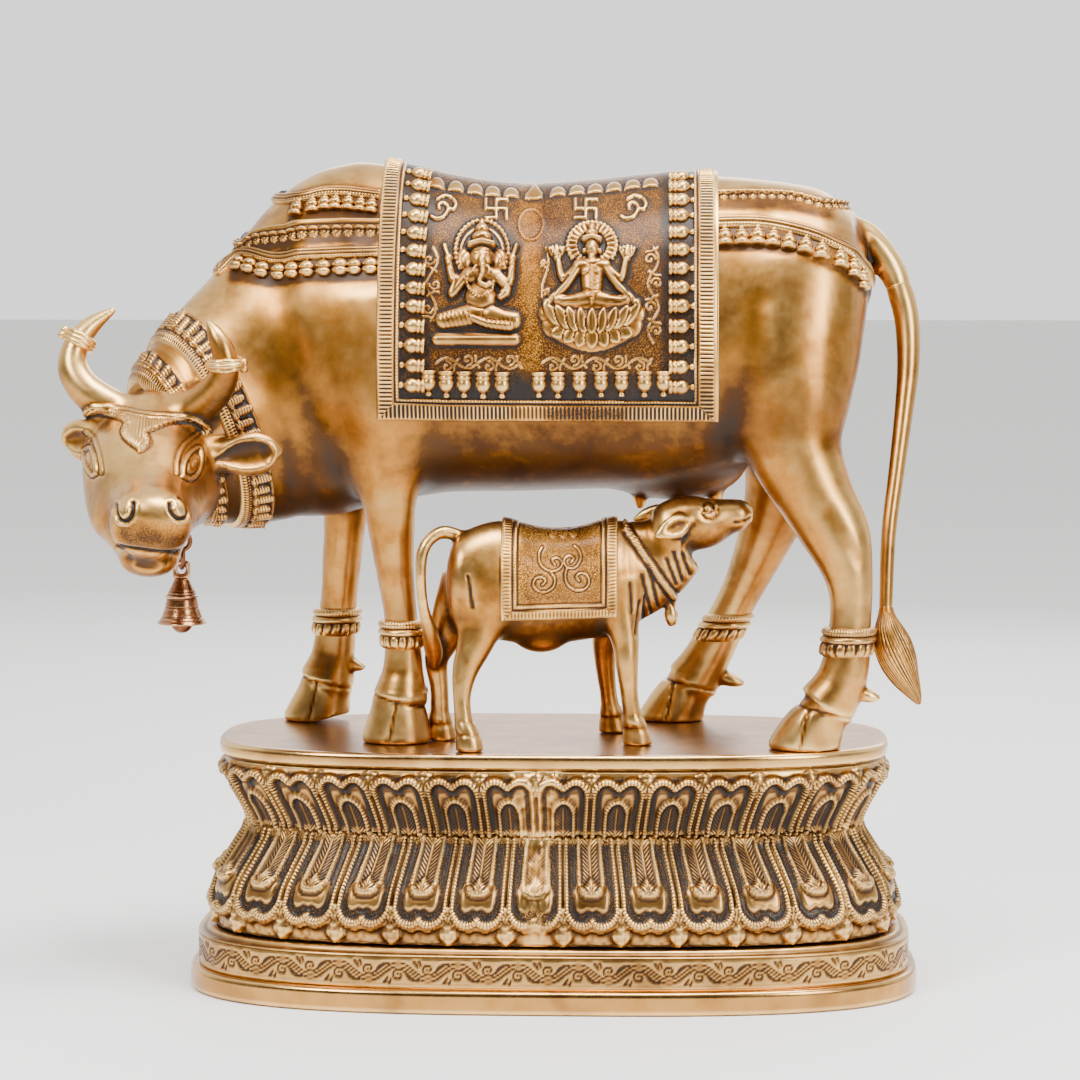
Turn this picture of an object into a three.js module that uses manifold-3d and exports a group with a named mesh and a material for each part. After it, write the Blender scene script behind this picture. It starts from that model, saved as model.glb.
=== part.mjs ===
// A cow with her calf on a lotus plinth, cast in brass, with a bell hung under her throat.
// Millimetres, +Z up. The origin is the centre of the plinth's underside, the cow's head is
// towards -X, and the calf stands on the -Y side.

import * as THREE from 'three';
import { mergeVertices } from 'three/addons/utils/BufferGeometryUtils.js';
import Module from 'manifold-3d';

const wasm = await Module();
wasm.setup();

// The cow's height at the withers, and the gap left between pieces that touch
const COW_HEIGHT = 437;
const TOUCH_GAP = 0.3;

// Plinth plan, at the foot of the slab
const SLAB_LENGTH = 557;
const SLAB_WIDTH = 277;
const PLAN_POWER = 3;

// Plinth heights, from the underside up
const SLAB_HEIGHT = 17.5;
const BAND_HEIGHT = 24.5;
const LEDGE_HEIGHT = 4;
const LOWER_PETAL_HEIGHT = 76;
const WAIST_HEIGHT = 5;
const UPPER_PETAL_HEIGHT = 46;
const NECK_HEIGHT = 5;
const PLATE_HEIGHT = 11;

// Plinth insets from the slab's outline
const BAND_INSET = 6;
const LEDGE_INSET = 13;
const LOWER_TIP_INSET = 15;
const WAIST_INSET = 42;
const UPPER_TIP_INSET = 24;
const NECK_INSET = 30;
const PLATE_INSET = 23;
const EDGE_ROUND = 2.5;

// Petals
const PETAL_COUNT = 32;
const PETAL_SAMPLES = 3;
const PETAL_GROOVE = 5.5;
const PLAN_SAMPLES = 32;

// Trappings
const CLOTH_THICKNESS = 3.5;
const BORDER_RISE = 1.5;
const TRIM_HEIGHT = 3;
const SMALL_BELL_LENGTH = 14;
const SMALL_BELL_RADIUS = 5;

// Bell under the throat: ring radii run to the middle of the wire
const BELL_MOUTH_RADIUS = 18.5;
const BELL_HEIGHT = 34;
const BELL_WALL = 2;
const LUG_RADIUS = 6.5;
const LUG_WIRE = 2;
const LINK_RADIUS = 9;
const LINK_WIRE = 1.3;
const CROWN_LOOP_RADIUS = 5;
const CROWN_LOOP_WIRE = 1.5;
const EYE_RADIUS = 3;
const EYE_WIRE = 0.9;
const CLAPPER_RING_RADIUS = 2.6;
const CLAPPER_RING_WIRE = 0.8;
const CLAPPER_ROD = 1.2;
const CLAPPER_RADIUS = 4.5;
const CLAPPER_DROP = 7;

// Cow and calf are drawn together with the cow this high, and brought to COW_HEIGHT as one.
const COW_DRAWN = 437;

const FINISHES = {
  cow: { color: '#b27c3a', roughness: 0.42, metalness: 0.9 },
  calf: { color: '#b28042', roughness: 0.42, metalness: 0.9 },
  plinth: { color: '#9e7140', roughness: 0.45, metalness: 0.9 },
  bell: { color: '#8c5a34', roughness: 0.4, metalness: 0.9 },
  link: { color: '#7d5a33', roughness: 0.5, metalness: 0.9 },
};

const plateTop = SLAB_HEIGHT + BAND_HEIGHT + LEDGE_HEIGHT + LOWER_PETAL_HEIGHT
  + WAIST_HEIGHT + UPPER_PETAL_HEIGHT + NECK_HEIGHT + PLATE_HEIGHT;

const vec = (x, y, z) => new THREE.Vector3(x, y, z);
const TAU = Math.PI * 2;

// Solids

function geometryOf(points, triangles) {
  const geometry = new THREE.BufferGeometry();
  const places = points.flatMap((point) => point.toArray());
  geometry.setAttribute('position', new THREE.Float32BufferAttribute(places, 3));
  geometry.setIndex(triangles.flat());
  return geometry;
}

function signedVolume(points, triangles) {
  let sum = 0;
  for (const [a, b, c] of triangles) {
    sum += points[a].dot(vec(0, 0, 0).crossVectors(points[b], points[c]));
  }
  return sum / 6;
}

// Skins a closed row of rings. A short end ring is closed by a fan from its first point, a long
// one by a fan from its middle.
const LONG_RING = 24;

function loft(rings) {
  const sides = rings[0].length;
  const points = rings.flat();
  const triangles = [];
  for (let r = 0; r + 1 < rings.length; r += 1) {
    for (let i = 0; i < sides; i += 1) {
      const j = (i + 1) % sides;
      const a = r * sides + i;
      const b = r * sides + j;
      triangles.push([a, b, b + sides], [a, b + sides, a + sides]);
    }
  }
  const last = (rings.length - 1) * sides;
  if (sides < LONG_RING) {
    for (let i = 1; i + 1 < sides; i += 1) {
      triangles.push([0, i + 1, i], [last, last + i, last + i + 1]);
    }
  } else {
    const first = points.push(middle(rings[0])) - 1;
    const end = points.push(middle(rings[rings.length - 1])) - 1;
    for (let i = 0; i < sides; i += 1) {
      const j = (i + 1) % sides;
      triangles.push([first, j, i], [end, last + i, last + j]);
    }
  }
  const outward = signedVolume(points, triangles) > 0;
  return geometryOf(points, outward ? triangles : triangles.map(([a, b, c]) => [a, c, b]));
}

function middle(ring) {
  return ring.reduce((sum, p) => sum.add(p), vec(0, 0, 0)).divideScalar(ring.length);
}

function solidOf(geometry) {
  let bare = geometry.clone();
  bare.deleteAttribute('normal');
  bare.deleteAttribute('uv');
  bare = mergeVertices(bare, 1e-4);
  return new wasm.Manifold(new wasm.Mesh({
    numProp: 3,
    vertProperties: new Float32Array(bare.attributes.position.array),
    triVerts: new Uint32Array(bare.index.array),
  }));
}

function join(geometries) {
  const solids = geometries.map(solidOf);
  return solids.slice(1).reduce((sum, next) => sum.add(next), solids[0]);
}

function bufferOf(solid) {
  const mesh = solid.getMesh();
  const geometry = new THREE.BufferGeometry();
  geometry.setAttribute('position', new THREE.Float32BufferAttribute(mesh.vertProperties, 3));
  geometry.setIndex(new THREE.Uint32BufferAttribute(mesh.triVerts, 1));
  return geometry;
}

// Curves through hand-set stations

function spline(values, t) {
  const last = values.length - 1;
  const i = Math.min(Math.floor(t), last - 1);
  const f = t - i;
  const p0 = values[Math.max(i - 1, 0)];
  const p1 = values[i];
  const p2 = values[i + 1];
  const p3 = values[Math.min(i + 2, last)];
  return p1.map((value, k) => 0.5 * (2 * value + (p2[k] - p0[k]) * f
    + (2 * p0[k] - 5 * value + 4 * p2[k] - p3[k]) * f * f
    + (3 * value - p0[k] - 3 * p2[k] + p3[k]) * f * f * f));
}

function refine(stations, steps) {
  const out = [];
  for (let i = 0; i <= (stations.length - 1) * steps; i += 1) {
    out.push(spline(stations, i / steps));
  }
  return out;
}

// A limb: stations of [x, y, z, fore-and-aft radius, sideways radius] along its centre line.
function limb(stations, sides, steps = 1, side = vec(0, 1, 0)) {
  const rows = refine(stations, steps);
  const rings = rows.map((row, i) => {
    const before = rows[Math.max(i - 1, 0)];
    const after = rows[Math.min(i + 1, rows.length - 1)];
    const along = vec(after[0] - before[0], after[1] - before[1], after[2] - before[2]).normalize();
    const across = side.clone().addScaledVector(along, -side.dot(along)).normalize();
    const fore = vec(0, 0, 0).crossVectors(along, across);
    return ellipse(vec(row[0], row[1], row[2]), fore, across, row[3], row[4], sides);
  });
  return loft(rings);
}

function ellipse(centre, u, v, a, b, sides) {
  return Array.from({ length: sides }, (_, i) => {
    const angle = (i / sides) * TAU;
    return centre.clone().addScaledVector(u, a * Math.cos(angle)).addScaledVector(v, b * Math.sin(angle));
  });
}

// A leg stands on a flat hoof: every ring below the ankle is level.
function leg(stations, hoof, sides) {
  const upper = limb(stations, sides);
  const levels = hoof.map(([x, y, z, a, b]) => (
    ellipse(vec(x, y, z), vec(1, 0, 0), vec(0, 1, 0), a, b, sides)));
  return [upper, loft(levels)];
}

function ball(x, y, z, rx, ry, rz, detail = 1) {
  return new THREE.IcosahedronGeometry(1, detail).scale(rx, ry, rz).translate(x, y, z);
}

// The body's skin, read by rays from outside

class Skin {
  constructor(solid) {
    this.mesh = new THREE.Mesh(bufferOf(solid), new THREE.MeshBasicMaterial({ side: THREE.DoubleSide }));
    this.ray = new THREE.Raycaster();
  }

  hit(origin, direction) {
    this.ray.set(origin, direction.clone().normalize());
    const [first] = this.ray.intersectObject(this.mesh);
    return first ? { point: first.point, normal: first.face.normal.clone() } : null;
  }

  // The point seen from the side: side is -1 on the calf's side and 1 on the other.
  beside(x, z, side) {
    return this.hit(vec(x, side * 400, z), vec(0, -side, 0));
  }

  // The point at an angle from the top of the back, measured round the barrel's axis.
  round(x, angle, axisHeight) {
    const out = vec(0, -Math.sin(angle), Math.cos(angle));
    const found = this.hit(vec(x, 0, axisHeight).addScaledVector(out, 400), out.clone().negate());
    return { point: found.point, normal: out };
  }
}

// A raised strip along points of the skin, sunk a little into it.
function strip(stops, width, height) {
  const rings = stops.map(({ point, normal }, i) => {
    const before = stops[Math.max(i - 1, 0)].point;
    const after = stops[Math.min(i + 1, stops.length - 1)].point;
    const along = after.clone().sub(before).normalize();
    const across = vec(0, 0, 0).crossVectors(along, normal).normalize();
    const up = vec(0, 0, 0).crossVectors(across, along).normalize();
    const corner = (s, h) => (
      point.clone().addScaledVector(across, s * width * 0.5).addScaledVector(up, h));
    return [corner(-1, -2 * height), corner(1, -2 * height), corner(0.7, height), corner(-0.7, height)];
  });
  return loft(rings);
}

// A small trapping bell lying on the skin, its mouth along the way it hangs.
function trappingBell({ point, normal }, hang, lift, size = 1) {
  const length = SMALL_BELL_LENGTH * size;
  const radius = SMALL_BELL_RADIUS * size;
  const down = hang.clone().addScaledVector(normal, -hang.dot(normal)).normalize();
  const across = vec(0, 0, 0).crossVectors(down, normal).normalize();
  const diagonal = across.clone().add(normal).normalize();
  const other = across.clone().sub(normal).normalize();
  const top = point.clone().addScaledVector(normal, lift);
  const ring = (reach, r) => (
    ellipse(top.clone().addScaledVector(down, reach), diagonal, other, r, r, 4));
  return loft([ring(0, radius * 0.75), ring(length, radius * 1.45)]);
}

// Plinth

function planPoint(inset, angle, z) {
  const c = Math.cos(angle);
  const s = Math.sin(angle);
  const power = 2 / PLAN_POWER;
  const x = (SLAB_LENGTH / 2 - inset) * Math.sign(c) * Math.abs(c) ** power;
  const y = (SLAB_WIDTH / 2 - inset) * Math.sign(s) * Math.abs(s) ** power;
  return vec(x, y, z);
}

// Angles that cut the waist's outline into equal lengths.
function evenAngles(count) {
  const fine = 4096;
  const lengths = [0];
  for (let i = 1; i <= fine; i += 1) {
    const a = planPoint(WAIST_INSET, (i / fine) * TAU, 0);
    const b = planPoint(WAIST_INSET, ((i - 1) / fine) * TAU, 0);
    lengths.push(lengths[i - 1] + a.distanceTo(b));
  }
  return Array.from({ length: count }, (_, k) => {
    const target = ((k + 0.5) / count) * lengths[fine];
    return (lengths.findIndex((length) => length >= target) / fine) * TAU;
  });
}

function tier(levels, angles) {
  return loft(levels.map(([z, inset]) => angles.map((angle) => planPoint(inset, angle, z))));
}

function plinthGeometry() {
  const plain = evenAngles(PLAN_SAMPLES);
  const bandTop = SLAB_HEIGHT + BAND_HEIGHT;
  const petalFoot = bandTop + LEDGE_HEIGHT;
  const waist = petalFoot + LOWER_PETAL_HEIGHT;
  const upperFoot = waist + WAIST_HEIGHT;
  const upperTop = upperFoot + UPPER_PETAL_HEIGHT;
  const plateFoot = upperTop + NECK_HEIGHT;
  const foot = tier([[0, EDGE_ROUND * 0.4], [EDGE_ROUND, 0], [SLAB_HEIGHT - EDGE_ROUND, 0],
    [SLAB_HEIGHT, EDGE_ROUND], [SLAB_HEIGHT, BAND_INSET], [bandTop, BAND_INSET],
    [petalFoot, LEDGE_INSET]], plain);
  const plate = tier([[upperTop - 2 * EDGE_ROUND, NECK_INSET], [plateFoot, NECK_INSET],
    [plateFoot, PLATE_INSET], [plateTop - EDGE_ROUND * 0.6, PLATE_INSET],
    [plateTop, PLATE_INSET + EDGE_ROUND * 0.6]], plain);
  const petals = petalWall([
    [petalFoot - TOUCH_GAP, LOWER_TIP_INSET + 3, 1.2],
    [petalFoot + 0.16 * LOWER_PETAL_HEIGHT, LOWER_TIP_INSET, 1.2],
    [petalFoot + 0.5 * LOWER_PETAL_HEIGHT, LOWER_TIP_INSET + 4.5, 0.8],
    [petalFoot + 0.76 * LOWER_PETAL_HEIGHT, LOWER_TIP_INSET + 16, 0.5],
    [waist + 0.5 * WAIST_HEIGHT, WAIST_INSET, 0.1],
    [upperFoot + 0.4 * UPPER_PETAL_HEIGHT, UPPER_TIP_INSET + 9, 0.6],
    [upperTop - EDGE_ROUND, UPPER_TIP_INSET, 1.2]]);
  return bufferOf(join([foot, petals, plate]));
}

// A wall of petals: a groove between neighbours, as deep as the level's share of PETAL_GROOVE.
function petalWall(levels) {
  const angles = evenAngles(PETAL_COUNT * PETAL_SAMPLES);
  return loft(levels.map(([z, inset, groove]) => angles.map((angle, i) => {
    const cut = i % PETAL_SAMPLES === 0 ? groove * PETAL_GROOVE : 0;
    return planPoint(inset + cut, angle, z);
  })));
}

// Cow, drawn from the plate's top up

// Barrel stations: [x, top, bottom, half width, narrowing towards the back].
const BARREL = [
  [-206, 376, 215, 30, 0.1], [-196, 412, 178, 46, 0.12], [-180, 431, 170, 58, 0.14],
  [-155, 437, 172, 69, 0.16], [-117, 434, 180, 77, 0.18], [-79, 425, 186, 81, 0.18],
  [-26, 418, 187, 84, 0.16], [35, 421, 189, 87, 0.15], [81, 426, 190, 86, 0.15],
  [127, 426, 200, 84, 0.15], [171, 422, 222, 82, 0.15], [202, 416, 252, 73, 0.12],
  [224, 401, 288, 57, 0.08], [236, 374, 316, 32, 0.04], [239, 352, 336, 12, 0],
];

function barrel(sides) {
  return loft(BARREL.map(([x, top, bottom, half, narrow]) => Array.from({ length: sides }, (_, i) => {
    const angle = (i / sides) * TAU;
    const rise = Math.cos(angle);
    const y = -half * Math.sin(angle) * (1 - narrow * rise);
    return vec(x, y, (top + bottom) / 2 + ((top - bottom) / 2) * rise);
  })));
}

// Neck stations: [crest x, y, z, throat x, y, z, half width].
const NECK = [
  [-160, 0, 424, -160, 0, 176, 58], [-197, 0, 421, -190, 0, 169, 61], [-216, -2, 405, -206, -9, 165, 58],
  [-233, -8, 381, -224, -21, 163, 55], [-256, -20, 352, -241, -36, 164, 51],
  [-279, -36, 326, -255, -50, 166, 47], [-300, -53, 297, -267, -62, 172, 42],
  [-310, -66, 272, -276, -74, 184, 34],
];

function neck(sides, grow = 0) {
  const crest = NECK.map(([x, y, z]) => vec(x, y, z));
  const throat = NECK.map((row) => vec(row[3], row[4], row[5]));
  const centres = crest.map((point, i) => point.clone().lerp(throat[i], 0.5));
  return loft(NECK.map((row, i) => {
    const along = centres[Math.min(i + 1, centres.length - 1)].clone().sub(centres[Math.max(i - 1, 0)]);
    const up = crest[i].clone().sub(centres[i]);
    const across = vec(0, 0, 0).crossVectors(along, up).normalize();
    return ellipse(centres[i], up.clone().normalize(), across, up.length() + grow, row[6] + grow, sides);
  }));
}

// Head and jaw, from the poll to the muzzle, wide across X.
const HEAD = [
  [-297, -46, 229, 25, 30], [-298, -58, 226, 31, 40], [-299, -80, 220, 37, 44.5],
  [-298, -102, 212, 36, 45],
  [-293, -125, 200, 31, 36], [-287, -148, 189, 25, 28], [-283, -167, 181, 25, 27.5],
  [-281, -184, 175, 25, 29.5],
  [-280, -193, 171, 19.5, 25], [-280, -198, 168, 9, 13],
];
const JAW = [
  [-297, -62, 214, 26, 38], [-298, -86, 199, 32, 43], [-297, -108, 184, 29, 43],
  [-292, -130, 167, 23, 35],
  [-288, -149, 154, 17, 26], [-286, -163, 146, 12, 20], [-286, -172, 144, 5, 10],
];
const LEFT_HORN = [
  [-298, -76, 247.5, 13, 13], [-318, -79, 250, 14, 13.5], [-334, -81, 258, 14, 13.5],
  [-348, -80, 270, 12.5, 12.5],
  [-355, -77, 283, 11.5, 11.5], [-354.5, -74, 296, 9.8, 9.8], [-348, -71, 308, 8.6, 8.6],
  [-339, -68, 317, 6.4, 6.4],
  [-325, -66, 326.5, 2, 2],
];
const RIGHT_HORN = [
  [-298, -76, 247.5, 13, 13], [-284, -80, 248.5, 13.5, 13], [-268, -86, 252.5, 14, 13.5],
  [-254, -92, 260, 13.5, 13],
  [-243, -98, 271, 12, 12], [-238, -102, 283, 10.2, 10.2], [-239, -103.5, 296, 8.8, 8.8],
  [-244.5, -103, 308, 6.6, 6.6],
  [-251, -101, 318.5, 2, 2],
];
const NEAR_EAR = [
  [-264, -85, 216, 10, 8], [-248, -87, 217.5, 12, 8], [-228, -86.5, 219, 15.5, 7],
  [-210, -82, 221, 12.5, 5.5],
  [-199, -79, 222, 2.5, 2],
];
const FAR_EAR = [
  [-330, -86, 229, 8, 7], [-341, -85, 230, 12.5, 7], [-350, -81, 230, 15, 6.5],
  [-358, -76, 229, 12, 5],
  [-363, -72, 227, 4, 2.5],
];
// Eyes and nostrils: [x, y, z, radii].
const EYES = [[-332, -112, 219, 8, 7, 7], [-262, -114, 215, 8, 7, 7]];
const NOSTRILS = [[-300, -190, 184, 7, 6, 5], [-262, -190, 184, 7, 6, 5]];

// Legs: [x, y, z, fore-and-aft radius, sideways radius], with level rings at the hoof.
const COW_LEGS = {
  nearFront: {
    shank: [[-125, -38, 320, 36, 26], [-124, -44, 275, 36, 27], [-122, -48, 244, 30, 26],
      [-123, -50, 206, 23, 20],
      [-121, -50, 169, 18.5, 17], [-118, -49, 131, 14.5, 14], [-114, -47, 97, 12, 12],
      [-112, -47, 62, 14.5, 14],
      [-114, -48, 36, 18, 16]],
    hoof: [[-114, -48, 42, 18, 16], [-116, -48, 26, 22, 19], [-117, -48, 6, 26, 21],
      [-117, -48, 0, 25, 20]],
    anklet: [-113, -47, 82, 16.5],
    claw: [-95, -50, 42],
  },
  farFront: {
    shank: [[-150, 34, 311, 36, 26], [-155, 42, 262, 33, 26], [-160, 50, 222, 26, 22],
      [-166, 60, 160, 17, 16],
      [-169, 64, 128, 15.5, 15], [-172, 67, 96, 14.5, 14], [-177, 69, 52, 17, 15],
      [-182, 70, 34, 19, 17]],
    hoof: [[-180, 70, 40, 18, 16], [-186, 70, 24, 22, 19], [-190, 70, 6, 26, 21], [-190, 70, 0, 25, 20]],
    anklet: [-174, 68, 79, 18],
    claw: [-147, 69, 45],
  },
  nearHind: {
    shank: [[188, -34, 340, 42, 34], [187, -44, 300, 44, 36], [181, -52, 262, 41, 36],
      [181, -59, 226, 36, 31],
      [196, -65, 190, 30, 24], [214, -71, 158, 26, 19], [223, -74, 124, 18, 15.5],
      [223, -75, 96, 16, 14.5],
      [218, -76, 56, 19, 17], [206, -76, 34, 21, 18]],
    hoof: [[208, -75, 40, 19, 17], [197, -74, 24, 24, 19], [190, -73, 6, 27, 20.5],
      [190, -73, 0, 26, 19.5]],
    anklet: [219, -75, 81, 20.5],
    claw: [245, -76, 42],
  },
  farHind: {
    shank: [[182, 34, 330, 42, 34], [184, 44, 280, 46, 35], [182, 52, 230, 38, 31],
      [176, 60, 184, 29, 23],
      [164, 66, 147, 22, 19], [150, 71, 113, 17, 16], [138, 74, 88, 15.5, 15], [121, 77, 54, 18, 16.5],
      [108, 79, 32, 20, 17]],
    hoof: [[111, 79, 40, 18, 16], [99, 80, 24, 23, 19], [91, 80, 6, 26, 20.5], [91, 80, 0, 25, 19.5]],
    anklet: [134, 75, 75, 19],
    claw: [145, 78, 31],
  },
};

const TAIL = [
  [206, 0, 382, 16, 14], [228, 0, 385, 12, 12], [244, -1, 375, 11, 11], [260, -5, 351, 10, 10],
  [269, -11, 320, 9.5, 9.5], [269, -20, 285, 8.5, 8.5], [264, -31, 248, 7, 7], [258, -43, 203, 6, 6],
  [252, -54, 158, 5.5, 5.5], [250, -62, 108, 5, 5],
];
const TAIL_TUFT = [
  [250, -62, 110, 5, 5], [251, -65, 98, 10, 8], [254, -67, 80, 12, 9], [259, -68, 62, 10, 8],
  [267, -68, 44, 6, 5], [274, -68, 31, 1.5, 1.5],
];
const UDDER = [95, 8, 204, 50, 26, 24];
const TEATS = [[66, 2], [96, -6], [124, 2]];
const TEAT_FOOT = 190;
const TEAT_LENGTH = 17;
const TEAT_RADIUS = 5.5;

const BARREL_SIDES = 14;
const NECK_SIDES = 10;
const HEAD_SIDES = 10;
const LEG_SIDES = 7;
const BARREL_AXIS = 300;

function cowBody() {
  const legs = Object.values(COW_LEGS).flatMap(({ shank, hoof }) => leg(shank, hoof, LEG_SIDES));
  const across = vec(1, 0, 0);
  const teats = TEATS.map(([x, y]) => limb([[0, 1], [0.8, 0.8], [1, 0.4]].map(([reach, r]) => (
    [x, y, TEAT_FOOT - TEAT_LENGTH * reach, TEAT_RADIUS * r, TEAT_RADIUS * r])), 6));
  return join([
    barrel(BARREL_SIDES), neck(NECK_SIDES), limb(HEAD, HEAD_SIDES, 1, across), limb(JAW, 8, 1, across),
    ...legs, limb(TAIL, 6), limb(TAIL_TUFT, 6), ball(...UDDER), ...teats,
    limb(LEFT_HORN, 6), limb(RIGHT_HORN, 6), limb(NEAR_EAR, 6), limb(FAR_EAR, 6),
    ...[...EYES, ...NOSTRILS].map((place) => ball(...place, 0)),
  ]);
}

// Saddle cloth over the back, with ribbed borders, rows of bells and two seated figures

const CLOTH_FRONT = -135;
const CLOTH_BACK = 124;
const CLOTH_HEM = 246;
const CLOTH_BORDER = 13;
const CLOTH_GIRTH_RADIUS = 100;
const BELL_CLEARANCE = 3;
const HEM_BELLS = 15;
const EDGE_BELLS = 13;
const FIGURES = [[-53, 347], [31, 345]];

// The angle from the top of the back at which the skin comes down to the hem.
function clothHem(skin, x) {
  let hem = 1.2;
  while (skin.round(x, hem, BARREL_AXIS).point.z > CLOTH_HEM && hem < 2.4) {
    hem += 0.01;
  }
  return hem;
}

// Stations across a bordered cloth, as [place, border height]: the borders stand above the field.
function bordered(from, to, border, field) {
  const bevel = Math.sign(to - from) * 1.5;
  const inner = from + Math.sign(to - from) * border;
  const outer = to - Math.sign(to - from) * border;
  return [
    [from, 0], [from + bevel, BORDER_RISE], [inner - bevel, BORDER_RISE], [inner, 0],
    ...along(field, (t) => [inner + (outer - inner) * ((t * (field - 1) + 1) / (field + 1)), 0]),
    [outer, 0], [outer + bevel, BORDER_RISE], [to - bevel, BORDER_RISE], [to, 0],
  ];
}

// A cloth is sunk this far under the skin it lies on.
const CLOTH_SINK = 6;

function saddleCloth(skin) {
  const rings = bordered(CLOTH_FRONT, CLOTH_BACK, CLOTH_BORDER, 4).map(([x, endRaise]) => {
    const hem = clothHem(skin, x);
    const girth = 2 * hem * CLOTH_GIRTH_RADIUS;
    const rows = bordered(0, girth, CLOTH_BORDER, 7).map(([reach, hemRaise]) => {
      const { point, normal } = skin.round(x, (2 * reach / girth - 1) * hem, BARREL_AXIS);
      return { point, normal, lift: CLOTH_THICKNESS + Math.max(endRaise, hemRaise) };
    });
    const outer = rows.map(({ point, normal, lift }) => point.clone().addScaledVector(normal, lift));
    const inner = rows.map(({ point, normal }) => (
      point.clone().addScaledVector(normal, -CLOTH_SINK)));
    return [...outer, ...inner.reverse()];
  });
  return thinLoft(rings);
}

// As loft, for a ring that is a folded strip: each end is closed as a band between its two edges.
function thinLoft(rings) {
  const sides = rings[0].length;
  const half = sides / 2;
  const points = rings.flat();
  const triangles = [];
  for (let r = 0; r + 1 < rings.length; r += 1) {
    for (let i = 0; i < sides; i += 1) {
      const j = (i + 1) % sides;
      const a = r * sides + i;
      const b = r * sides + j;
      triangles.push([a, b, b + sides], [a, b + sides, a + sides]);
    }
  }
  const last = (rings.length - 1) * sides;
  for (let i = 0; i + 1 < half; i += 1) {
    const far = sides - 1 - i;
    triangles.push([i, far, far - 1], [i, far - 1, i + 1]);
    triangles.push([last + i, last + far - 1, last + far], [last + i, last + i + 1, last + far - 1]);
  }
  const outward = signedVolume(points, triangles) > 0;
  return geometryOf(points, outward ? triangles : triangles.map(([a, b, c]) => [a, c, b]));
}

function along(count, make) {
  return Array.from({ length: count }, (_, i) => make(count === 1 ? 0 : i / (count - 1)));
}

function clothBells(skin) {
  const pieces = [];
  const bellLift = CLOTH_THICKNESS * 0.6;
  const inset = CLOTH_BORDER + SMALL_BELL_RADIUS + BELL_CLEARANCE;
  const first = CLOTH_FRONT + inset + SMALL_BELL_LENGTH;
  const last = CLOTH_BACK - inset - SMALL_BELL_LENGTH;
  along(HEM_BELLS, (t) => {
    const x = first + (last - first) * t;
    const top = skin.beside(x, CLOTH_HEM + CLOTH_BORDER + SMALL_BELL_LENGTH + BELL_CLEARANCE * 2, -1);
    pieces.push(trappingBell(top, vec(0, 0, -1), bellLift));
  });
  const edge = CLOTH_BORDER + BELL_CLEARANCE;
  for (const [x, way] of [[CLOTH_FRONT + edge, 1], [CLOTH_BACK - edge, -1]]) {
    const hem = clothHem(skin, x);
    for (let i = 0; i < EDGE_BELLS; i += 1) {
      const angle = hem * (0.06 + (0.8 * i) / (EDGE_BELLS - 1));
      pieces.push(trappingBell(skin.round(x, angle, BARREL_AXIS), vec(way, 0, 0), bellLift));
    }
  }
  return pieces;
}

// A seated figure in front of a round halo, in low relief on the calf's side.
function seatedFigure(skin, [x, z]) {
  const seat = skin.beside(x, z, -1);
  const lift = (dx, dz, out) => (
    skin.beside(x + dx, z + dz, -1).point.addScaledVector(seat.normal, out));
  const blob = (dx, dz, out, rx, ry, rz) => ball(...lift(dx, dz, out).toArray(), rx, ry, rz, 0);
  const arm = (side) => (
    new THREE.OctahedronGeometry(1).scale(8, 7, 18).translate(...lift(20 * side, -2, 4).toArray()));
  const back = ellipse(lift(0, 16, -4), vec(1, 0, 0), vec(0, 0, 1), 25, 26, 9);
  const face = ellipse(lift(0, 16, CLOTH_THICKNESS + 1.5), vec(1, 0, 0), vec(0, 0, 1), 23, 24, 9);
  const seatSlab = blob(0, -42, 3, 33, 7, 7);
  const legs = blob(0, -26, 4, 27, 10, 12);
  const trunk = blob(0, -6, 5, 14, 10, 19);
  const head = blob(0, 27, 6, 10, 9, 18);
  return [loft([back, face]), seatSlab, legs, trunk, head, arm(-1), arm(1)];
}

// Garlands over the shoulder and the rump: [x, z] points of the near side, and the sides carved.
const NEAR_SIDE = [-1];
const BOTH_SIDES = [-1, 1];
const GARLANDS = [
  {
    near: [[-131, 413], [-168, 413], [-186, 410]],
    width: 9, stops: 4, bells: 0, sides: NEAR_SIDE,
  },
  {
    near: [[-131, 386], [-168, 385], [-195, 382], [-222, 378]],
    width: 7, stops: 5, bells: 0, sides: NEAR_SIDE,
  },
  {
    near: [[-131, 368], [-158, 366], [-182, 364], [-208, 361], [-232, 366]],
    width: 9, stops: 6, bells: 9, sides: BOTH_SIDES,
  },
  {
    near: [[119, 408], [150, 408], [180, 405], [196, 402]],
    width: 8, stops: 4, bells: 0, sides: NEAR_SIDE,
  },
  {
    near: [[119, 388], [155, 388], [186, 382], [212, 371], [230, 358]],
    width: 12, stops: 6, bells: 10, sides: BOTH_SIDES,
  },
];
const GARLAND_BELL_SHARE = 0.9;

function garland(skin, { near, width, stops, bells, sides }) {
  const at = (t) => spline(near, t * (near.length - 1));
  const pieces = sides.map((side) => {
    const found = along(stops, (t) => skin.beside(...at(t), side)).filter(Boolean);
    return strip(side < 0 ? found : found.reverse(), width, TRIM_HEIGHT);
  });
  for (let i = 0; i < bells; i += 1) {
    const [x, z] = at((i + 0.5) / bells);
    const top = skin.beside(x, z - width * 0.5, -1);
    pieces.push(trappingBell(top, vec(0, 0, -1), TRIM_HEIGHT / 3, GARLAND_BELL_SHARE));
  }
  return pieces;
}

// Collars round the neck: each is a slice of a thicker neck between two parallel planes.
const COLLARS = [
  { at: vec(-265, -40, 238), facing: vec(0.737, 0.581, 0.344), wide: 26, stands: 6 },
  { at: vec(-286, -58, 221), facing: vec(0.778, 0.522, 0.35), wide: 9, stands: 5 },
];

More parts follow.
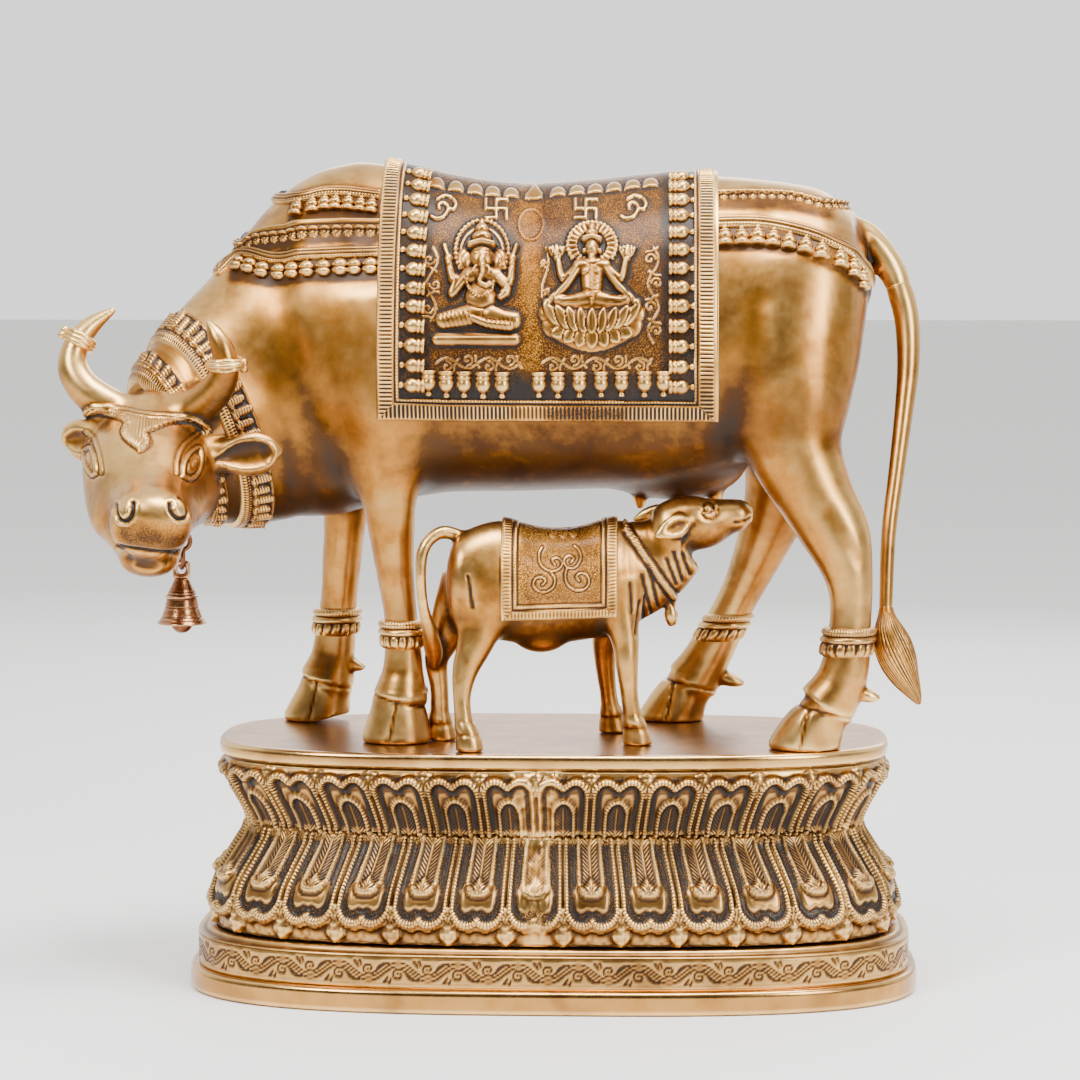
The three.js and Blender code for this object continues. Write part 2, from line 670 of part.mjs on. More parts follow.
function collar({ at, facing, wide, stands }) {
  const slice = new THREE.BoxGeometry(COW_DRAWN, COW_DRAWN, wide);
  const turn = new THREE.Quaternion().setFromUnitVectors(vec(0, 0, 1), facing.clone().normalize());
  slice.applyQuaternion(turn);
  slice.translate(at.x, at.y, at.z);
  return solidOf(neck(NECK_SIDES, stands)).intersect(solidOf(slice));
}

function anklet([x, y, z, radius]) {
  const ring = (dz, r) => ellipse(vec(x, y, z + dz), vec(1, 0, 0), vec(0, 1, 0), r, r, 9);
  return loft([ring(9, radius - 1), ring(3, radius), ring(-11, radius - 2)]);
}

// Two dewclaws stand out behind each fetlock: claw is where their tips are.
function dewclaws([x, y, z]) {
  return [-1, 1].map((side) => limb([
    [x - 18, y + side * 6, z + 6, 6, 5], [x, y + side * 8, z, 1.5, 1.5]], 4));
}

function cowGeometry() {
  const body = cowBody();
  const skin = new Skin(body);
  const trappings = [
    saddleCloth(skin), ...clothBells(skin),
    ...FIGURES.flatMap((place) => seatedFigure(skin, place)),
    ...GARLANDS.flatMap((row) => garland(skin, row)),
    ...Object.values(COW_LEGS).flatMap((part) => [anklet(part.anklet), ...dewclaws(part.claw)]),
    ...throatLug(),
  ];
  const collars = COLLARS.map(collar).reduce((sum, next) => sum.add(next), body);
  return bufferOf(collars.add(join(trappings)));
}

// Throat lug, bell, link and clapper

const LUG_AT = vec(-277, -66, 153);

function torus(radius, wire, sides = 10) {
  return new THREE.TorusGeometry(radius, wire, 5, sides);
}

function throatLug() {
  const { x, y, z } = LUG_AT;
  const stem = limb([[x, y, z + LUG_RADIUS, LUG_WIRE, LUG_WIRE], [x, y, z + 6 * LUG_RADIUS, 4, 4]], 5);
  return [torus(LUG_RADIUS, LUG_WIRE).rotateX(Math.PI / 2).translate(x, y, z), stem];
}

// How far a ring's middle hangs below the middle of the ring that it is linked through.
function hang(upperRadius, upperWire, lowerRadius, lowerWire) {
  return upperRadius - upperWire - lowerWire - TOUCH_GAP + lowerRadius;
}

// The bell's profile: shares of the mouth's radius and of the height below the crown.
const BELL_OUTSIDE = [
  [0, 0], [0.42, -0.01], [0.6, -0.12], [0.67, -0.36], [0.76, -0.42], [0.72, -0.5], [0.8, -0.78], [1, -1],
];
const BELL_INSIDE = [[0.96, -1], [0.72, -0.78], [0.62, -0.5], [0.56, -0.14]];
const BELL_SIDES = 12;
const crownThickness = BELL_WALL * 1.6;
const eyeAt = -crownThickness - EYE_RADIUS + EYE_WIRE * 0.7;

function bellGeometry() {
  const thinning = BELL_WALL * 0.35;
  const outside = BELL_OUTSIDE.map(([r, h]) => (
    new THREE.Vector2(r * BELL_MOUTH_RADIUS, h * BELL_HEIGHT)));
  const inside = BELL_INSIDE.map(([r, h]) => (
    new THREE.Vector2(r * BELL_MOUTH_RADIUS - thinning, h * BELL_HEIGHT)));
  const crown = new THREE.Vector2(0, -crownThickness);
  const profile = [...outside, ...inside, crown].reverse();
  const body = new THREE.LatheGeometry(profile, BELL_SIDES).rotateX(Math.PI / 2);
  const loop = torus(CROWN_LOOP_RADIUS, CROWN_LOOP_WIRE).rotateX(Math.PI / 2)
    .translate(0, 0, CROWN_LOOP_RADIUS);
  const eye = torus(EYE_RADIUS, EYE_WIRE).rotateX(Math.PI / 2).translate(0, 0, eyeAt);
  return bufferOf(join([body, loop, eye]));
}

const clapperDrop = hang(EYE_RADIUS, EYE_WIRE, CLAPPER_RING_RADIUS, CLAPPER_RING_WIRE);

// The clapper hangs from the origin by its ring, and its ball reaches below the bell.
function clapperGeometry() {
  const ring = torus(CLAPPER_RING_RADIUS, CLAPPER_RING_WIRE).rotateY(Math.PI / 2);
  const knobAt = -(BELL_HEIGHT + CLAPPER_DROP - CLAPPER_RADIUS + eyeAt - clapperDrop);
  const length = -CLAPPER_RING_RADIUS - knobAt;
  const rod = new THREE.CylinderGeometry(CLAPPER_ROD, CLAPPER_ROD, length, 6).rotateX(Math.PI / 2)
    .translate(0, 0, -CLAPPER_RING_RADIUS - length / 2);
  const knob = new THREE.IcosahedronGeometry(CLAPPER_RADIUS, 1).translate(0, 0, knobAt);
  return bufferOf(join([ring, rod, knob]));
}

// Calf, drawn from the plate's top up

const CALF_BARREL = [
  [-77, -72, 134, 112, 6], [-73, -71, 152, 96, 20], [-64, -69, 162, 88, 27], [-38, -61, 169, 79, 31],
  [-8, -53, 162, 75, 32], [20, -45, 162, 77, 31], [42, -39, 167, 81, 29], [60, -35, 163, 90, 23],
  [70, -33, 148, 106, 12],
];
const CALF_NECK = [
  [40, -40, 128, 34, 24], [58, -38, 128, 36, 22], [78, -37, 138, 32, 19], [96, -37, 151, 25, 16.5],
];
const CALF_HEAD = [
  [80, -38, 160, 15, 12], [88, -38, 162, 20, 17], [102, -37, 165, 21, 17], [117, -36, 166, 19, 15.5],
  [132, -35, 170, 14, 12], [144, -34, 172, 11, 10.5], [151, -34, 172, 5, 6],
];
const CALF_EARS = [
  [[104, -50, 168, 4, 3], [98, -55, 166, 9, 3.5], [88, -60, 162, 8, 3], [78, -63, 157, 1.5, 1.5]],
  [[92, -24, 172, 4, 3], [82, -20, 172, 7, 3.5], [70, -19, 169, 6, 3], [61, -19, 166, 1.5, 1.5]],
];
const CALF_LEGS = [
  {
    shank: [[-44, -72, 122, 28, 17], [-50, -78, 100, 20, 15], [-56, -84, 78, 13.5, 11],
      [-63, -88, 58, 9.5, 8.5],
      [-65, -91, 38, 6.5, 6.5], [-63, -93, 16, 7, 7]],
    hoof: [[-62, -93, 20, 7, 7], [-60, -95, 10, 9.5, 8.5], [-59, -96, 0, 10.5, 9]],
  },
  {
    shank: [[-64, -62, 124, 18, 14], [-72, -56, 100, 17, 13], [-82, -49, 76, 12, 10],
      [-87, -46, 61, 9, 8.5],
      [-85, -43, 39, 7, 7], [-85, -40, 16, 7.5, 7.5]],
    hoof: [[-85, -40, 20, 7.5, 7.5], [-84, -39, 10, 10, 8.5], [-83, -38, 0, 11.5, 9]],
  },
  {
    shank: [[48, -48, 118, 20, 14], [52, -54, 96, 14, 12], [56, -58, 76, 10, 9], [57, -60, 60, 8.5, 8],
      [59, -59, 36, 6.5, 6.5], [62, -58, 16, 7.5, 7.5]],
    hoof: [[62, -58, 20, 7.5, 7.5], [64, -57, 10, 10, 8.5], [65, -57, 0, 11.5, 9]],
  },
  {
    shank: [[44, -30, 108, 16, 12], [41, -20, 88, 11, 10], [39, -12, 70, 9, 8.5], [40, -5, 50, 7.5, 7.5],
      [42, 0, 32, 6.5, 6.5], [44, 4, 16, 7.5, 7.5]],
    hoof: [[44, 4, 20, 7.5, 7.5], [45, 6, 10, 10, 8.5], [46, 7, 0, 11.5, 9]],
  },
];
const CALF_TAIL = [
  [-66, -70, 157, 5, 5], [-79, -73, 161, 5, 5], [-89, -77, 156, 4.5, 4.5], [-95, -80, 145, 4.5, 4.5],
  [-96, -81, 126, 4, 4], [-94, -78, 104, 4, 4], [-90, -70, 86, 6, 5], [-88, -60, 70, 7, 5],
  [-88, -53, 58, 3, 3],
];
const CALF_PENDANT = [
  [84, -38, 116, 4, 4], [89, -38, 104, 4, 4], [90, -38, 95, 5.5, 5.5], [91, -38, 88, 3, 3],
];
const CALF_EYES = [[119, -50, 174, 4, 3.5, 3.5], [119, -22, 174, 4, 3.5, 3.5]];
const CALF_CLOTH = { front: 49, back: -36, hem: 98, border: 8, thickness: 2, rise: 1.4 };

function calfBarrel(sides) {
  return loft(CALF_BARREL.map(([x, y, top, bottom, half]) => ellipse(
    vec(x, y, (top + bottom) / 2), vec(0, 0, 1), vec(0, 1, 0), (top - bottom) / 2, half, sides)));
}

const CALF_CLOTH_SINK = 3;
const CALF_CLOTH_SIDES = 9;

// The calf's cloth is a thin saddle over its back, grown from the barrel's own rings.
function calfCloth({ grow, hem, front, back, stops }) {
  const rings = along(stops, (t) => {
    const x = back + (front - back) * t;
    const row = spline(CALF_BARREL, calfStation(x));
    const centre = (row[2] + row[3]) / 2;
    const tall = (row[2] - row[3]) / 2;
    const reach = Math.acos(Math.max(-0.9, (hem - centre) / tall));
    const arc = (extra) => along(CALF_CLOTH_SIDES, (s) => {
      const angle = reach * (2 * s - 1);
      return vec(x, row[1] + (row[4] + extra) * Math.sin(angle), centre + (tall + extra) * Math.cos(angle));
    });
    return [...arc(grow), ...arc(-CALF_CLOTH_SINK).reverse()];
  });
  return thinLoft(rings);
}

function calfStation(x) {
  const i = Math.max(1, CALF_BARREL.findIndex((row) => row[0] >= x));
  return i - 1 + (x - CALF_BARREL[i - 1][0]) / (CALF_BARREL[i][0] - CALF_BARREL[i - 1][0]);
}

function calfGeometry() {
  const legs = CALF_LEGS.flatMap(({ shank, hoof }) => leg(shank, hoof, 5));
  const { front, back, hem, border, thickness, rise } = CALF_CLOTH;
  const edge = { grow: thickness + rise, hem: hem + 1, stops: 2 };
  return bufferOf(join([
    calfBarrel(10), limb(CALF_NECK, 8), limb(CALF_HEAD, 7), ...legs, limb(CALF_TAIL, 5),
    ...CALF_EARS.map((ear) => limb(ear, 5)),
    calfCloth({ grow: thickness, hem, front, back, stops: 5 }),
    calfCloth({ ...edge, front: front - 1, back: front - 1 - border }),
    calfCloth({ ...edge, front: back + 1 + border, back: back + 1 }),
    ...CALF_EYES.map((place) => ball(...place, 0)),
    limb(CALF_PENDANT, 5),
  ]));
}

// Assembly

const statue = new THREE.Group();

function place(name, geometry, finish, at, scale = 1) {
  geometry.scale(scale, scale, scale);
  const material = new THREE.MeshStandardMaterial(FINISHES[finish]);
  const mesh = new THREE.Mesh(geometry, material);
  mesh.name = name;
  mesh.position.copy(at);
  statue.add(mesh);
}

const figureScale = COW_HEIGHT / COW_DRAWN;
const linkDrop = hang(LUG_RADIUS, LUG_WIRE, LINK_RADIUS, LINK_WIRE);
const loopDrop = hang(LINK_RADIUS, LINK_WIRE, CROWN_LOOP_RADIUS, CROWN_LOOP_WIRE);

const standing = vec(0, 0, plateTop + TOUCH_GAP);
const below = (start, drop) => start.clone().add(vec(0, 0, -drop * figureScale));
const lugAt = LUG_AT.clone().multiplyScalar(figureScale).add(standing);
const linkAt = below(lugAt, linkDrop);
const bellAt = below(linkAt, loopDrop + CROWN_LOOP_RADIUS);
const clapperAt = below(bellAt, clapperDrop - eyeAt);
const link = torus(LINK_RADIUS, LINK_WIRE).rotateX(Math.PI / 2).rotateZ(Math.PI / 2);

place('lotus_plinth', plinthGeometry(), 'plinth', vec(0, 0, 0));
place('cow', cowGeometry(), 'cow', standing, figureScale);
place('calf', calfGeometry(), 'calf', standing, figureScale);
place('bell_link', link, 'link', linkAt, figureScale);
place('bell', bellGeometry(), 'bell', bellAt, figureScale);
place('bell_clapper', clapperGeometry(), 'bell', clapperAt, figureScale);

export default statue;
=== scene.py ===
"""Cow and calf on a lotus plinth, cast in brass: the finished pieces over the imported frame.

Sizes are in millimetres and are turned to metres where a mesh is made. The cow, the calf and
what they wear are drawn from the plate's top up; the plinth is drawn from its underside up.
"""
import logging
import math
from dataclasses import dataclass, field, replace
from enum import Enum
from typing import Callable, Sequence

import bmesh
import bpy
import numpy as np
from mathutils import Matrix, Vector
from mathutils.bvhtree import BVHTree


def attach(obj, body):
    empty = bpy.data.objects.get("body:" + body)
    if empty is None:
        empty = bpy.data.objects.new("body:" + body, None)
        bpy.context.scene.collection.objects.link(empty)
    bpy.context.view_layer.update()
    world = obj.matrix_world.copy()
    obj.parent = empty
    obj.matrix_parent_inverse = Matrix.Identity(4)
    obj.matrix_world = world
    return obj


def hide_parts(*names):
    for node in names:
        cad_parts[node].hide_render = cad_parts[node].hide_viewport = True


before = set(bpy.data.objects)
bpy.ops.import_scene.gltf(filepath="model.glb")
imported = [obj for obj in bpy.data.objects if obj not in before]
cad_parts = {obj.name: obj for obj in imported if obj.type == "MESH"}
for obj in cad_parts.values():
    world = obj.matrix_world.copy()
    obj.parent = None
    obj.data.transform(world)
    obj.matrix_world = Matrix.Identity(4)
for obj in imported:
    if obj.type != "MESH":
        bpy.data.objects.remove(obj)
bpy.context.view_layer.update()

logging.basicConfig(level=logging.INFO, format="%(message)s")
log = logging.getLogger("statue")

Array = np.ndarray
MM = 0.001
TAU = 2 * math.pi
UP = np.array([0.0, 0.0, 1.0])

# The plate's top above the floor, a field's value far outside the metal, the camera's place over
# the plate, and the wear of metal that nobody rubs: the first three in millimetres.
PLATE_TOP = 189.3
FAR_OUT = 60.0
SIGHT = np.array([84.5, -2498.6, 359.7])
UNRUBBED = 0.45


# Small mathematics


def unit(v: Array) -> Array:
    """Vectors brought to length one, along the last axis."""
    return v / np.maximum(np.linalg.norm(v, axis=-1, keepdims=True), 1e-9)


def mix(a: Array, b: Array, t: Array) -> Array:
    """The value between a and b at share t."""
    return a + (b - a) * t


def smooth(edge0: float, edge1: float, x: Array) -> Array:
    """A soft step from 0 at edge0 to 1 at edge1."""
    t = np.clip((x - edge0) / (edge1 - edge0), 0.0, 1.0)
    return t * t * (3 - 2 * t)


def soft_min(a: Array, b: Array, reach: float) -> Array:
    """The lesser of two fields, rounded where they come within reach of each other."""
    h = np.clip(0.5 + 0.5 * (b - a) / reach, 0.0, 1.0)
    return b + (a - b) * h - reach * h * (1 - h)


def spline(table: Array, t: Array) -> Array:
    """Points of a Catmull-Rom curve through the rows of a table.

    Args:
        table: one row of numbers for each station.
        t: places along the curve, counted in stations.

    Returns:
        One row of numbers for each place.
    """
    last = len(table) - 1
    i = np.clip(np.floor(t).astype(int), 0, last - 1)
    f = (t - i)[:, None]
    p0, p1 = table[np.maximum(i - 1, 0)], table[i]
    p2, p3 = table[i + 1], table[np.minimum(i + 2, last)]
    square = (2 * p0 - 5 * p1 + 4 * p2 - p3) * f * f
    cube = (3 * p1 - p0 - 3 * p2 + p3) * f * f * f
    return 0.5 * (2 * p1 + (p2 - p0) * f + square + cube)


def hash_noise(x: Array, y: Array, seed: int) -> Array:
    """Smooth noise from 0 to 1 over a plane, one lump for each unit of x and y."""
    rng = np.random.default_rng(seed)
    grid = rng.random((64, 64))
    xi, yi = np.floor(x).astype(int), np.floor(y).astype(int)
    fx, fy = x - xi, y - yi
    fx, fy = fx * fx * (3 - 2 * fx), fy * fy * (3 - 2 * fy)
    near = mix(grid[xi % 64, yi % 64], grid[(xi + 1) % 64, yi % 64], fx)
    far = mix(grid[xi % 64, (yi + 1) % 64], grid[(xi + 1) % 64, (yi + 1) % 64], fx)
    return mix(near, far, fy)


# Lines drawn on a plane or in space


def stroke(x: Array, y: Array, path: Sequence) -> tuple[Array, Array]:
    """The distance from each place to a drawn line, and how far along the line its nearest point is.

    Args:
        x: places, across.
        y: places, up.
        path: the line's points, as pairs.

    Returns:
        Distances in millimetres, and shares of the line's length from 0 to 1.
    """
    points = np.array(path, float)
    lengths, starts = steps_of(points), run_along(points)
    best, place = np.full(np.shape(x), 1e3), np.zeros(np.shape(x))
    for (ax, ay), (bx, by), length, start in zip(points[:-1], points[1:], lengths, starts):
        t = np.clip(((x - ax) * (bx - ax) + (y - ay) * (by - ay)) / max(length**2, 1e-9), 0, 1)
        d = np.hypot(x - ax - t * (bx - ax), y - ay - t * (by - ay))
        nearer = d < best
        best = np.where(nearer, d, best)
        place = np.where(nearer, (start + t * length) / starts[-1], place)
    return best, place


def curve(path: Sequence, steps: int = 6) -> Array:
    """A smooth line through a few points."""
    points = np.array(path, float)
    last = len(points) - 1
    return spline(points, np.linspace(0, last, last * steps + 1))


def groove(d: Array, width: float, depth: float) -> Array:
    """A chased line: its depth at a distance from its middle."""
    return -depth * np.exp(-((d / (width * 0.5)) ** 2))


def ridge(d: Array, width: float, height: float) -> Array:
    """A rounded bead: its height at a distance from its middle."""
    return height * np.sqrt(np.clip(1 - (d / (width * 0.5)) ** 2, 0, 1))


def steps_of(points: Array) -> Array:
    """The distance from each point to the next, along the first axis."""
    return np.linalg.norm(np.diff(points, axis=0), axis=-1)


def run_along(points: Array) -> Array:
    """The running length at each point, along the first axis."""
    run = np.cumsum(steps_of(points), axis=0)
    return np.concatenate([np.zeros_like(run[:1]), run])


def points_at(points: Array, run: Array, wanted: Array) -> Array:
    """The points of a line where its running length has the wanted values."""
    return np.stack([np.interp(wanted, run, points[:, k]) for k in range(points.shape[1])], axis=1)


def resample(path: Sequence, count: int, smooth_steps: int = 8) -> Array:
    """A smooth line through a few points, as evenly spaced points.

    Args:
        path: the few points.
        count: how many points the line gets.
        smooth_steps: how finely the curve is followed between two of the few points.

    Returns:
        The points, from the line's start to its end.
    """
    points = curve(path, smooth_steps)
    run = run_along(points)
    return points_at(points, run, np.linspace(0, run[-1], count))


# Solid fields: a number for each point, below nothing inside the metal


@dataclass(frozen=True)
class Tube:
    """A limb as rings along a centre line.

    Each ring is an ellipse, given by its centre and its two half axes as vectors.
    """

    centres: Array
    first: Array
    second: Array

    @classmethod
    def limb(cls, stations: Sequence, side: Sequence = (0, 1, 0), steps: int = 4) -> "Tube":
        """Makes a limb from rows of x, y, z, fore-and-aft radius and sideways radius.

        Args:
            stations: the rows, from the root to the tip.
            side: the direction in which the sideways radius is measured.
            steps: rings made for each station.

        Returns:
            The limb.
        """
        rows = curve(stations, steps)
        centres = rows[:, :3]
        along = unit(np.gradient(centres, axis=0))
        across = np.array(side, float) - (along @ np.array(side, float))[:, None] * along
        across = unit(across)
        fore = np.cross(along, across)
        return cls(centres, fore * rows[:, 3:4], across * rows[:, 4:5])

    def distance(self, p: Array) -> Array:
        """How far each point lies outside the limb, in millimetres, less than nothing within."""
        c, a, b = self.centres, self.first, self.second
        la, lb = np.linalg.norm(a, axis=1), np.linalg.norm(b, axis=1)
        ua, ub = unit(a), unit(b)
        facing = unit(np.cross(a, b))
        flow = np.gradient(c, axis=0)
        facing *= np.sign(np.sum(facing * flow, axis=1))[:, None]
        best = np.full(len(p), FAR_OUT)
        last = len(c) - 2
        for i in range(last + 1):
            s0 = (p - c[i]) @ facing[i]
            s1 = (p - c[i + 1]) @ facing[i + 1]
            near = np.flatnonzero((s0 > -40) & (s1 < 40))
            if not len(near):
                continue
            s0, s1, q = s0[near], s1[near], p[near]
            t = np.clip(s0 / np.maximum(s0 - s1, 1e-3), 0, 1)
            beyond = np.maximum(np.maximum(-s0, s1), 0)
            rel = q - mix(c[i], c[i + 1], t[:, None])
            ra, rb = mix(la[i], la[i + 1], t), mix(lb[i], lb[i + 1], t)
            x = np.einsum("ij,ij->i", rel, mix(ua[i], ua[i + 1], t[:, None])) / ra
            y = np.einsum("ij,ij->i", rel, mix(ub[i], ub[i + 1], t[:, None])) / rb
            k0 = np.hypot(x, y) + 1e-6
            k1 = np.hypot(x / ra, y / rb) + 1e-9
            d = np.maximum(k0 * (k0 - 1) / k1, -np.minimum(ra, rb))
            d = np.where(beyond > 0, np.hypot(np.maximum(d, 0), beyond), d)
            best[near] = np.minimum(best[near], d)
        return best

    def box(self, margin: float) -> tuple[Array, Array]:
        """The lowest and highest corner of the limb, with a margin."""
        reach = np.abs(self.first) + np.abs(self.second)
        return (self.centres - reach).min(0) - margin, (self.centres + reach).max(0) + margin


@dataclass(frozen=True)
class Lump:
    """An upright ellipsoid."""

    centre: Sequence
    radii: Sequence

    def distance(self, p: Array) -> Array:
        """How far each point lies outside the ellipsoid."""
        r = np.array(self.radii, float)
        q = p - np.array(self.centre, float)
        k0 = np.linalg.norm(q / r, axis=1) + 1e-6
        k1 = np.linalg.norm(q / (r * r), axis=1) + 1e-9
        return k0 * (k0 - 1) / k1

    def box(self, margin: float) -> tuple[Array, Array]:
        """The lowest and highest corner of the ellipsoid, with a margin."""
        reach = max(self.radii) + margin
        centre = np.array(self.centre, float)
        return centre - reach, centre + reach


class Block:
    """A block of space in which fields are joined, and from which a skin is taken."""

    def __init__(self, low: Sequence, high: Sequence, pitch: float) -> None:
        """Fills the block with empty space.

        Args:
            low: its lowest corner.
            high: its highest corner.
            pitch: the distance between its grid points.
        """
        self.low = np.array(low, float)
        self.pitch = pitch
        self.axes = [np.arange(a, b + pitch, pitch) for a, b in zip(low, high)]
        self.field = np.full([len(axis) for axis in self.axes], FAR_OUT, np.float32)

    def window(self, box: tuple[Array, Array]) -> tuple[slice, slice, slice]:
        """The part of the block that a box covers."""
        lo = np.maximum(np.floor((box[0] - self.low) / self.pitch).astype(int), 0)
        hi = np.ceil((box[1] - self.low) / self.pitch).astype(int) + 1
        return tuple(slice(a, max(b, a)) for a, b in zip(lo, hi))

    def points(self, part: tuple[slice, slice, slice]) -> Array:
        """The grid points of a part of the block, one row each."""
        grids = np.meshgrid(*[axis[s] for axis, s in zip(self.axes, part)], indexing="ij")
        return np.stack([g.ravel() for g in grids], axis=1)

    def join(self, shape: "Tube | Lump | Barrel", blend: float, sign: int = 1) -> "Block":
        """Adds a shape to the metal, with a fillet of about the blend's size.

        Args:
            shape: the shape.
            blend: the fillet's size.
            sign: 1 to add the shape, -1 to take it out.

        Returns:
            This block.
        """
        part = self.window(shape.box(blend + 2 * self.pitch))
        old = self.field[part]
        if old.size:
            new = shape.distance(self.points(part)).reshape(old.shape)
            self.field[part] = sign * soft_min(sign * old, new, blend)
        return self

    def carve(self, shape: "Tube | Lump | Barrel", blend: float) -> "Block":
        """Takes a shape out of the metal, with its edge rounded by the blend."""
        return self.join(shape, blend, -1)

    def limbs(self, *limbs: tuple) -> "Block":
        """Adds limbs, each given by its stations and its fillet's size."""
        for stations, blend in limbs:
            self.join(Tube.limb(stations), blend)
        return self

    def keep(self, inside: Callable[[Array], Array]) -> "Block":
        """Keeps only the metal where a field of its own is below nothing."""
        whole = tuple(slice(0, n) for n in self.field.shape)
        other = inside(self.points(whole)).reshape(self.field.shape)
        self.field = np.maximum(self.field, other).astype(np.float32)
        return self

    def read(self, p: Array) -> tuple[Array, Array]:
        """The field and its slope at any points, read between the grid's own points.

        Args:
            p: one point in each row.

        Returns:
            The field's value and its slope at each point.
        """
        g = (p - self.low) / self.pitch
        top = np.array(self.field.shape) - 2
        i = np.clip(np.floor(g).astype(int), 0, top)
        f = np.clip(g - i, 0, 1)
        x, y, z = i.T
        v = np.array([[[self.field[x + a, y + b, z + c] for c in (0, 1)] for b in (0, 1)] for a in (0, 1)])
        fx, fy, fz = f.T
        vx = mix(v[0], v[1], fx)
        vxy = mix(vx[0], vx[1], fy)
        value = mix(vxy[0], vxy[1], fz)
        dz = vxy[1] - vxy[0]
        dy = mix(vx[1][0] - vx[0][0], vx[1][1] - vx[0][1], fz)
        slope = v[1] - v[0]
        dx = mix(mix(slope[0][0], slope[1][0], fy), mix(slope[0][1], slope[1][1], fy), fz)
        return value, np.stack([dx, dy, dz], axis=1) / self.pitch

    def skin(self, settle: int = 2) -> "Shell":
        """The surface of the metal as one closed shell.

        Args:
            settle: how many times the points are moved onto the true surface.

        Returns:
            The shell, its faces pointing outwards.
        """
        f = self.field
        inside = f < 0
        shape = np.array(f.shape) - 1
        count = np.zeros(shape, np.int8)
        corners = [(a, b, c) for a in (0, 1) for b in (0, 1) for c in (0, 1)]
        for a, b, c in corners:
            count += inside[a : a + shape[0], b : b + shape[1], c : c + shape[2]]
        cells = np.argwhere((count > 0) & (count < 8))
        number = np.full(shape, -1, np.int64)
        number[tuple(cells.T)] = np.arange(len(cells))
        total, hits = np.zeros((len(cells), 3)), np.zeros(len(cells))
        for start in corners:
            for axis in range(3):
                if start[axis]:
                    continue
                end = list(start)
                end[axis] = 1
                fa = f[tuple((cells + start).T)].astype(float)
                fb = f[tuple((cells + end).T)].astype(float)
                cut = np.flatnonzero((fa < 0) != (fb < 0))
                t = fa[cut] / (fa[cut] - fb[cut])
                total[cut] += np.array(start) + t[:, None] * np.eye(3)[axis]
                hits[cut] += 1
        points = self.low + (cells + total / hits[:, None]) * self.pitch
        quads = []
        for axis in range(3):
            u, v = (axis + 1) % 3, (axis + 2) % 3
            before = np.take(inside, range(f.shape[axis] - 1), axis)
            after = np.take(inside, range(1, f.shape[axis]), axis)
            edge = np.argwhere(before != after)
            edge = edge[
                (edge[:, u] > 0) & (edge[:, v] > 0) & (edge[:, u] < shape[u]) & (edge[:, v] < shape[v])
            ]
            step_u, step_v = np.eye(3, dtype=int)[u], np.eye(3, dtype=int)[v]
            ring = [edge, edge - step_u, edge - step_u - step_v, edge - step_v]
            quad = np.stack([number[tuple(cell.T)] for cell in ring], axis=1)
            out = before[tuple(edge.T)]
            quads.append(np.where(out[:, None], quad, quad[:, ::-1]))
        faces = np.concatenate(quads)
        for _ in range(settle):
            value, slope = self.read(points)
            size = np.maximum((slope * slope).sum(1), 0.05)
            points = points - slope * np.clip(value / size, -self.pitch, self.pitch)[:, None]
        return Shell(points, faces)


# Shells: closed surfaces as arrays, and the objects made from them


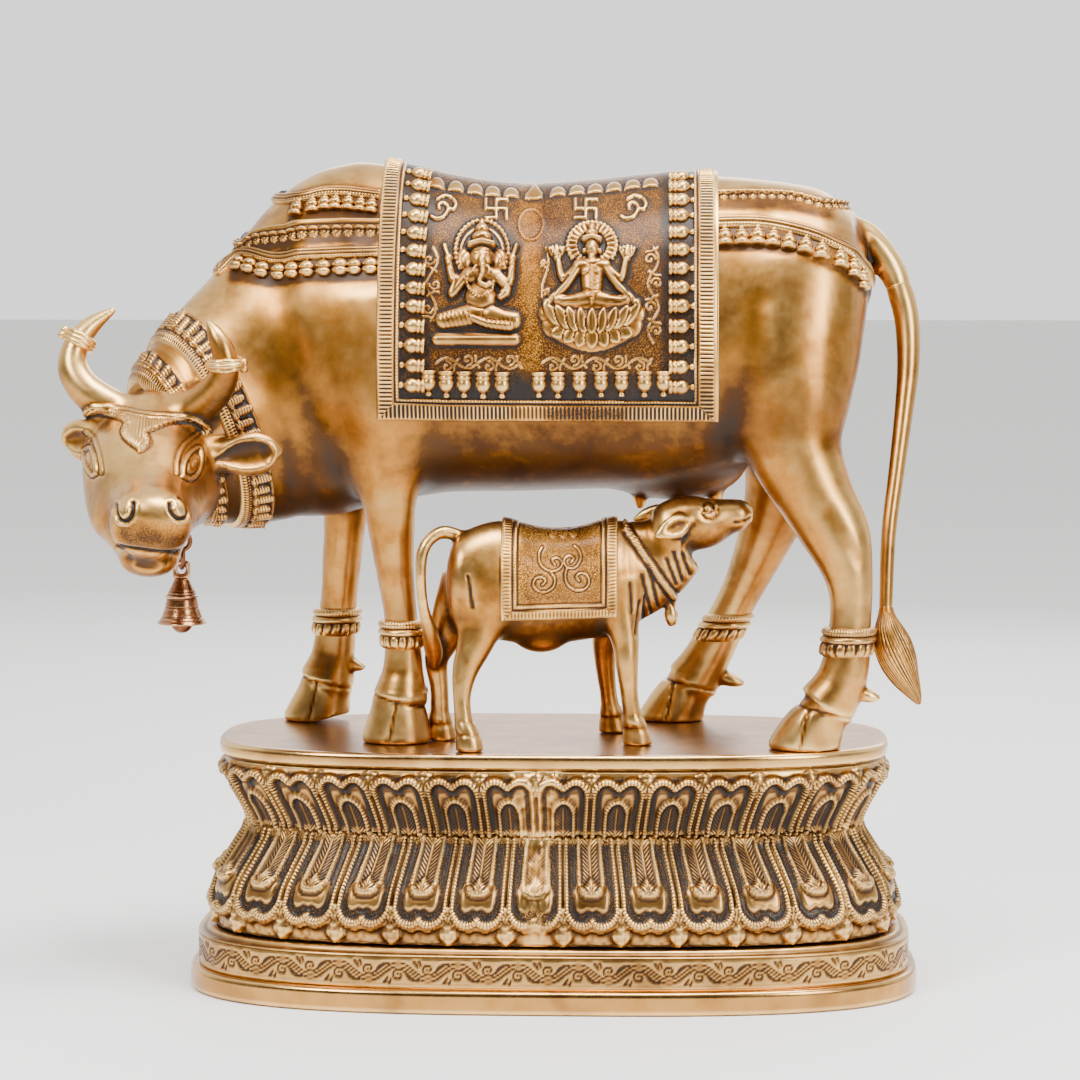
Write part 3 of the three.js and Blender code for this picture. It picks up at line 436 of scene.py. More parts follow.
@dataclass
class Shell:
    """A surface of four-sided faces, with points in millimetres."""

    points: Array
    quads: Array

    def plus(self, other: "Shell") -> "Shell":
        """This shell and another as one."""
        quads = np.concatenate([self.quads, other.quads + len(self.points)])
        return Shell(np.concatenate([self.points, other.points]), quads)

    def moved(self, by: Sequence) -> "Shell":
        """The shell moved by a distance along each axis."""
        return Shell(self.points + by, self.quads)

    def faced(self, outwards: bool) -> "Shell":
        """The shell itself, with its faces turned over where they don't look outwards yet."""
        if not outwards:
            self.quads = self.quads[:, ::-1]
        return self

    def edges(self) -> Array:
        """Pairs of neighbouring points."""
        q = self.quads
        pairs = np.concatenate([q[:, [0, 1]], q[:, [1, 2]], q[:, [2, 3]], q[:, [3, 0]]])
        return pairs[pairs[:, 0] != pairs[:, 1]]

    def mean_of_neighbours(self, values: Array, rounds: int) -> Array:
        """Values at the points, each brought towards its neighbours' mean a number of times."""
        a, b = self.edges().T
        count = np.maximum(
            np.bincount(a, minlength=len(self.points)) + np.bincount(b, minlength=len(self.points)), 1
        )
        out = values.astype(float)
        for _ in range(rounds):
            columns = out.reshape(len(out), -1)
            total = np.stack(
                [
                    np.bincount(a, columns[b, k], len(out)) + np.bincount(b, columns[a, k], len(out))
                    for k in range(columns.shape[1])
                ],
                axis=1,
            )
            out = mix(columns, total / count[:, None], 0.6).reshape(values.shape)
        return out

    def normals(self) -> Array:
        """The outward direction at each point."""
        p, q = self.points, self.quads
        face = np.cross(p[q[:, 2]] - p[q[:, 0]], p[q[:, 3]] - p[q[:, 1]])
        total = np.zeros_like(p)
        for k in range(3):
            for corner in range(4):
                total[:, k] += np.bincount(q[:, corner], face[:, k], len(p))
        return unit(total)

    def raised(self, height: Array) -> "Shell":
        """The shell with each point moved outwards by its height."""
        return self.moved(self.normals() * height[:, None])

    def relief(self, rounds: int, scale: float) -> Array:
        """How far each point stands proud of its surroundings, from 0 in a hollow to 1 on a ridge.

        Args:
            rounds: how wide the surroundings are, in rounds of averaging.
            scale: the height in millimetres that counts as a full ridge.

        Returns:
            One value for each point.
        """
        wide = self.mean_of_neighbours(self.points, rounds)
        stand = np.einsum("ij,ij->i", self.points - wide, self.normals())
        return np.clip(0.5 + 0.5 * stand / scale, 0, 1)

    def wear(self, level: float, share: float, rounds: int, scale: float) -> Array:
        """How brightly the points are rubbed, ridges more and hollows less: the base that painted light and
        shade are added to.

        Args:
            level: the wear of a level place, from 0 to 1.
            share: the difference between a full ridge and a full hollow.
            rounds: how wide the surroundings are, in rounds of averaging.
            scale: the height in millimetres that counts as a full ridge.

        Returns:
            One value for each point.
        """
        return level + share * (self.relief(rounds, scale) - 0.5)


@dataclass
class Marks:
    """What the chaser does to a surface: how far each point is raised, and what the finish draws there.

    Rib is the run of a row of fine cuts in millimetres, ribbed how strongly they show, stipple how
    strongly the ground is punched, and the last kind how much brighter than its height the point is worn,
    and in places painted with light or shade.
    """

    rise: Array
    rib: Array
    ribbed: Array
    stipple: Array
    rub_and_painted_light: Array

    def each(self, change: Callable[[Array], Array]) -> "Marks":
        """The marks with a change made to the array of each kind."""
        return Marks(*[change(a) for a in (self.rise, self.rib, self.ribbed, self.stipple, self.rub_and_painted_light)])

    @classmethod
    def blank(cls, shape: int | tuple) -> "Marks":
        """Marks that change nothing."""
        return cls(*[np.zeros(shape) for _ in range(5)])

    def cut(self, run: Array, strength: Array) -> None:
        """Lays a row of fine cuts where its strength is above what is there already."""
        stronger = strength > self.ribbed
        self.rib = np.where(stronger, run, self.rib)
        self.ribbed = np.maximum(self.ribbed, strength)

    def tiled(self, count: int) -> "Marks":
        """The marks repeated side by side."""
        return self.each(lambda a: np.tile(a, (1, count)))

    def flat(self) -> "Marks":
        """The marks as rows for the points of a shell."""
        return self.each(np.ravel)

    def padded(self, before: int, after: int) -> "Marks":
        """The marks with blank points before and after."""
        return self.each(lambda a: np.pad(a, (before, after)))


def sheet_quads(rows: int, columns: int, wrap_columns: bool = False) -> Array:
    """Faces of a grid of points given row by row.

    Args:
        rows: the number of rows of points.
        columns: the number of points in a row.
        wrap_columns: whether each row closes on itself.

    Returns:
        The faces as rows of four point numbers.
    """
    across = columns if wrap_columns else columns - 1
    i, j = np.meshgrid(np.arange(rows - 1), np.arange(across), indexing="ij")
    i, j = i.ravel(), j.ravel()
    k = (j + 1) % columns
    return np.stack(
        [i * columns + j, i * columns + k, (i + 1) * columns + k, (i + 1) * columns + j], axis=1
    )


def swept(rings: Array) -> Shell:
    """A shell through a row of closed rings, each end drawn in to its middle.

    Args:
        rings: rings by points by x, y, z.

    Returns:
        The shell, its faces pointing outwards.
    """
    middle = [np.repeat(ring.mean(0, keepdims=True), len(ring), 0) for ring in (rings[0], rings[-1])]
    rings = np.concatenate([middle[:1], rings, middle[1:]])
    count, sides = rings.shape[:2]
    shell = Shell(rings.reshape(-1, 3), sheet_quads(count, sides, wrap_columns=True))
    p, q = shell.points, shell.quads
    volume = 0.0
    for b, c in ((1, 2), (2, 3)):
        volume += np.einsum("ij,ij->i", p[q[:, 0]], np.cross(p[q[:, b]], p[q[:, c]])).sum()
    return shell.faced(volume >= 0)


def turned(profile: Sequence, sides: int) -> Shell:
    """A shell turned about Z from a profile of radius and height."""
    profile = np.array(profile, float)
    angle = np.linspace(0, TAU, sides, endpoint=False)
    ring = np.stack([np.cos(angle), np.sin(angle)], axis=1)
    rings = np.concatenate(
        [
            profile[:, None, :1] * ring[None],
            np.repeat(profile[:, 1][:, None, None], sides, 1),
        ],
        axis=2,
    )
    return swept(rings)


class Slot(Enum):
    """The record's material slots."""

    COW = "cow"
    CALF = "calf"
    PLINTH = "plinth"
    BELL = "bell"
    LINK = "link"


def mesh_of(
    name: str, shell: Shell, wear: Array | None = None, marks: Marks | None = None, foot: float = PLATE_TOP
) -> bpy.types.Mesh:
    """A Blender mesh of a shell.

    Args:
        name: the mesh's name.
        shell: the surface, in millimetres.
        wear: how bright each point is, from 0 to 1: rubbed metal, and in places painted light and shade.
        marks: what the finish draws on it.
        foot: the height of the shell's own ground above the floor.

    Returns:
        The mesh, in metres and smooth.
    """
    mesh = bpy.data.meshes.new(name)
    quads = shell.quads.astype(np.int32)
    flat = (quads[:, 0] == quads[:, 1]) | (quads[:, 2] == quads[:, 3])
    p = shell.points
    same01, same23 = (
        np.all(np.abs(p[quads[:, a]] - p[quads[:, b]]) < 1e-7, axis=1) for a, b in ((0, 1), (2, 3))
    )
    gone = same01 & same23
    tri01 = quads[(same01 | flat) & ~same23 & ~gone][:, [1, 2, 3]]
    tri23 = quads[same23 & ~same01 & ~gone][:, [0, 1, 2]]
    full = quads[~(same01 | same23 | flat | gone)]
    loops = np.concatenate([full.ravel(), tri01.ravel(), tri23.ravel()])
    sizes = np.concatenate([np.full(len(full), 4), np.full(len(tri01) + len(tri23), 3)]).astype(np.int32)
    starts = np.concatenate([[0], np.cumsum(sizes)[:-1]]).astype(np.int32)
    mesh.vertices.add(len(p))
    mesh.vertices.foreach_set("co", ((p + UP * foot) * MM).astype(np.float32).ravel())
    mesh.loops.add(len(loops))
    mesh.loops.foreach_set("vertex_index", loops.astype(np.int32))
    mesh.polygons.add(len(sizes))
    mesh.polygons.foreach_set("loop_start", starts)
    mesh.update(calc_edges=True)
    mesh.polygons.foreach_set("use_smooth", np.ones(len(sizes), bool))
    values = {"wear": wear}
    if marks is not None:
        values = {
            "wear": np.minimum(wear, 0.84) + marks.rub_and_painted_light, "rib": marks.rib, "ribbed": marks.ribbed,
            "stipple": marks.stipple
        }
    for key, value in values.items():
        if value is not None:
            mesh.attributes.new(key, "FLOAT", "POINT").data.foreach_set("value", value.astype(np.float32))
    mesh.validate()
    return mesh


def close_poles(mesh: bpy.types.Mesh) -> None:
    """Merges the points that lie on one another, as at the poles of a swept shell."""
    work = bmesh.new()
    work.from_mesh(mesh)
    bmesh.ops.remove_doubles(work, verts=work.verts, dist=1e-7)
    work.to_mesh(mesh)
    work.free()


def add_piece(name: str, mesh: bpy.types.Mesh, finish: bpy.types.Material, slot: Slot, *nodes: str) -> None:
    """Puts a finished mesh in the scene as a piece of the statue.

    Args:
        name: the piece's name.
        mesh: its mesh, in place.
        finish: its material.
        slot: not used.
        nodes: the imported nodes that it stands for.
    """
    close_poles(mesh)
    piece = bpy.data.objects.new(name, mesh)
    bpy.context.scene.collection.objects.link(piece)
    mesh.materials.clear()
    mesh.materials.append(finish)
    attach(piece, "root")
    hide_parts(*nodes)
    log.info("%s: %d faces", name, len(mesh.polygons))


def add_shell(name: str, shell: Shell, wear: Array, finish: bpy.types.Material, marks: Marks | None = None,
              slot: Slot = Slot.COW, node: str = "cow") -> None:
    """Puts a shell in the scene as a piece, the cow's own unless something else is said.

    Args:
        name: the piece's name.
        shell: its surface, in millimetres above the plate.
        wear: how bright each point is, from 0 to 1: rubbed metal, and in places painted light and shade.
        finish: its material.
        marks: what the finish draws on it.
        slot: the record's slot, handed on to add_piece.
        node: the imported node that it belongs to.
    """
    add_piece(name, mesh_of(name, shell, wear, marks), finish, slot, node)


# Finishes


def linear(colour: str) -> tuple[float, float, float, float]:
    """A colour written as #rrggbb, turned to linear light."""
    values = [int(colour[i : i + 2], 16) / 255 for i in (1, 3, 5)]
    return (*[v / 12.92 if v <= 0.04045 else ((v + 0.055) / 1.055) ** 2.4 for v in values], 1.0)


def add_node(
    tree: bpy.types.NodeTree, kind: str, settings: dict | None = None, **links: object
) -> bpy.types.Node:
    """Adds a node to a tree.

    Args:
        tree: the tree.
        kind: the node's type.
        settings: values for the node's own properties, and for inputs given by number.
        links: for inputs, by name with underscores for spaces: a socket to link or a value.

    Returns:
        The node.
    """
    node = tree.nodes.new(kind)
    for key, value in (settings or {}).items():
        if isinstance(key, int):
            if isinstance(value, bpy.types.NodeSocket):
                tree.links.new(value, node.inputs[key])
            else:
                node.inputs[key].default_value = value
        else:
            setattr(node, key, value)
    for key, value in links.items():
        target = node.inputs[key.replace("_", " ")]
        if isinstance(value, bpy.types.NodeSocket):
            tree.links.new(value, target)
        else:
            target.default_value = value
    return node


def maths(tree: bpy.types.NodeTree, operation: str, *values: object) -> bpy.types.NodeSocket:
    """The result of an operation on sockets and plain numbers."""
    return add_node(tree, "ShaderNodeMath", {"operation": operation, **dict(enumerate(values))}).outputs[0]


def attribute(tree: bpy.types.NodeTree, name: str) -> bpy.types.NodeSocket:
    """The value that the mesh carries under a name."""
    return add_node(tree, "ShaderNodeAttribute", {"attribute_name": name}).outputs["Fac"]


def noise(
    tree: bpy.types.NodeTree, where: bpy.types.NodeSocket, size_mm: float, detail: float,
    roughness: float, distortion: float = 0.0
) -> bpy.types.NodeSocket:
    """Cloudy noise.

    Args:
        tree: the material's nodes.
        where: the place on the piece.
        size_mm: the size of one cloud.
        detail: how many finer layers it has.
        roughness: how strong the finer layers are.
        distortion: how far the clouds are drawn out.

    Returns:
        A value from 0 to 1.
    """
    return add_node(tree, "ShaderNodeTexNoise", Vector=where, Scale=1 / (size_mm * MM), Detail=detail,
                    Roughness=roughness, Distortion=distortion).outputs["Fac"]


def ranged(
    tree: bpy.types.NodeTree, value: bpy.types.NodeSocket, low: float, high: float, to_low: float = 0.0,
    to_high: float = 1.0, kind: str = "LINEAR"
) -> bpy.types.NodeSocket:
    """A value taken from one range to another and held within it.

    Args:
        tree: the material's nodes.
        value: the value.
        low: the value that gives to_low.
        high: the value that gives to_high.
        to_low: the new range's first end.
        to_high: the new range's other end.
        kind: the way from one end to the other.

    Returns:
        The new value.
    """
    return add_node(tree, "ShaderNodeMapRange", {"interpolation_type": kind}, Value=value, From_Min=low,
                    From_Max=high, To_Min=to_low, To_Max=to_high).outputs[0]


def set_ramp(node: bpy.types.Node, stops: Sequence) -> None:
    """Sets a colour ramp's stops, each a place and a hex colour."""
    ramp = node.color_ramp
    while len(ramp.elements) > 1:
        ramp.elements.remove(ramp.elements[-1])
    ramp.elements[0].position = stops[0][0]
    ramp.elements[0].color = linear(stops[0][1])
    for place, colour in stops[1:]:
        ramp.elements.new(place).color = linear(colour)


@dataclass(frozen=True)
class CastBrass:
    """Cast brass, lacquered brown with age: dark wax lies in the hollows and ridges are rubbed bright.

    The eye sees a warm mirror on the smooth swells, cloudy brown patches some centimetres wide,
    and nearly black lines where the chasing tool went.
    """

    name: str
    hollow: str = "#170e08"
    shade: str = "#573613"
    body: str = "#b0742a"
    bright: str = "#edc276"
    patch: str = "#8a6028"
    gloss: float = 0.31
    dull: float = 0.58
    cloud_mm: float = 55.0
    grain_mm: float = 1.6
    grain: float = 0.10
    rib_mm: float = 2.4
    cut: float = 0.17
    lacquer: float = 0.18
    chased: bool = False

    def make(self) -> bpy.types.Material:
        """Builds the material's nodes."""
        material = bpy.data.materials.new(self.name)
        material.use_nodes = True
        tree = material.node_tree
        tree.nodes.clear()
        where = add_node(tree, "ShaderNodeTexCoord").outputs["Object"]
        # The mesh's level of wear, which on some pieces also carries painted light and painted shade.
        worn = attribute(tree, "wear")
        cloud = noise(tree, where, self.cloud_mm, 3.0, 0.55, 0.6)
        grain = noise(tree, where, self.grain_mm, 3.0, 0.6)
        smear = noise(tree, where, self.cloud_mm * 0.22, 4.0, 0.65)
        uneven = maths(tree, "MULTIPLY_ADD", smear, 0.22, -0.11)
        level = maths(tree, "ADD", worn, uneven)
        relief = grain
        if self.chased:
            level, relief = self.chasing(tree, where, level, grain)
        ramp = add_node(tree, "ShaderNodeValToRGB", Fac=level)
        set_ramp(ramp, [(0.10, self.hollow), (0.34, self.shade), (0.52, self.body), (0.86, self.bright)])
        patchy = ranged(tree, cloud, 0.46, 0.68, kind="SMOOTHSTEP")
        shaded = add_node(
            tree, "ShaderNodeMix",
            {"data_type": "RGBA", "blend_type": "MULTIPLY", 6: ramp.outputs[0], 7: linear(self.patch)}
        )
        strength = maths(tree, "MULTIPLY", patchy, 0.5)
        tree.links.new(strength, shaded.inputs[0])
        rough = ranged(tree, level, 0.2, 0.55, self.dull, self.gloss)
        rough = maths(tree, "MULTIPLY_ADD", smear, 0.16, rough)
        rough = maths(tree, "SUBTRACT", rough, 0.08)
        metal = ranged(tree, level, 0.12, 0.34, 0.55, 1.0)
        strength = 0.55 if self.chased else self.grain
        bump = add_node(
            tree, "ShaderNodeBump", Height=relief, Strength=strength, Distance=0.3 * MM
        ).outputs[0]
        shader = add_node(
            tree,
            "ShaderNodeBsdfPrincipled",
            Base_Color=shaded.outputs[2],
            Metallic=metal,
            Roughness=rough,
            Normal=bump,
            Coat_Weight=self.lacquer,
            Coat_Roughness=0.22,
        ).outputs[0]
        add_node(tree, "ShaderNodeOutputMaterial", Surface=shader)
        return material

    def chasing(self, tree: bpy.types.NodeTree, where: bpy.types.NodeSocket, level: bpy.types.NodeSocket,
                grain: bpy.types.NodeSocket) -> tuple[bpy.types.NodeSocket, bpy.types.NodeSocket]:
        """Draws the fine cuts and the punched ground that the mesh's attributes ask for.

        Args:
            tree: the material's nodes.
            where: the place on the piece.
            level: how worn the surface is, from 0 to 1.
            grain: the height of the fine grain.

        Returns:
            The wear with the cuts and dots darkened, and the height with them sunk.
        """
        run = attribute(tree, "rib")
        ribbed = attribute(tree, "ribbed")
        stipple = attribute(tree, "stipple")
        turn = maths(tree, "MULTIPLY", run, TAU / self.rib_mm)
        wave = maths(tree, "SINE", turn)
        cuts = maths(tree, "MULTIPLY", wave, ribbed)
        cells = add_node(
            tree, "ShaderNodeTexVoronoi", Vector=where, Scale=1 / (1.05 * MM)
        ).outputs["Distance"]
        dots = ranged(tree, cells, 0.15, 0.55, 1.0, -1.0)
        dots = maths(tree, "MULTIPLY", dots, stipple)
        drawn = maths(tree, "ADD", cuts, dots)
        level = maths(tree, "MULTIPLY_ADD", drawn, self.cut, level)
        relief = maths(tree, "MULTIPLY_ADD", grain, 0.18, drawn)
        return level, relief


# The cow


# Barrel stations: x, top, bottom, half width, narrowing towards the back.
BARREL = [
    [-206, 376, 215, 44, 0.1], [-196, 412, 178, 58, 0.12], [-180, 431, 170, 64, 0.14],
    [-155, 437, 172, 69, 0.16], [-117, 434, 180, 77, 0.18], [-79, 425, 186, 81, 0.18],
    [-26, 418, 187, 84, 0.16], [35, 421, 189, 87, 0.15], [81, 426, 190, 86, 0.15],
    [127, 426, 200, 84, 0.15], [171, 422, 222, 82, 0.15], [202, 416, 252, 73, 0.12],
    [224, 401, 288, 57, 0.08], [236, 374, 316, 32, 0.04], [239, 352, 336, 12, 0],
]

# Neck stations: the crest's x, y, z, the throat's x, y, z, and the half width.
NECK = [
    [-160, 0, 424, -160, 0, 176, 58], [-197, 0, 421, -190, 0, 169, 61], [-216, -2, 405, -206, -9, 165, 58],
    [-233, -8, 381, -224, -21, 163, 55], [-256, -20, 352, -241, -36, 164, 51],
    [-279, -36, 326, -255, -50, 166, 47], [-300, -53, 297, -267, -62, 172, 42],
    [-310, -66, 272, -276, -74, 184, 34],
]

# Limb stations: x, y, z, fore-and-aft radius, sideways radius.
HEAD = [
    [-297, -46, 229, 25, 30], [-298, -58, 226, 31, 40], [-298.5, -80, 220, 37, 42.5],
    [-297.5, -102, 212, 36, 42.5], [-293, -125, 200, 31, 36], [-287, -148, 189, 25, 28],
    [-283, -167, 181, 25, 27.5], [-281, -184, 175, 25, 29.5], [-280, -193, 171, 19.5, 25],
    [-280, -198, 168, 9, 13],
]
JAW = [
    [-297, -62, 214, 26, 38], [-298, -86, 199, 32, 41], [-297, -108, 184, 29, 42],
    [-294.5, -120, 175, 27, 40], [-292, -130, 167, 22, 33], [-288, -149, 154, 16, 24],
    [-286, -163, 146, 12, 20], [-286, -172, 144, 5, 10],
]
LEFT_HORN = [
    [-298, -76, 247.5, 13, 13], [-318, -79, 250, 14, 13.5], [-334, -81, 258, 14, 13.5],
    [-348, -80, 270, 12.5, 12.5], [-355, -77, 283, 11.5, 11.5], [-354.5, -74, 296, 9.8, 9.8],
    [-348, -71, 308, 8.6, 8.6], [-339, -68, 317, 6.4, 6.4], [-325, -66, 326.5, 2, 2],
]
RIGHT_HORN = [
    [-298, -76, 247.5, 13, 13], [-284, -80, 248.5, 13.5, 13], [-268, -86, 252.5, 14, 13.5],
    [-254, -92, 260, 13.5, 13], [-243, -98, 271, 12, 12], [-238, -102, 283, 10.2, 10.2],
    [-239, -103.5, 296, 8.8, 8.8], [-244.5, -103, 308, 6.6, 6.6], [-251, -101, 318.5, 2, 2],
]
NEAR_EAR = [
    [-264, -85, 216, 10, 8], [-251, -87, 217, 11.3, 8], [-240, -87.5, 218, 12.5, 7.5],
    [-228, -86.5, 219, 15.5, 7], [-216, -84, 220, 16, 6.5], [-206, -81, 221.5, 11, 5],
    [-199, -79, 222, 2.5, 2],
]
FAR_EAR = [
    [-330, -86, 229, 8, 7], [-341, -85, 230, 12.5, 7], [-350, -81, 230, 15, 6.5], [-358, -76, 229, 12, 5],
    [-363, -72, 227, 4, 2.5],
]
NEAR_HOLLOW = [
    [-247, -97, 216, 1.5, 3], [-239, -99, 217.2, 7.5, 9.5], [-228, -99.5, 219, 12.8, 12.5],
    [-215, -97, 220, 13.6, 12.5], [-206.5, -92, 221, 10.5, 10], [-201.5, -88, 222, 4, 4],
]
FAR_HOLLOW = [
    [-343, -97, 229, 4, 6], [-350, -94, 229.5, 10.5, 9], [-357, -87, 229, 9, 8], [-363, -80, 228, 4, 4]
]

# Ropes round the horns: the middle, the way through it, the radius, the distance between strands,
# and the share of that distance where they draw together.
HORN_ROPES = (
    ((-350.5, -72.2, 303.5), (0.47, 0.17, 0.86), 9.2, 3.3, 0.75),
    ((-237.6, -102.8, 286.5), (-0.04, -0.1, 0.99), 9.6, 3.3, 0.2),
)

# Limb stations again.
TAIL = [
    [198, 0, 384, 18, 18], [220, 0, 385, 13, 13], [236, -1, 381, 11, 11], [250, -3, 366, 10.5, 10.5],
    [260, -5, 347, 10, 10], [267, -11, 320, 9.5, 9.5], [268, -20, 285, 8.5, 8.5], [264, -31, 248, 7, 7],
    [258, -43, 203, 6, 6], [252, -54, 158, 5.5, 5.5], [250, -62, 108, 5, 5],
    [250, -62.5, 96, 5, 5],
]
TAIL_TUFT = [
    [250, -62, 106, 5, 5], [250.5, -63.5, 98, 7, 6.5], [252, -65.5, 89, 11, 9.2],
    [255, -67, 78, 14, 11.2], [259, -68, 66, 13.8, 11], [264, -68, 54, 10.8, 8.6],
    [270, -68, 43, 6.5, 5.5], [274, -68, 35.5, 3, 3], [275.5, -68, 33, 1, 1],
]
UDDER = Lump((95, 6, 206), (50, 30, 26))
TEATS = ((66, 2), (96, -6), (124, 2))
COLLAR_PLANE = (np.array([-265.0, -40.0, 238.0]), unit(np.array([0.737, 0.581, 0.344])))


@dataclass(frozen=True)
class LegShape:
    """One leg: its shank, its hoof, where its anklet sits and where its dewclaws point."""

    shank: tuple
    hoof: tuple
    anklet: tuple
    claw: tuple
    heel: float = 0.0


COW_LEGS = {
    "near_front": LegShape(
        (
            (-127, -36, 330, 38, 28), (-124, -44, 275, 37, 27), (-122, -48, 244, 30, 26),
            (-123, -50, 206, 23, 20), (-121, -50, 169, 18.5, 17), (-118, -49, 131, 14.5, 14),
            (-114, -47, 97, 12.5, 12.5), (-112, -47, 62, 14.5, 14), (-114, -48, 36, 18, 16)
        ),
        (
            (-114, -48, 44, 12, 11.5), (-115.5, -48, 33, 18.5, 17), (-116, -48, 24, 21.5, 19),
            (-117, -48, 6, 26, 21), (-117, -48, 0, 25.5, 20.5)
        ),
        (-113, -47, 82, 16.5), (-92, -49, 40),
    ),
    "far_front": LegShape(
        (
            (-150, 34, 311, 36, 26), (-155, 42, 262, 33, 26), (-160, 50, 222, 26, 22),
            (-166, 60, 160, 17, 16), (-169, 64, 128, 15.5, 15), (-172, 67, 96, 14.5, 14),
            (-177, 69, 52, 17, 15), (-182, 70, 34, 19, 17)
        ),
        (
            (-180, 70, 45, 12, 11.5), (-182.5, 70, 35, 18, 17), (-185, 70, 24, 21.5, 19),
            (-190, 70, 6, 26, 21), (-190, 70, 0, 25.5, 20.5)
        ),
        (-174, 68, 79, 18), (-151, 69, 43), 5.5,
    ),
    "near_hind": LegShape(
        (
            (186, -30, 350, 44, 36), (187, -42, 305, 45, 37), (182, -51, 264, 42, 37),
            (181, -58, 226, 36, 31), (196, -65, 190, 29, 24), (213, -71, 158, 25, 19),
            (222, -74, 126, 17.5, 15.5), (223, -75, 96, 15.5, 14.5), (218, -76, 56, 18.5, 17),
            (206, -76, 34, 21, 18)
        ),
        (
            (208, -75, 42, 13, 12), (202, -74, 32, 19.5, 17), (197, -74, 23, 23.5, 19),
            (190, -73, 6, 27, 20.5), (190, -73, 0, 26.5, 20)
        ),
        (219, -75, 81, 20.5), (246, -76, 40),
    ),
    "far_hind": LegShape(
        (
            (182, 34, 330, 42, 34), (184, 44, 280, 46, 35), (182, 52, 230, 38, 31),
            (176, 60, 184, 29, 23), (164, 66, 147, 22, 19), (150, 71, 113, 17, 16),
            (138, 74, 88, 15.5, 15), (121, 77, 54, 18, 16.5), (108, 79, 32, 20, 17)
        ),
        (
            (111, 79, 42, 13, 12), (104, 80, 32, 19.5, 17), (99, 80, 23, 23, 19), (91, 80, 6, 26, 20.5),
            (91, 80, 0, 25.5, 20)
        ),
        (134, 75, 75, 19), (149, 78, 31),
    ),
}


@dataclass(frozen=True)
class Barrel:
    """The trunk as upright rings along X."""

    stations: Sequence

    def rings(self, x: Array) -> Array:
        """The ring's numbers at each x."""
        table = np.array(self.stations, float)
        places = np.interp(x, table[:, 0], np.arange(len(table)))
        return spline(table, places)

    def distance(self, p: Array) -> Array:
        """How far each point lies outside the trunk."""
        table = np.array(self.stations, float)
        row = self.rings(np.clip(p[:, 0], table[0, 0], table[-1, 0]))
        tall, middle = (row[:, 1] - row[:, 2]) / 2, (row[:, 1] + row[:, 2]) / 2
        z = (p[:, 2] - middle) / tall
        wide = row[:, 3] * (1 - row[:, 4] * np.clip(z, -1, 1))
        y = p[:, 1] / wide
        k0 = np.hypot(y, z) + 1e-6
        d = k0 * (k0 - 1) / (np.hypot(y / wide, z / tall) + 1e-9)
        beyond = np.maximum(np.maximum(table[0, 0] - p[:, 0], p[:, 0] - table[-1, 0]), 0)
        return np.where(beyond > 0, np.hypot(np.maximum(d, 0), beyond), np.maximum(d, -FAR_OUT))

    def box(self, margin: float) -> tuple[Array, Array]:
        """The lowest and highest corner of the trunk, with a margin."""
        t = np.array(self.stations, float)
        half = t[:, 3].max() * 1.2 + margin
        return (
            np.array([t[0, 0] - margin, -half, t[:, 2].min() - margin]),
            np.array([t[-1, 0] + margin, half, t[:, 1].max() + margin]),
        )


def neck_tube() -> Tube:
    """The neck as leaning rings from the withers to the poll."""
    rows = curve(NECK, 4)
    crest, throat = rows[:, :3], rows[:, 3:6]
    middle = (crest + throat) / 2
    up = crest - middle
    across = unit(np.cross(np.gradient(middle, axis=0), up))
    tall = np.linalg.norm(up, axis=1, keepdims=True)
    return Tube(middle, unit(up) * tall, across * rows[:, 6:7])


def hoof_tube(rows: Sequence) -> Tube:
    """A hoof as level rings standing on one another."""
    t = spline(np.array(rows, float), np.linspace(0, len(rows) - 1, 13))
    t[-1, 2] = 0
    return Tube(t[:, :3], t[:, 3:4] * np.array([[1, 0, 0]]), t[:, 4:5] * np.array([[0, 1, 0]]))


def beyond_collar(side: int) -> Callable[[Array], Array]:
    """A field that keeps one side of the collar's plane: 1 the body's, -1 the head's."""
    place, facing = COLLAR_PLANE

    def field_of(p: Array) -> Array:
        """How far each point lies on the side that goes."""
        return -side * ((p - place) @ facing)

    return field_of


def seen(points: Array, depth: float) -> tuple[Array, Array]:
    """Where the lines of sight to points cross an upright plane, so chasing can be set out as seen.

    Args:
        points: points, in millimetres above the plate.
        depth: the plane's Y.

    Returns:
        The X and the height at which each line crosses the plane.
    """
    t = (depth - SIGHT[1]) / (points[:, 1] - SIGHT[1])
    cross = SIGHT + (points - SIGHT) * t[:, None]
    return cross[:, 0], cross[:, 2]


# Trappings laid on the cow


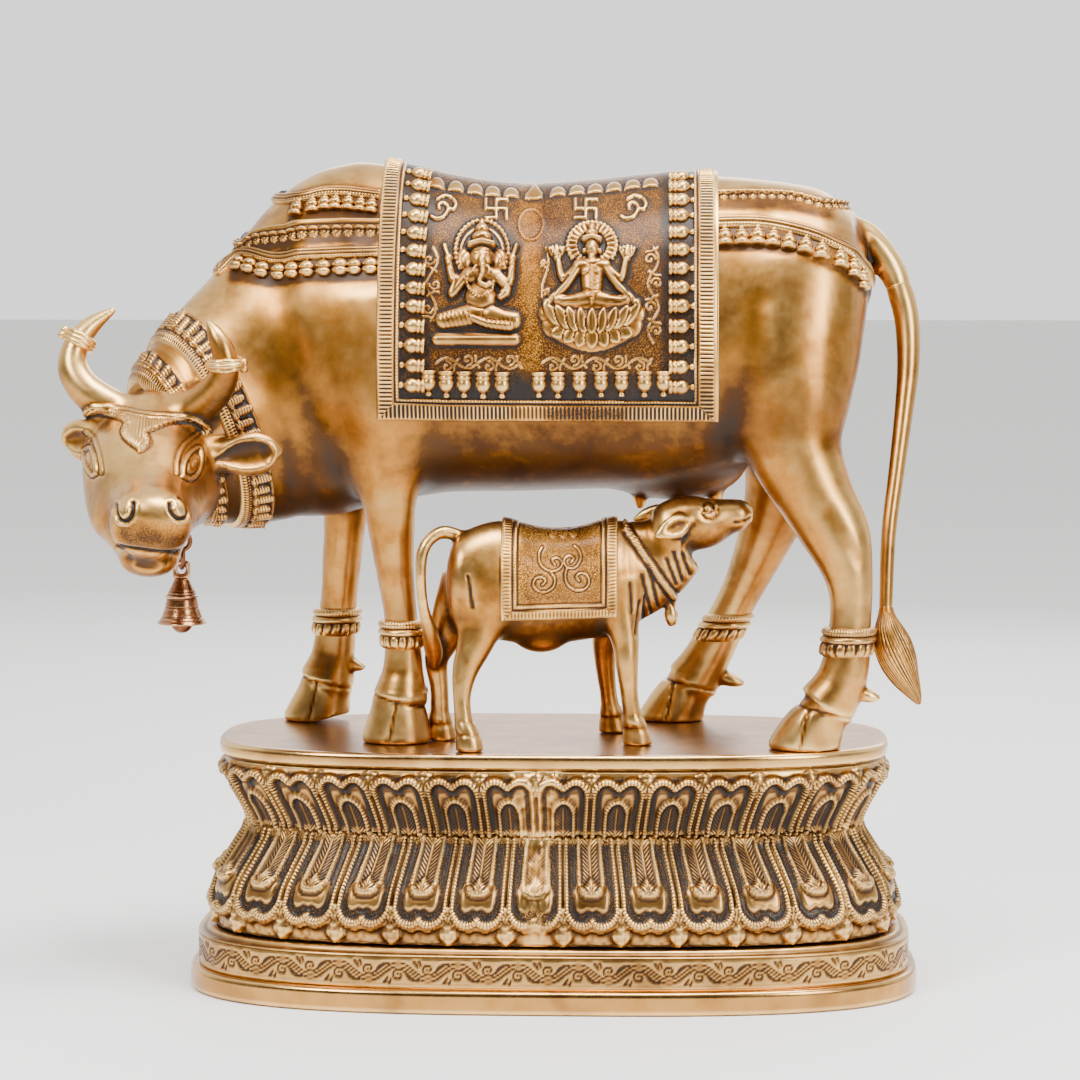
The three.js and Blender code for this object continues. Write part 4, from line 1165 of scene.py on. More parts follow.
class Hide:
    """A finished metal skin that trappings are laid on."""

    def __init__(self, shell: Shell) -> None:
        """Takes the skin's faces from a shell."""
        self.tree = BVHTree.FromPolygons(shell.points.tolist(), shell.quads.tolist())

    def hit(self, start: Array, way: Array) -> tuple[Array, Array] | None:
        """Where a ray first meets the skin, and the skin's direction there."""
        place, normal, _, _ = self.tree.ray_cast(Vector(start), Vector(way))
        return None if place is None else (np.array(place), np.array(normal))

    def beside(self, x: float, z: float, side: int) -> Array:
        """The skin's point at x and z on one side: -1 the near one, 1 the far one."""
        found = self.hit(np.array([x, side * 260.0, z]), np.array([0.0, -side, 0.0]))
        return np.array([x, 0.0, z]) if found is None else found[0]

    def above(self, x: float, y: float) -> Array:
        """The skin's highest point at x and y."""
        found = self.hit(np.array([x, y, 600.0]), np.array([0.0, 0.0, -1.0]))
        return np.array([x, y, 400.0]) if found is None else found[0]

    def section(self, middle: Sequence, side: int, turn: float, count: int, reach: float) -> Array:
        """The skin's points round one side of a body, from the middle of its back down.

        Args:
            middle: a place inside the body.
            side: -1 for the near side, 1 for the far one.
            turn: how far round the points go, in degrees.
            count: how many rays are sent in.
            reach: how far outside the rays begin.

        Returns:
            The points that were found.
        """
        around = []
        for angle in np.radians(np.linspace(0, turn, count)):
            way = np.array([0.0, side * math.sin(angle), math.cos(angle)])
            found = self.hit(np.array(middle) + way * reach, -way)
            if found is not None:
                around.append(found[0])
        return np.array(around)

    def nearest(self, points: Array) -> tuple[Array, Array]:
        """The skin's nearest points, and its direction at each."""
        places, normals = np.zeros_like(points), np.zeros_like(points)
        for i, point in enumerate(points):
            place, normal, _, _ = self.tree.find_nearest(Vector(point))
            places[i], normals[i] = place, normal
        return places, normals


def grid_normals(grid: Array, like: Array) -> Array:
    """Directions square to a grid of points, on the side that another direction points to."""
    normal = unit(np.cross(np.gradient(grid, axis=0), np.gradient(grid, axis=1)))
    sign = np.sign((normal * like).sum(-1, keepdims=True))
    return normal * np.where(sign == 0, 1, sign)


def soften(grid: Array, rounds: int) -> Array:
    """A grid of points with small dents smoothed out, its edges kept."""
    out = grid.copy()
    for _ in range(rounds):
        out[1:-1] = mix(out[1:-1], (out[2:] + out[:-2]) / 2, 0.6)
        out[:, 1:-1] = mix(out[:, 1:-1], (out[:, 2:] + out[:, :-2]) / 2, 0.6)
    return out


def refined(grid: Array, rows: int, columns: int) -> Array:
    """A grid of points brought to more rows and columns along smooth curves."""
    tall = spline(
        grid.reshape(len(grid), -1), np.linspace(0, len(grid) - 1, rows)
    ).reshape(rows, grid.shape[1], -1)
    wide = tall.transpose(1, 0, 2)
    return spline(
        wide.reshape(len(wide), -1), np.linspace(0, len(wide) - 1, columns)
    ).reshape(columns, rows, -1).transpose(1, 0, 2)


def closed_sheet(grid: Array, out: Array, thick: float) -> tuple[Shell, int]:
    """A sheet with its edge turned down into the metal below and closed there.

    Args:
        grid: the sheet's upper points by row and column.
        out: the direction outwards at each point.
        thick: how far the edge goes down.

    Returns:
        The shell, and how many points it has besides the grid's own.
    """
    rows, columns = grid.shape[:2]
    number = np.arange(rows * columns).reshape(rows, columns)
    rim = np.concatenate([number[0, :-1], number[:-1, -1], number[-1, :0:-1], number[:0:-1, 0]])
    top, directions = grid.reshape(-1, 3), out.reshape(-1, 3)
    skirt = top[rim] - directions[rim] * thick
    heart = skirt.mean(0, keepdims=True) - directions.mean(0) * thick
    ring = len(top) + np.arange(len(rim))
    after, below = np.roll(rim, -1), np.roll(ring, -1)
    middle = np.full(len(rim), len(top) + len(rim))
    quads = np.concatenate(
        [
            sheet_quads(rows, columns), np.stack([after, rim, ring, below], axis=1),
            np.stack([below, ring, middle, middle], axis=1)
        ]
    )
    turn = (np.cross(grid[1, 0] - grid[0, 0], grid[0, 1] - grid[0, 0]) * out[0, 0]).sum()
    return Shell(np.concatenate([top, skirt, heart]), quads).faced(turn <= 0), len(rim) + 1


class Relief2D:
    """Low relief drawn on a sheet in its own plane: swellings laid over one another."""

    def __init__(self, x: Array, z: Array) -> None:
        """Begins flat, at places x across and z up."""
        self.x, self.z = x, z
        self.rise = np.zeros(x.shape)

    def limb(self, path: Sequence, start: float, end: float, height: float) -> None:
        """A rounded limb.

        Args:
            path: its middle line.
            start: its radius where it begins.
            end: its radius where it ends.
            height: how far it stands up.
        """
        d, along = stroke(self.x, self.z, curve(path, 4))
        radius = mix(start, end, along)
        self.rise = np.maximum(self.rise, height * np.sqrt(np.clip(1 - (d / radius) ** 2, 0, 1)))

    def lump(self, x: float, z: float, wide: float, tall: float, height: float) -> None:
        """A rounded swelling."""
        r = np.clip(1 - ((self.x - x) / wide) ** 2 - ((self.z - z) / tall) ** 2, 0, 1)
        self.rise = np.maximum(self.rise, height * np.sqrt(r))

    def cut(self, path: Sequence, width: float, depth: float) -> None:
        """A chased line over what is there."""
        d, _ = stroke(self.x, self.z, curve(path, 4))
        self.rise = self.rise + groove(d, width, depth)

    def leaf(self, base: Sequence, tip: Sequence, wide: float, height: float) -> None:
        """A pointed leaf or petal laid over what is there, with a cut round its edge and a vein.

        Args:
            base: where it grows from.
            tip: its point.
            wide: half its width.
            height: how far it stands up.
        """
        (bx, bz), (tx, tz) = base, tip
        length = math.hypot(tx - bx, tz - bz)
        ux, uz = (tx - bx) / length, (tz - bz) / length
        along = ((self.x - bx) * ux + (self.z - bz) * uz) / length
        aside = np.abs(-(self.x - bx) * uz + (self.z - bz) * ux)
        reach = wide * np.sqrt(np.clip(np.sin(math.pi * np.clip(along, 0, 1) ** 0.8), 0, 1))
        inner = np.clip(1 - (aside / np.maximum(reach, 0.1)) ** 2, 0, 1)
        petal = (
            height * (0.62 + 0.38 * np.sqrt(inner)) - 1.3 * smooth(1.1, 0.1, reach - aside)
            - 0.4 * np.exp(-((aside / 0.5) ** 2))
        )
        self.rise = np.where((along > 0) & (along < 1) & (aside < reach), petal, self.rise)

    def beads(self, path: Sequence, count: int, radius: float, height: float) -> None:
        """A row of beads along a line."""
        for x, z in resample(path, count):
            self.lump(x, z, radius, radius, height)


def scroll(cx: float, cz: float, size: float, turns: float, start: float, way: int) -> Array:
    """A spiral line that winds in to its middle.

    Args:
        cx: its middle, across.
        cz: its middle, up.
        size: its outer radius.
        turns: how often it goes round.
        start: the angle at which it begins.
        way: 1 to turn left, -1 to turn right.

    Returns:
        Its points, from the outer end in.
    """
    t = np.linspace(0, 1, int(18 * turns) + 4)
    angle = start + way * t * turns * TAU
    radius = size * (1 - 0.86 * t)
    return np.stack([cx + radius * np.cos(angle), cz + radius * np.sin(angle)], axis=1)


def tendril(start: Sequence, end: Sequence, pitch: float, size: float) -> list[Array]:
    """Lines of a leafy scroll from one place to another: a wave with a curl in each bend.

    Args:
        start: where it begins.
        end: where it ends.
        pitch: the length of one bend.
        size: how far the bends swing out.

    Returns:
        The lines, the wave first.
    """
    a, b = np.array(start, float), np.array(end, float)
    length = np.linalg.norm(b - a)
    ahead = (b - a) / length
    aside = np.array([-ahead[1], ahead[0]])
    t = np.linspace(0, 1, int(length / 2) + 4)
    count = max(1, round(length / pitch))
    wave = size * 0.55 * np.sin(t * count * math.pi)
    lines = [a + np.outer(t * length, ahead) + np.outer(wave, aside)]
    for k in range(count):
        way = 1 if k % 2 == 0 else -1
        centre = a + ahead * (k + 0.5) * length / count - aside * way * size * 0.35
        lines.append(scroll(*centre, size * 0.62, 1.1, math.atan2(*(aside * way)[::-1]), -way))
        leaf = centre + ahead * size * 0.8 + aside * way * size * 0.1
        lines.append(
            np.array(
                [
                    leaf - aside * way * size * 0.5, leaf,
                    leaf + ahead * size * 0.45 + aside * way * size * 0.7
                ]
            )
        )
    return lines


@dataclass
class SaddleCloth:
    """The cow's saddle cloth: a bordered sheet with seated figures between bells."""

    front: float = -128.0
    back: float = 124.0
    hem: float = 245.0
    border: float = 13.0
    thickness: float = 3.4
    depth: float = -85.0
    bell_pitch: float = 13.9
    hem_bells: Sequence = (-90.1, -76.4, -63.1, -49, -35, -8.4, 5.6, 22, 37.5, 52.4, 68.7, 83)
    crescents: Sequence = (-87.5, -73, -58.5, -45.3, -31.3, 4.2, 18.6, 32.3, 46.3, 60.4, 73.7)
    far_rows: Sequence = (62.0, 102.0, 142.0)

    def side(self, hide: Hide, side: int, rows: int, columns: int) -> tuple[Array, Array]:
        """Half of the sheet, from its hem up to the middle of the back.

        Args:
            hide: the cow's skin.
            side: -1 for the near half, 1 for the far one.
            rows: rows of points from hem to middle.
            columns: points from front to back.

        Returns:
            Points on the skin, and the outward direction at each.
        """
        lines = []
        for x in np.linspace(self.front, self.back, 52):
            line = hide.section((x, 0.0, 305.0), side, 150, 64, 260)
            line[0, 1] = 0.0
            end = int(np.argmax(line[:, 2] < self.hem))
            share = (self.hem - line[end - 1, 2]) / (line[end, 2] - line[end - 1, 2])
            line = np.concatenate([line[:end], [mix(line[end - 1], line[end], share)]])
            run = run_along(line)
            lines.append(points_at(line, run, np.linspace(run[-1], 0, 40)))
        coarse = soften(np.array(lines).transpose(1, 0, 2), 3)
        grid = refined(coarse, rows, columns)
        out = grid_normals(grid, np.array([0.0, side, 0.35]))
        return grid, out

    def common(self, grid: Array) -> tuple[Marks, Array, Array, Array]:
        """The border, with its ribs and bead line, and the punched ground inside it.

        Args:
            grid: the sheet's points.

        Returns:
            The marks, and each point's distance from the nearest edge, from the hem and from the
            middle of the back.
        """
        up = run_along(grid)
        down = up[-1] - up
        x = grid[..., 0]
        ends = np.minimum(x - self.front, self.back - x - 2.0)
        edge = np.minimum(ends, up)
        marks = Marks.blank(x.shape)
        band = smooth(self.border + 0.4, self.border - 0.4, edge)
        marks.rise += 1.9 * band - 1.1 * smooth(1.2, 0, edge)
        marks.rise += ridge(edge - self.border - 2.0, 2.4, 1.6)
        run = np.where(ends < up, up, x)
        ribs = smooth(1.2, 2.0, edge) * smooth(self.border - 0.9, self.border - 1.7, edge)
        low = smooth(15, 9, up) * smooth(8, 12, ends)
        worn = low * smooth(-34, -26, x) * smooth(60, 52, x)
        marks.cut(run * 0.80, (1.9 + 0.6 * low) * ribs * (1 - 0.8 * worn))
        marks.stipple += 1.0 * worn * smooth(-6, 2, x)
        marks.rub_and_painted_light -= 0.12 * smooth(34, 10, up) + 0.08 * worn
        marks.rise += ribs * 0.4 * np.sin(run * TAU / 3.0)
        marks.cut(run, 1.2 * smooth(1.2, 0.6, np.abs(edge - self.border - 2.0)))
        ground = smooth(self.border + 3.0, self.border + 3.6, edge)
        marks.stipple += 0.8 * ground
        strip = np.minimum(ends - 13, up - 10)
        marks.rub_and_painted_light -= ground * (0.16 + 0.16 * smooth(30, 24, strip))
        marks.rub_and_painted_light -= 0.22 * smooth(0.7, 0.3, np.abs(edge - self.border - 0.5))
        return marks, edge, up, down

    def near_marks(self, grid: Array, out: Array) -> Marks:
        """The marks of the near half, with its figures, scrolls and signs."""
        marks, edge, _, down = self.common(grid)
        flat = (grid + out * self.thickness).reshape(-1, 3)
        x, z = (a.reshape(edge.shape) for a in seen(flat, self.depth))
        relief = Relief2D(x, z)
        self.elephant_headed(relief)
        self.lotus_bearer(relief)
        self.crescent_row(relief, grid[..., 0], down)
        figures = relief.rise
        lines = [
            *tendril((-86, 372), (-88, 318), 17, 7), *tendril((-84, 287), (-22, 287), 15, 7),
            *tendril((-6, 287), (74, 287), 15, 7), *tendril((76, 302), (76, 372), 17, 7),
            *tendril((-3, 372), (-4, 330), 17, 4),
        ]
        best = np.full(x.shape, 9.0)
        for line in lines:
            best = np.minimum(best, stroke(x, z, line)[0])
        vine = ridge(best, 1.9, 0.8)
        signs = np.zeros(x.shape)
        for sx in (-78.6, 61.0):
            for path in (
                ((-9, -6), (-5, -8), (1, -6), (4, 0), (1, 4), (-3, 3), (-3, 0)),
                ((4, 0), (8, -1), (10, 3), (8, 7)), ((-4, 7), (1, 9.5), (6, 8.5))
            ):
                signs = np.maximum(
                    signs, ridge(stroke(x, z, curve(np.array(path) * 0.95 + (sx, 400.5)))[0], 2.9, 1.9)
                )
        for sx in (-39.4, 26.4):
            for turn in range(4):
                c, s = math.cos(turn * math.pi / 2), math.sin(turn * math.pi / 2)
                arm = np.array([(0, 0), (0, 6.6), (7.0, 6.6)]) @ np.array([[c, -s], [s, c]])
                signs = np.maximum(signs, ridge(stroke(x, z, arm * (1.15, 1.0) + (sx, 400))[0], 2.7, 1.9))
        seam = np.abs(x + 14.6)
        ring = np.abs(np.hypot(x + 14, (z - 389) * 0.8) - 9)
        marks.rise += ridge(ring, 1.6, 0.5)
        lift = np.maximum(np.maximum(figures, signs), np.where(figures < 0.05, vine, 0))
        marks.rise += lift
        raised = smooth(0.1, 0.6, lift)
        marks.stipple *= (1 - raised) * mix(0.7, 1.0, smooth(4, 12, seam))
        marks.rub_and_painted_light += (
            0.16 * raised - 0.10 * (1 - raised) * smooth(8, 0, self.beside(figures, 5))
            + 0.08 * smooth(11, 5, seam) * (1 - raised)
        )
        blot = np.exp(-(((x + 20) / 8) ** 2 + ((z - 268) / 7) ** 2))
        marks.rub_and_painted_light -= 0.25 * blot
        return marks

    @staticmethod
    def beside(figures: Array, reach: int) -> Array:
        """Eight where the ground lies clear of the figures, and less close beside them."""
        near = (figures > 0.3).astype(float)
        for _ in range(reach):
            near = np.maximum(near, np.maximum(np.roll(near, 1, 0), np.roll(near, -1, 0)) * 0.8)
            near = np.maximum(near, np.maximum(np.roll(near, 1, 1), np.roll(near, -1, 1)) * 0.8)
        return 8 * (1 - near)

    @staticmethod
    def elephant_headed(r: Relief2D) -> None:
        """The seated figure with an elephant's head: halo, four arms, crossed legs, on a slab."""
        cx = -50.0
        halo = [
            (cx + 19.5 * math.cos(a), 369 + 22.5 * math.sin(a))
            for a in np.linspace(-0.55, math.pi + 0.55, 30)
        ]
        r.beads(halo, 27, 1.9, 2.4)
        inner = [
            (cx + 15.6 * math.cos(a), 368 + 18.2 * math.sin(a))
            for a in np.linspace(-0.3, math.pi + 0.3, 20)
        ]
        r.limb(inner, 0.9, 0.9, 1.4)
        r.limb([(-83, 304.6), (-26, 304.6)], 4.4, 4.4, 3.4)
        r.cut([(-86, 307.6), (-23, 307.6)], 1.4, 1.0)
        r.limb([(cx - 4, 324), (-66, 321), (-78, 318.5)], 8.6, 6.6, 4.8)
        r.limb([(cx + 6, 323), (-36, 320), (-27, 318.5)], 7.6, 6.6, 4.8)
        r.limb([(-30, 314.5), (-46, 316), (-58, 320.5)], 4.6, 3.4, 5.6)
        r.lump(-60, 322, 3.4, 2.2, 5.8)
        for k in range(7):
            r.cut([(-80 + k * 3.4, 325.5 - 0.4 * k), (-76 + k * 3.3, 313)], 1.0, 0.8)
            r.cut([(-47 + k * 3.3, 319.0), (-44.5 + k * 3.3, 311.4)], 1.0, 0.8)
        r.lump(cx - 1, 336, 11.8, 11.5, 5.6)
        r.limb([(cx - 10, 351), (cx, 352.5), (cx + 10, 351)], 6, 6, 4.8)
        for side, hand in ((-1, (-74.5, 361)), (1, (-27.5, 361))):
            r.limb([(cx + side * 11, 352), (cx + side * 20, 346), hand], 4.2, 2.9, 4.2)
            r.lump(hand[0], hand[1] + 2.5, 3.4, 4.2, 4.2)
            r.limb([(hand[0] + side * 3, hand[1] + 12), (hand[0], hand[1] + 3)], 2.0, 1.5, 3.4)
            r.cut([(hand[0] - 3, hand[1] - 3.4), (hand[0] + 3.6, hand[1] - 3.4)], 1.2, 0.9)
        r.limb([(cx - 12, 350), (-72, 338), (-69.5, 346)], 4.2, 3.0, 4.6)
        r.lump(-69.5, 348, 4.0, 4.6, 4.8)
        r.limb([(cx + 11, 350), (-31, 341), (-36, 335.5)], 4.2, 3.0, 4.8)
        r.lump(-33, 338.5, 4.8, 3.8, 5.2)
        r.lump(cx - 13, 363, 5.6, 8.0, 3.8)
        r.lump(cx + 13, 363, 5.6, 8.0, 3.8)
        r.lump(cx, 364.5, 9.0, 9.0, 6.2)
        r.limb([(cx, 362), (cx + 1, 353), (cx - 1.5, 345.5), (cx + 3.5, 342.5)], 4.2, 2.4, 7.2)
        r.lump(cx + 5.4, 344, 3.4, 3.2, 6.4)
        for side in (-1, 1):
            r.limb([(cx + side * 4.4, 357), (cx + side * 7.0, 353)], 1.5, 1.0, 6.0)
            r.lump(cx + side * 4.4, 366, 1.9, 1.3, 7.0)
            r.cut([(cx + side * 2.4, 368.4), (cx + side * 6.6, 368)], 1.0, 0.8)
            r.cut([(cx + side * 11, 369), (cx + side * 15, 363), (cx + side * 12, 357)], 1.2, 0.9)
        for k in range(4):
            r.cut([(cx - 2.6, 359 - 3.4 * k), (cx + 3.4, 358.4 - 3.4 * k)], 0.8, 0.6)
        r.limb([(cx - 8.6, 373), (cx, 375), (cx + 8.6, 373)], 2.4, 2.4, 6.8)
        r.lump(cx, 379, 7.4, 5.6, 6.0)
        r.lump(cx, 384.5, 5.0, 4.8, 5.4)
        r.lump(cx, 389, 2.4, 3.4, 4.6)
        r.cut([(cx - 8, 375.8), (cx, 377.4), (cx + 8, 375.8)], 1.2, 1.0)
        r.cut([(cx - 6, 381.6), (cx, 382.8), (cx + 6, 381.6)], 1.2, 1.0)
        r.beads(
            [(cx - 11, 350), (cx - 9.5, 341), (cx - 2, 334.5), (cx + 7, 339), (cx + 9, 346)], 16, 1.25,
            6.6
        )
        r.cut([(cx - 10, 330), (cx - 1, 326.6), (cx + 8, 330)], 1.4, 1.0)

    @staticmethod
    def lotus_bearer(r: Relief2D) -> None:
        """The seated figure with lotus blooms in the upper hands, on a double lotus."""
        cx = 31.0
        d = np.hypot(r.x - cx, (r.z - 373.5) * 1.08)
        angle = np.arctan2(r.z - 373.5, r.x - cx)
        ring = smooth(10.5, 11.1, d) * smooth(17.2, 16.6, d) * (r.z > 362)
        r.rise = np.maximum(r.rise, ring * (1.6 + 0.8 * np.sin(angle * 26)))
        rim = [
            (cx + 18 * math.cos(a), 373.5 + 16.6 * math.sin(a))
            for a in np.linspace(-0.6, math.pi + 0.6, 30)
        ]
        r.beads(rim, 25, 1.8, 2.5)
        r.limb([(cx - 26, 316), (cx, 306), (cx + 26, 316)], 11.0, 11.0, 2.2)
        for k in (3, 2, 1, 0):
            for side in ((-1, 1) if k else (1,)):
                x = side * k
                r.leaf((cx + x * 6.4, 311.5), (cx + x * 10.0, 298.0 + 1.1 * k * k), 5.6, 3.6)
        r.limb([(cx - 32, 324), (cx, 320.5), (cx + 32, 324)], 7.4, 7.4, 2.6)
        for k in (4, 3, 2, 1, 0):
            for side in ((-1, 1) if k else (1,)):
                x = side * k
                r.leaf((cx + x * 5.4, 309.0 + 0.35 * k * k), (cx + x * 8.9, 327.0 + 0.22 * k * k), 5.0, 4.8)
        r.limb([(cx - 26, 330.5), (cx, 328.5), (cx + 26, 330.5)], 2.6, 2.6, 3.0)
        r.limb([(cx - 2, 335), (cx - 16, 332.5), (cx - 25, 333.5)], 6.2, 4.4, 4.6)
        r.limb([(cx + 2, 335), (cx + 16, 332.5), (cx + 25, 333.5)], 6.2, 4.4, 4.6)
        r.limb([(cx, 337), (cx, 346), (cx, 355)], 7.6, 9.0, 5.0)
        r.limb([(cx - 10, 358), (cx, 359.5), (cx + 10, 358)], 4.8, 4.8, 4.8)
        for side in (-1, 1):
            r.lump(cx + side * 4.6, 353.5, 4.1, 3.9, 6.0)
            r.limb([(cx + side * 11, 357), (cx + side * 21, 349), (cx + side * 24.5, 361)], 3.8, 2.6, 4.0)
            r.lump(cx + side * 25.5, 364, 3.4, 3.6, 4.2)
            for k in (-2, 2, -1, 1, 0):
                r.leaf((cx + side * 26, 364.5), (cx + side * 26 + k * 3.1, 374.0 - abs(k)), 2.6, 3.8)
            r.limb([(cx + side * 11, 356), (cx + side * 19, 344), (cx + side * 30, 334)], 3.8, 2.6, 4.6)
            r.lump(cx + side * 32.5, 331.5, 4.2, 3.2, 4.8)
            r.cut([(cx + side * 16.5, 350.5), (cx + side * 20.5, 346.5)], 1.2, 0.9)
            r.cut([(cx + side * 26, 340), (cx + side * 28, 335)], 1.2, 0.9)
            r.cut([(cx + side * 22, 335), (cx + side * 12, 337)], 1.0, 0.8)
            r.cut([(cx + side * 22, 331.5), (cx + side * 10, 332.5)], 1.0, 0.8)
        for k in range(5):
            r.cut([(cx + 2.6, 341 + 3.4 * k), (cx + 8.5, 343 + 3.4 * k)], 0.9, 0.6)
        r.beads([(cx, 357), (cx, 331)], 12, 1.35, 7.0)
        r.limb([(cx, 363), (cx, 366)], 3.4, 3.4, 4.4)
        r.lump(cx, 371.0, 5.6, 6.6, 6.4)
        r.lump(cx - 5.9, 368.6, 1.5, 2.2, 4.8)
        r.lump(cx + 5.9, 368.6, 1.5, 2.2, 4.8)
        r.lump(cx, 370.0, 1.0, 1.9, 7.2)
        r.limb([(cx - 5.8, 376.6), (cx, 378.0), (cx + 5.8, 376.6)], 2.1, 2.1, 6.8)
        r.lump(cx, 380.8, 4.6, 4.0, 5.8)
        r.lump(cx, 385.4, 2.6, 3.6, 5.0)
        for side in (-1, 1):
            r.cut([(cx + side * 1.4, 372.6), (cx + side * 4.0, 372.4)], 0.9, 0.7)
        r.cut([(cx - 1.8, 367.0), (cx, 366.5), (cx + 1.8, 367.0)], 0.9, 0.6)
        r.cut([(cx - 5.4, 379.2), (cx, 380.4), (cx + 5.4, 379.2)], 1.0, 0.9)
        r.cut([(cx - 7.5, 341), (cx, 339.4), (cx + 7.5, 341)], 1.2, 0.9)
        r.cut([(cx - 6.5, 361.5), (cx, 358.0), (cx + 6.5, 361.5)], 1.1, 0.8)

    def crescent_row(self, r: Relief2D, x: Array, down: Array) -> None:
        """The row of half discs along the back, and the small shrine at its middle.

        Args:
            r: the relief they are added to.
            x: each point's place along the cow.
            down: its distance from the middle of the back.
        """
        for place in self.crescents:
            u, v = (x - place) / 6.3, (down - 34) / 15.0
            disc = np.clip(1 - u * u - v * v, 0, 1) * (down < 34)
            r.rise = np.maximum(r.rise, 2.6 * np.sqrt(disc))
        u = np.abs(x + 13.5)
        shrine = (
            u < np.interp(down, [12, 22, 30, 36, 37], [0.1, 3.0, 6.5, 6.5, 0.1])
        ) & (down > 12) & (down < 37)
        r.rise = np.maximum(r.rise, shrine * 2.0)

    def far_marks(self, grid: Array) -> Marks:
        """The marks of the far half: the border, the half discs and rows of plain flowers."""
        marks, _, up, down = self.common(grid)
        x = grid[..., 0]
        relief = Relief2D(x, up)
        self.crescent_row(relief, x, down)
        for row, height in enumerate(self.far_rows):
            for k in range(4 - row % 2):
                middle = -66 + 43 * (k + 0.5 * (row % 2))
                for petal in range(8):
                    c, s = math.cos(petal * TAU / 8), math.sin(petal * TAU / 8)
                    relief.leaf(
                        (middle + 3 * c, height + 3 * s), (middle + 15 * c, height + 15 * s), 4.6, 2.0
                    )
                relief.lump(middle, height, 4.8, 4.8, 2.8)
        marks.rise += relief.rise
        marks.stipple *= smooth(0.5, 0.1, relief.rise)
        marks.rub_and_painted_light += 0.10 * smooth(0.1, 0.5, relief.rise)
        return marks

    def bell_places(self, grid: Array, out: Array) -> tuple[Array, Array, Array]:
        """Where the small bells lie on one half, which way each mouth faces, and the way out of the cloth.

        Args:
            grid: the half's points, from the hem up.
            out: the outward direction at each.

        Returns:
            Rows of places, mouth directions and outward directions.
        """
        up = run_along(grid[:, grid.shape[1] // 2])
        xs = grid[0, :, 0]
        places, ways, outs = [], [], []

        def put(x: float, rise: float, across: float, along: float) -> None:
            """Lays one bell at x and a height above the hem, its mouth across and along the cloth."""
            j = int(np.clip(np.searchsorted(xs, x), 1, len(xs) - 2))
            i = int(np.clip(np.searchsorted(up, rise), 1, len(up) - 2))
            ahead, uphill = unit(grid[i, j + 1] - grid[i, j - 1]), unit(grid[i + 1, j] - grid[i - 1, j])
            places.append(grid[i, j] + out[i, j] * (self.thickness + 0.4))
            ways.append(ahead * across + uphill * along)
            outs.append(out[i, j])

        rows = int((up[-1] - 25) / self.bell_pitch)
        for k in range(rows):
            rise = 25 + k * self.bell_pitch
            put(self.front + self.border + 22.5, rise, -1.0, 0.0)
            put(self.back - self.border - 24.5, rise, 1.0, 0.0)
        for x in self.hem_bells:
            put(x, self.border + 23.6, 0.0, -1.0)
        return np.array(places), np.array(ways), np.array(outs)

    def build(
        self, hide: Hide, finish: bpy.types.Material, scatter: "Scatter", bell: bpy.types.Object
    ) -> None:
        """Makes both halves of the cloth and the bells on them.

        Args:
            hide: the cow's skin.
            finish: the cloth's material.
            scatter: what places the bells.
            bell: the shape of one bell.
        """
        for name, side, rows, columns in (("near", -1, 244, 288), ("far", 1, 84, 110)):
            grid, out = self.side(hide, side, rows, columns)
            marks = self.near_marks(grid, out) if side < 0 else self.far_marks(grid)
            top = grid + out * (self.thickness + marks.rise)[..., None]
            shell, extra = closed_sheet(top, out, self.thickness + 4)
            wear = shell.wear(0.55, 1.0, 10 if side < 0 else 4, 1.1)
            add_shell(f"cow_cloth_{name}", shell, wear, finish, marks.flat().padded(0, extra))
            scatter.build(f"cow_cloth_bells_{name}", *self.bell_places(grid, out), 1.0, bell, finish)


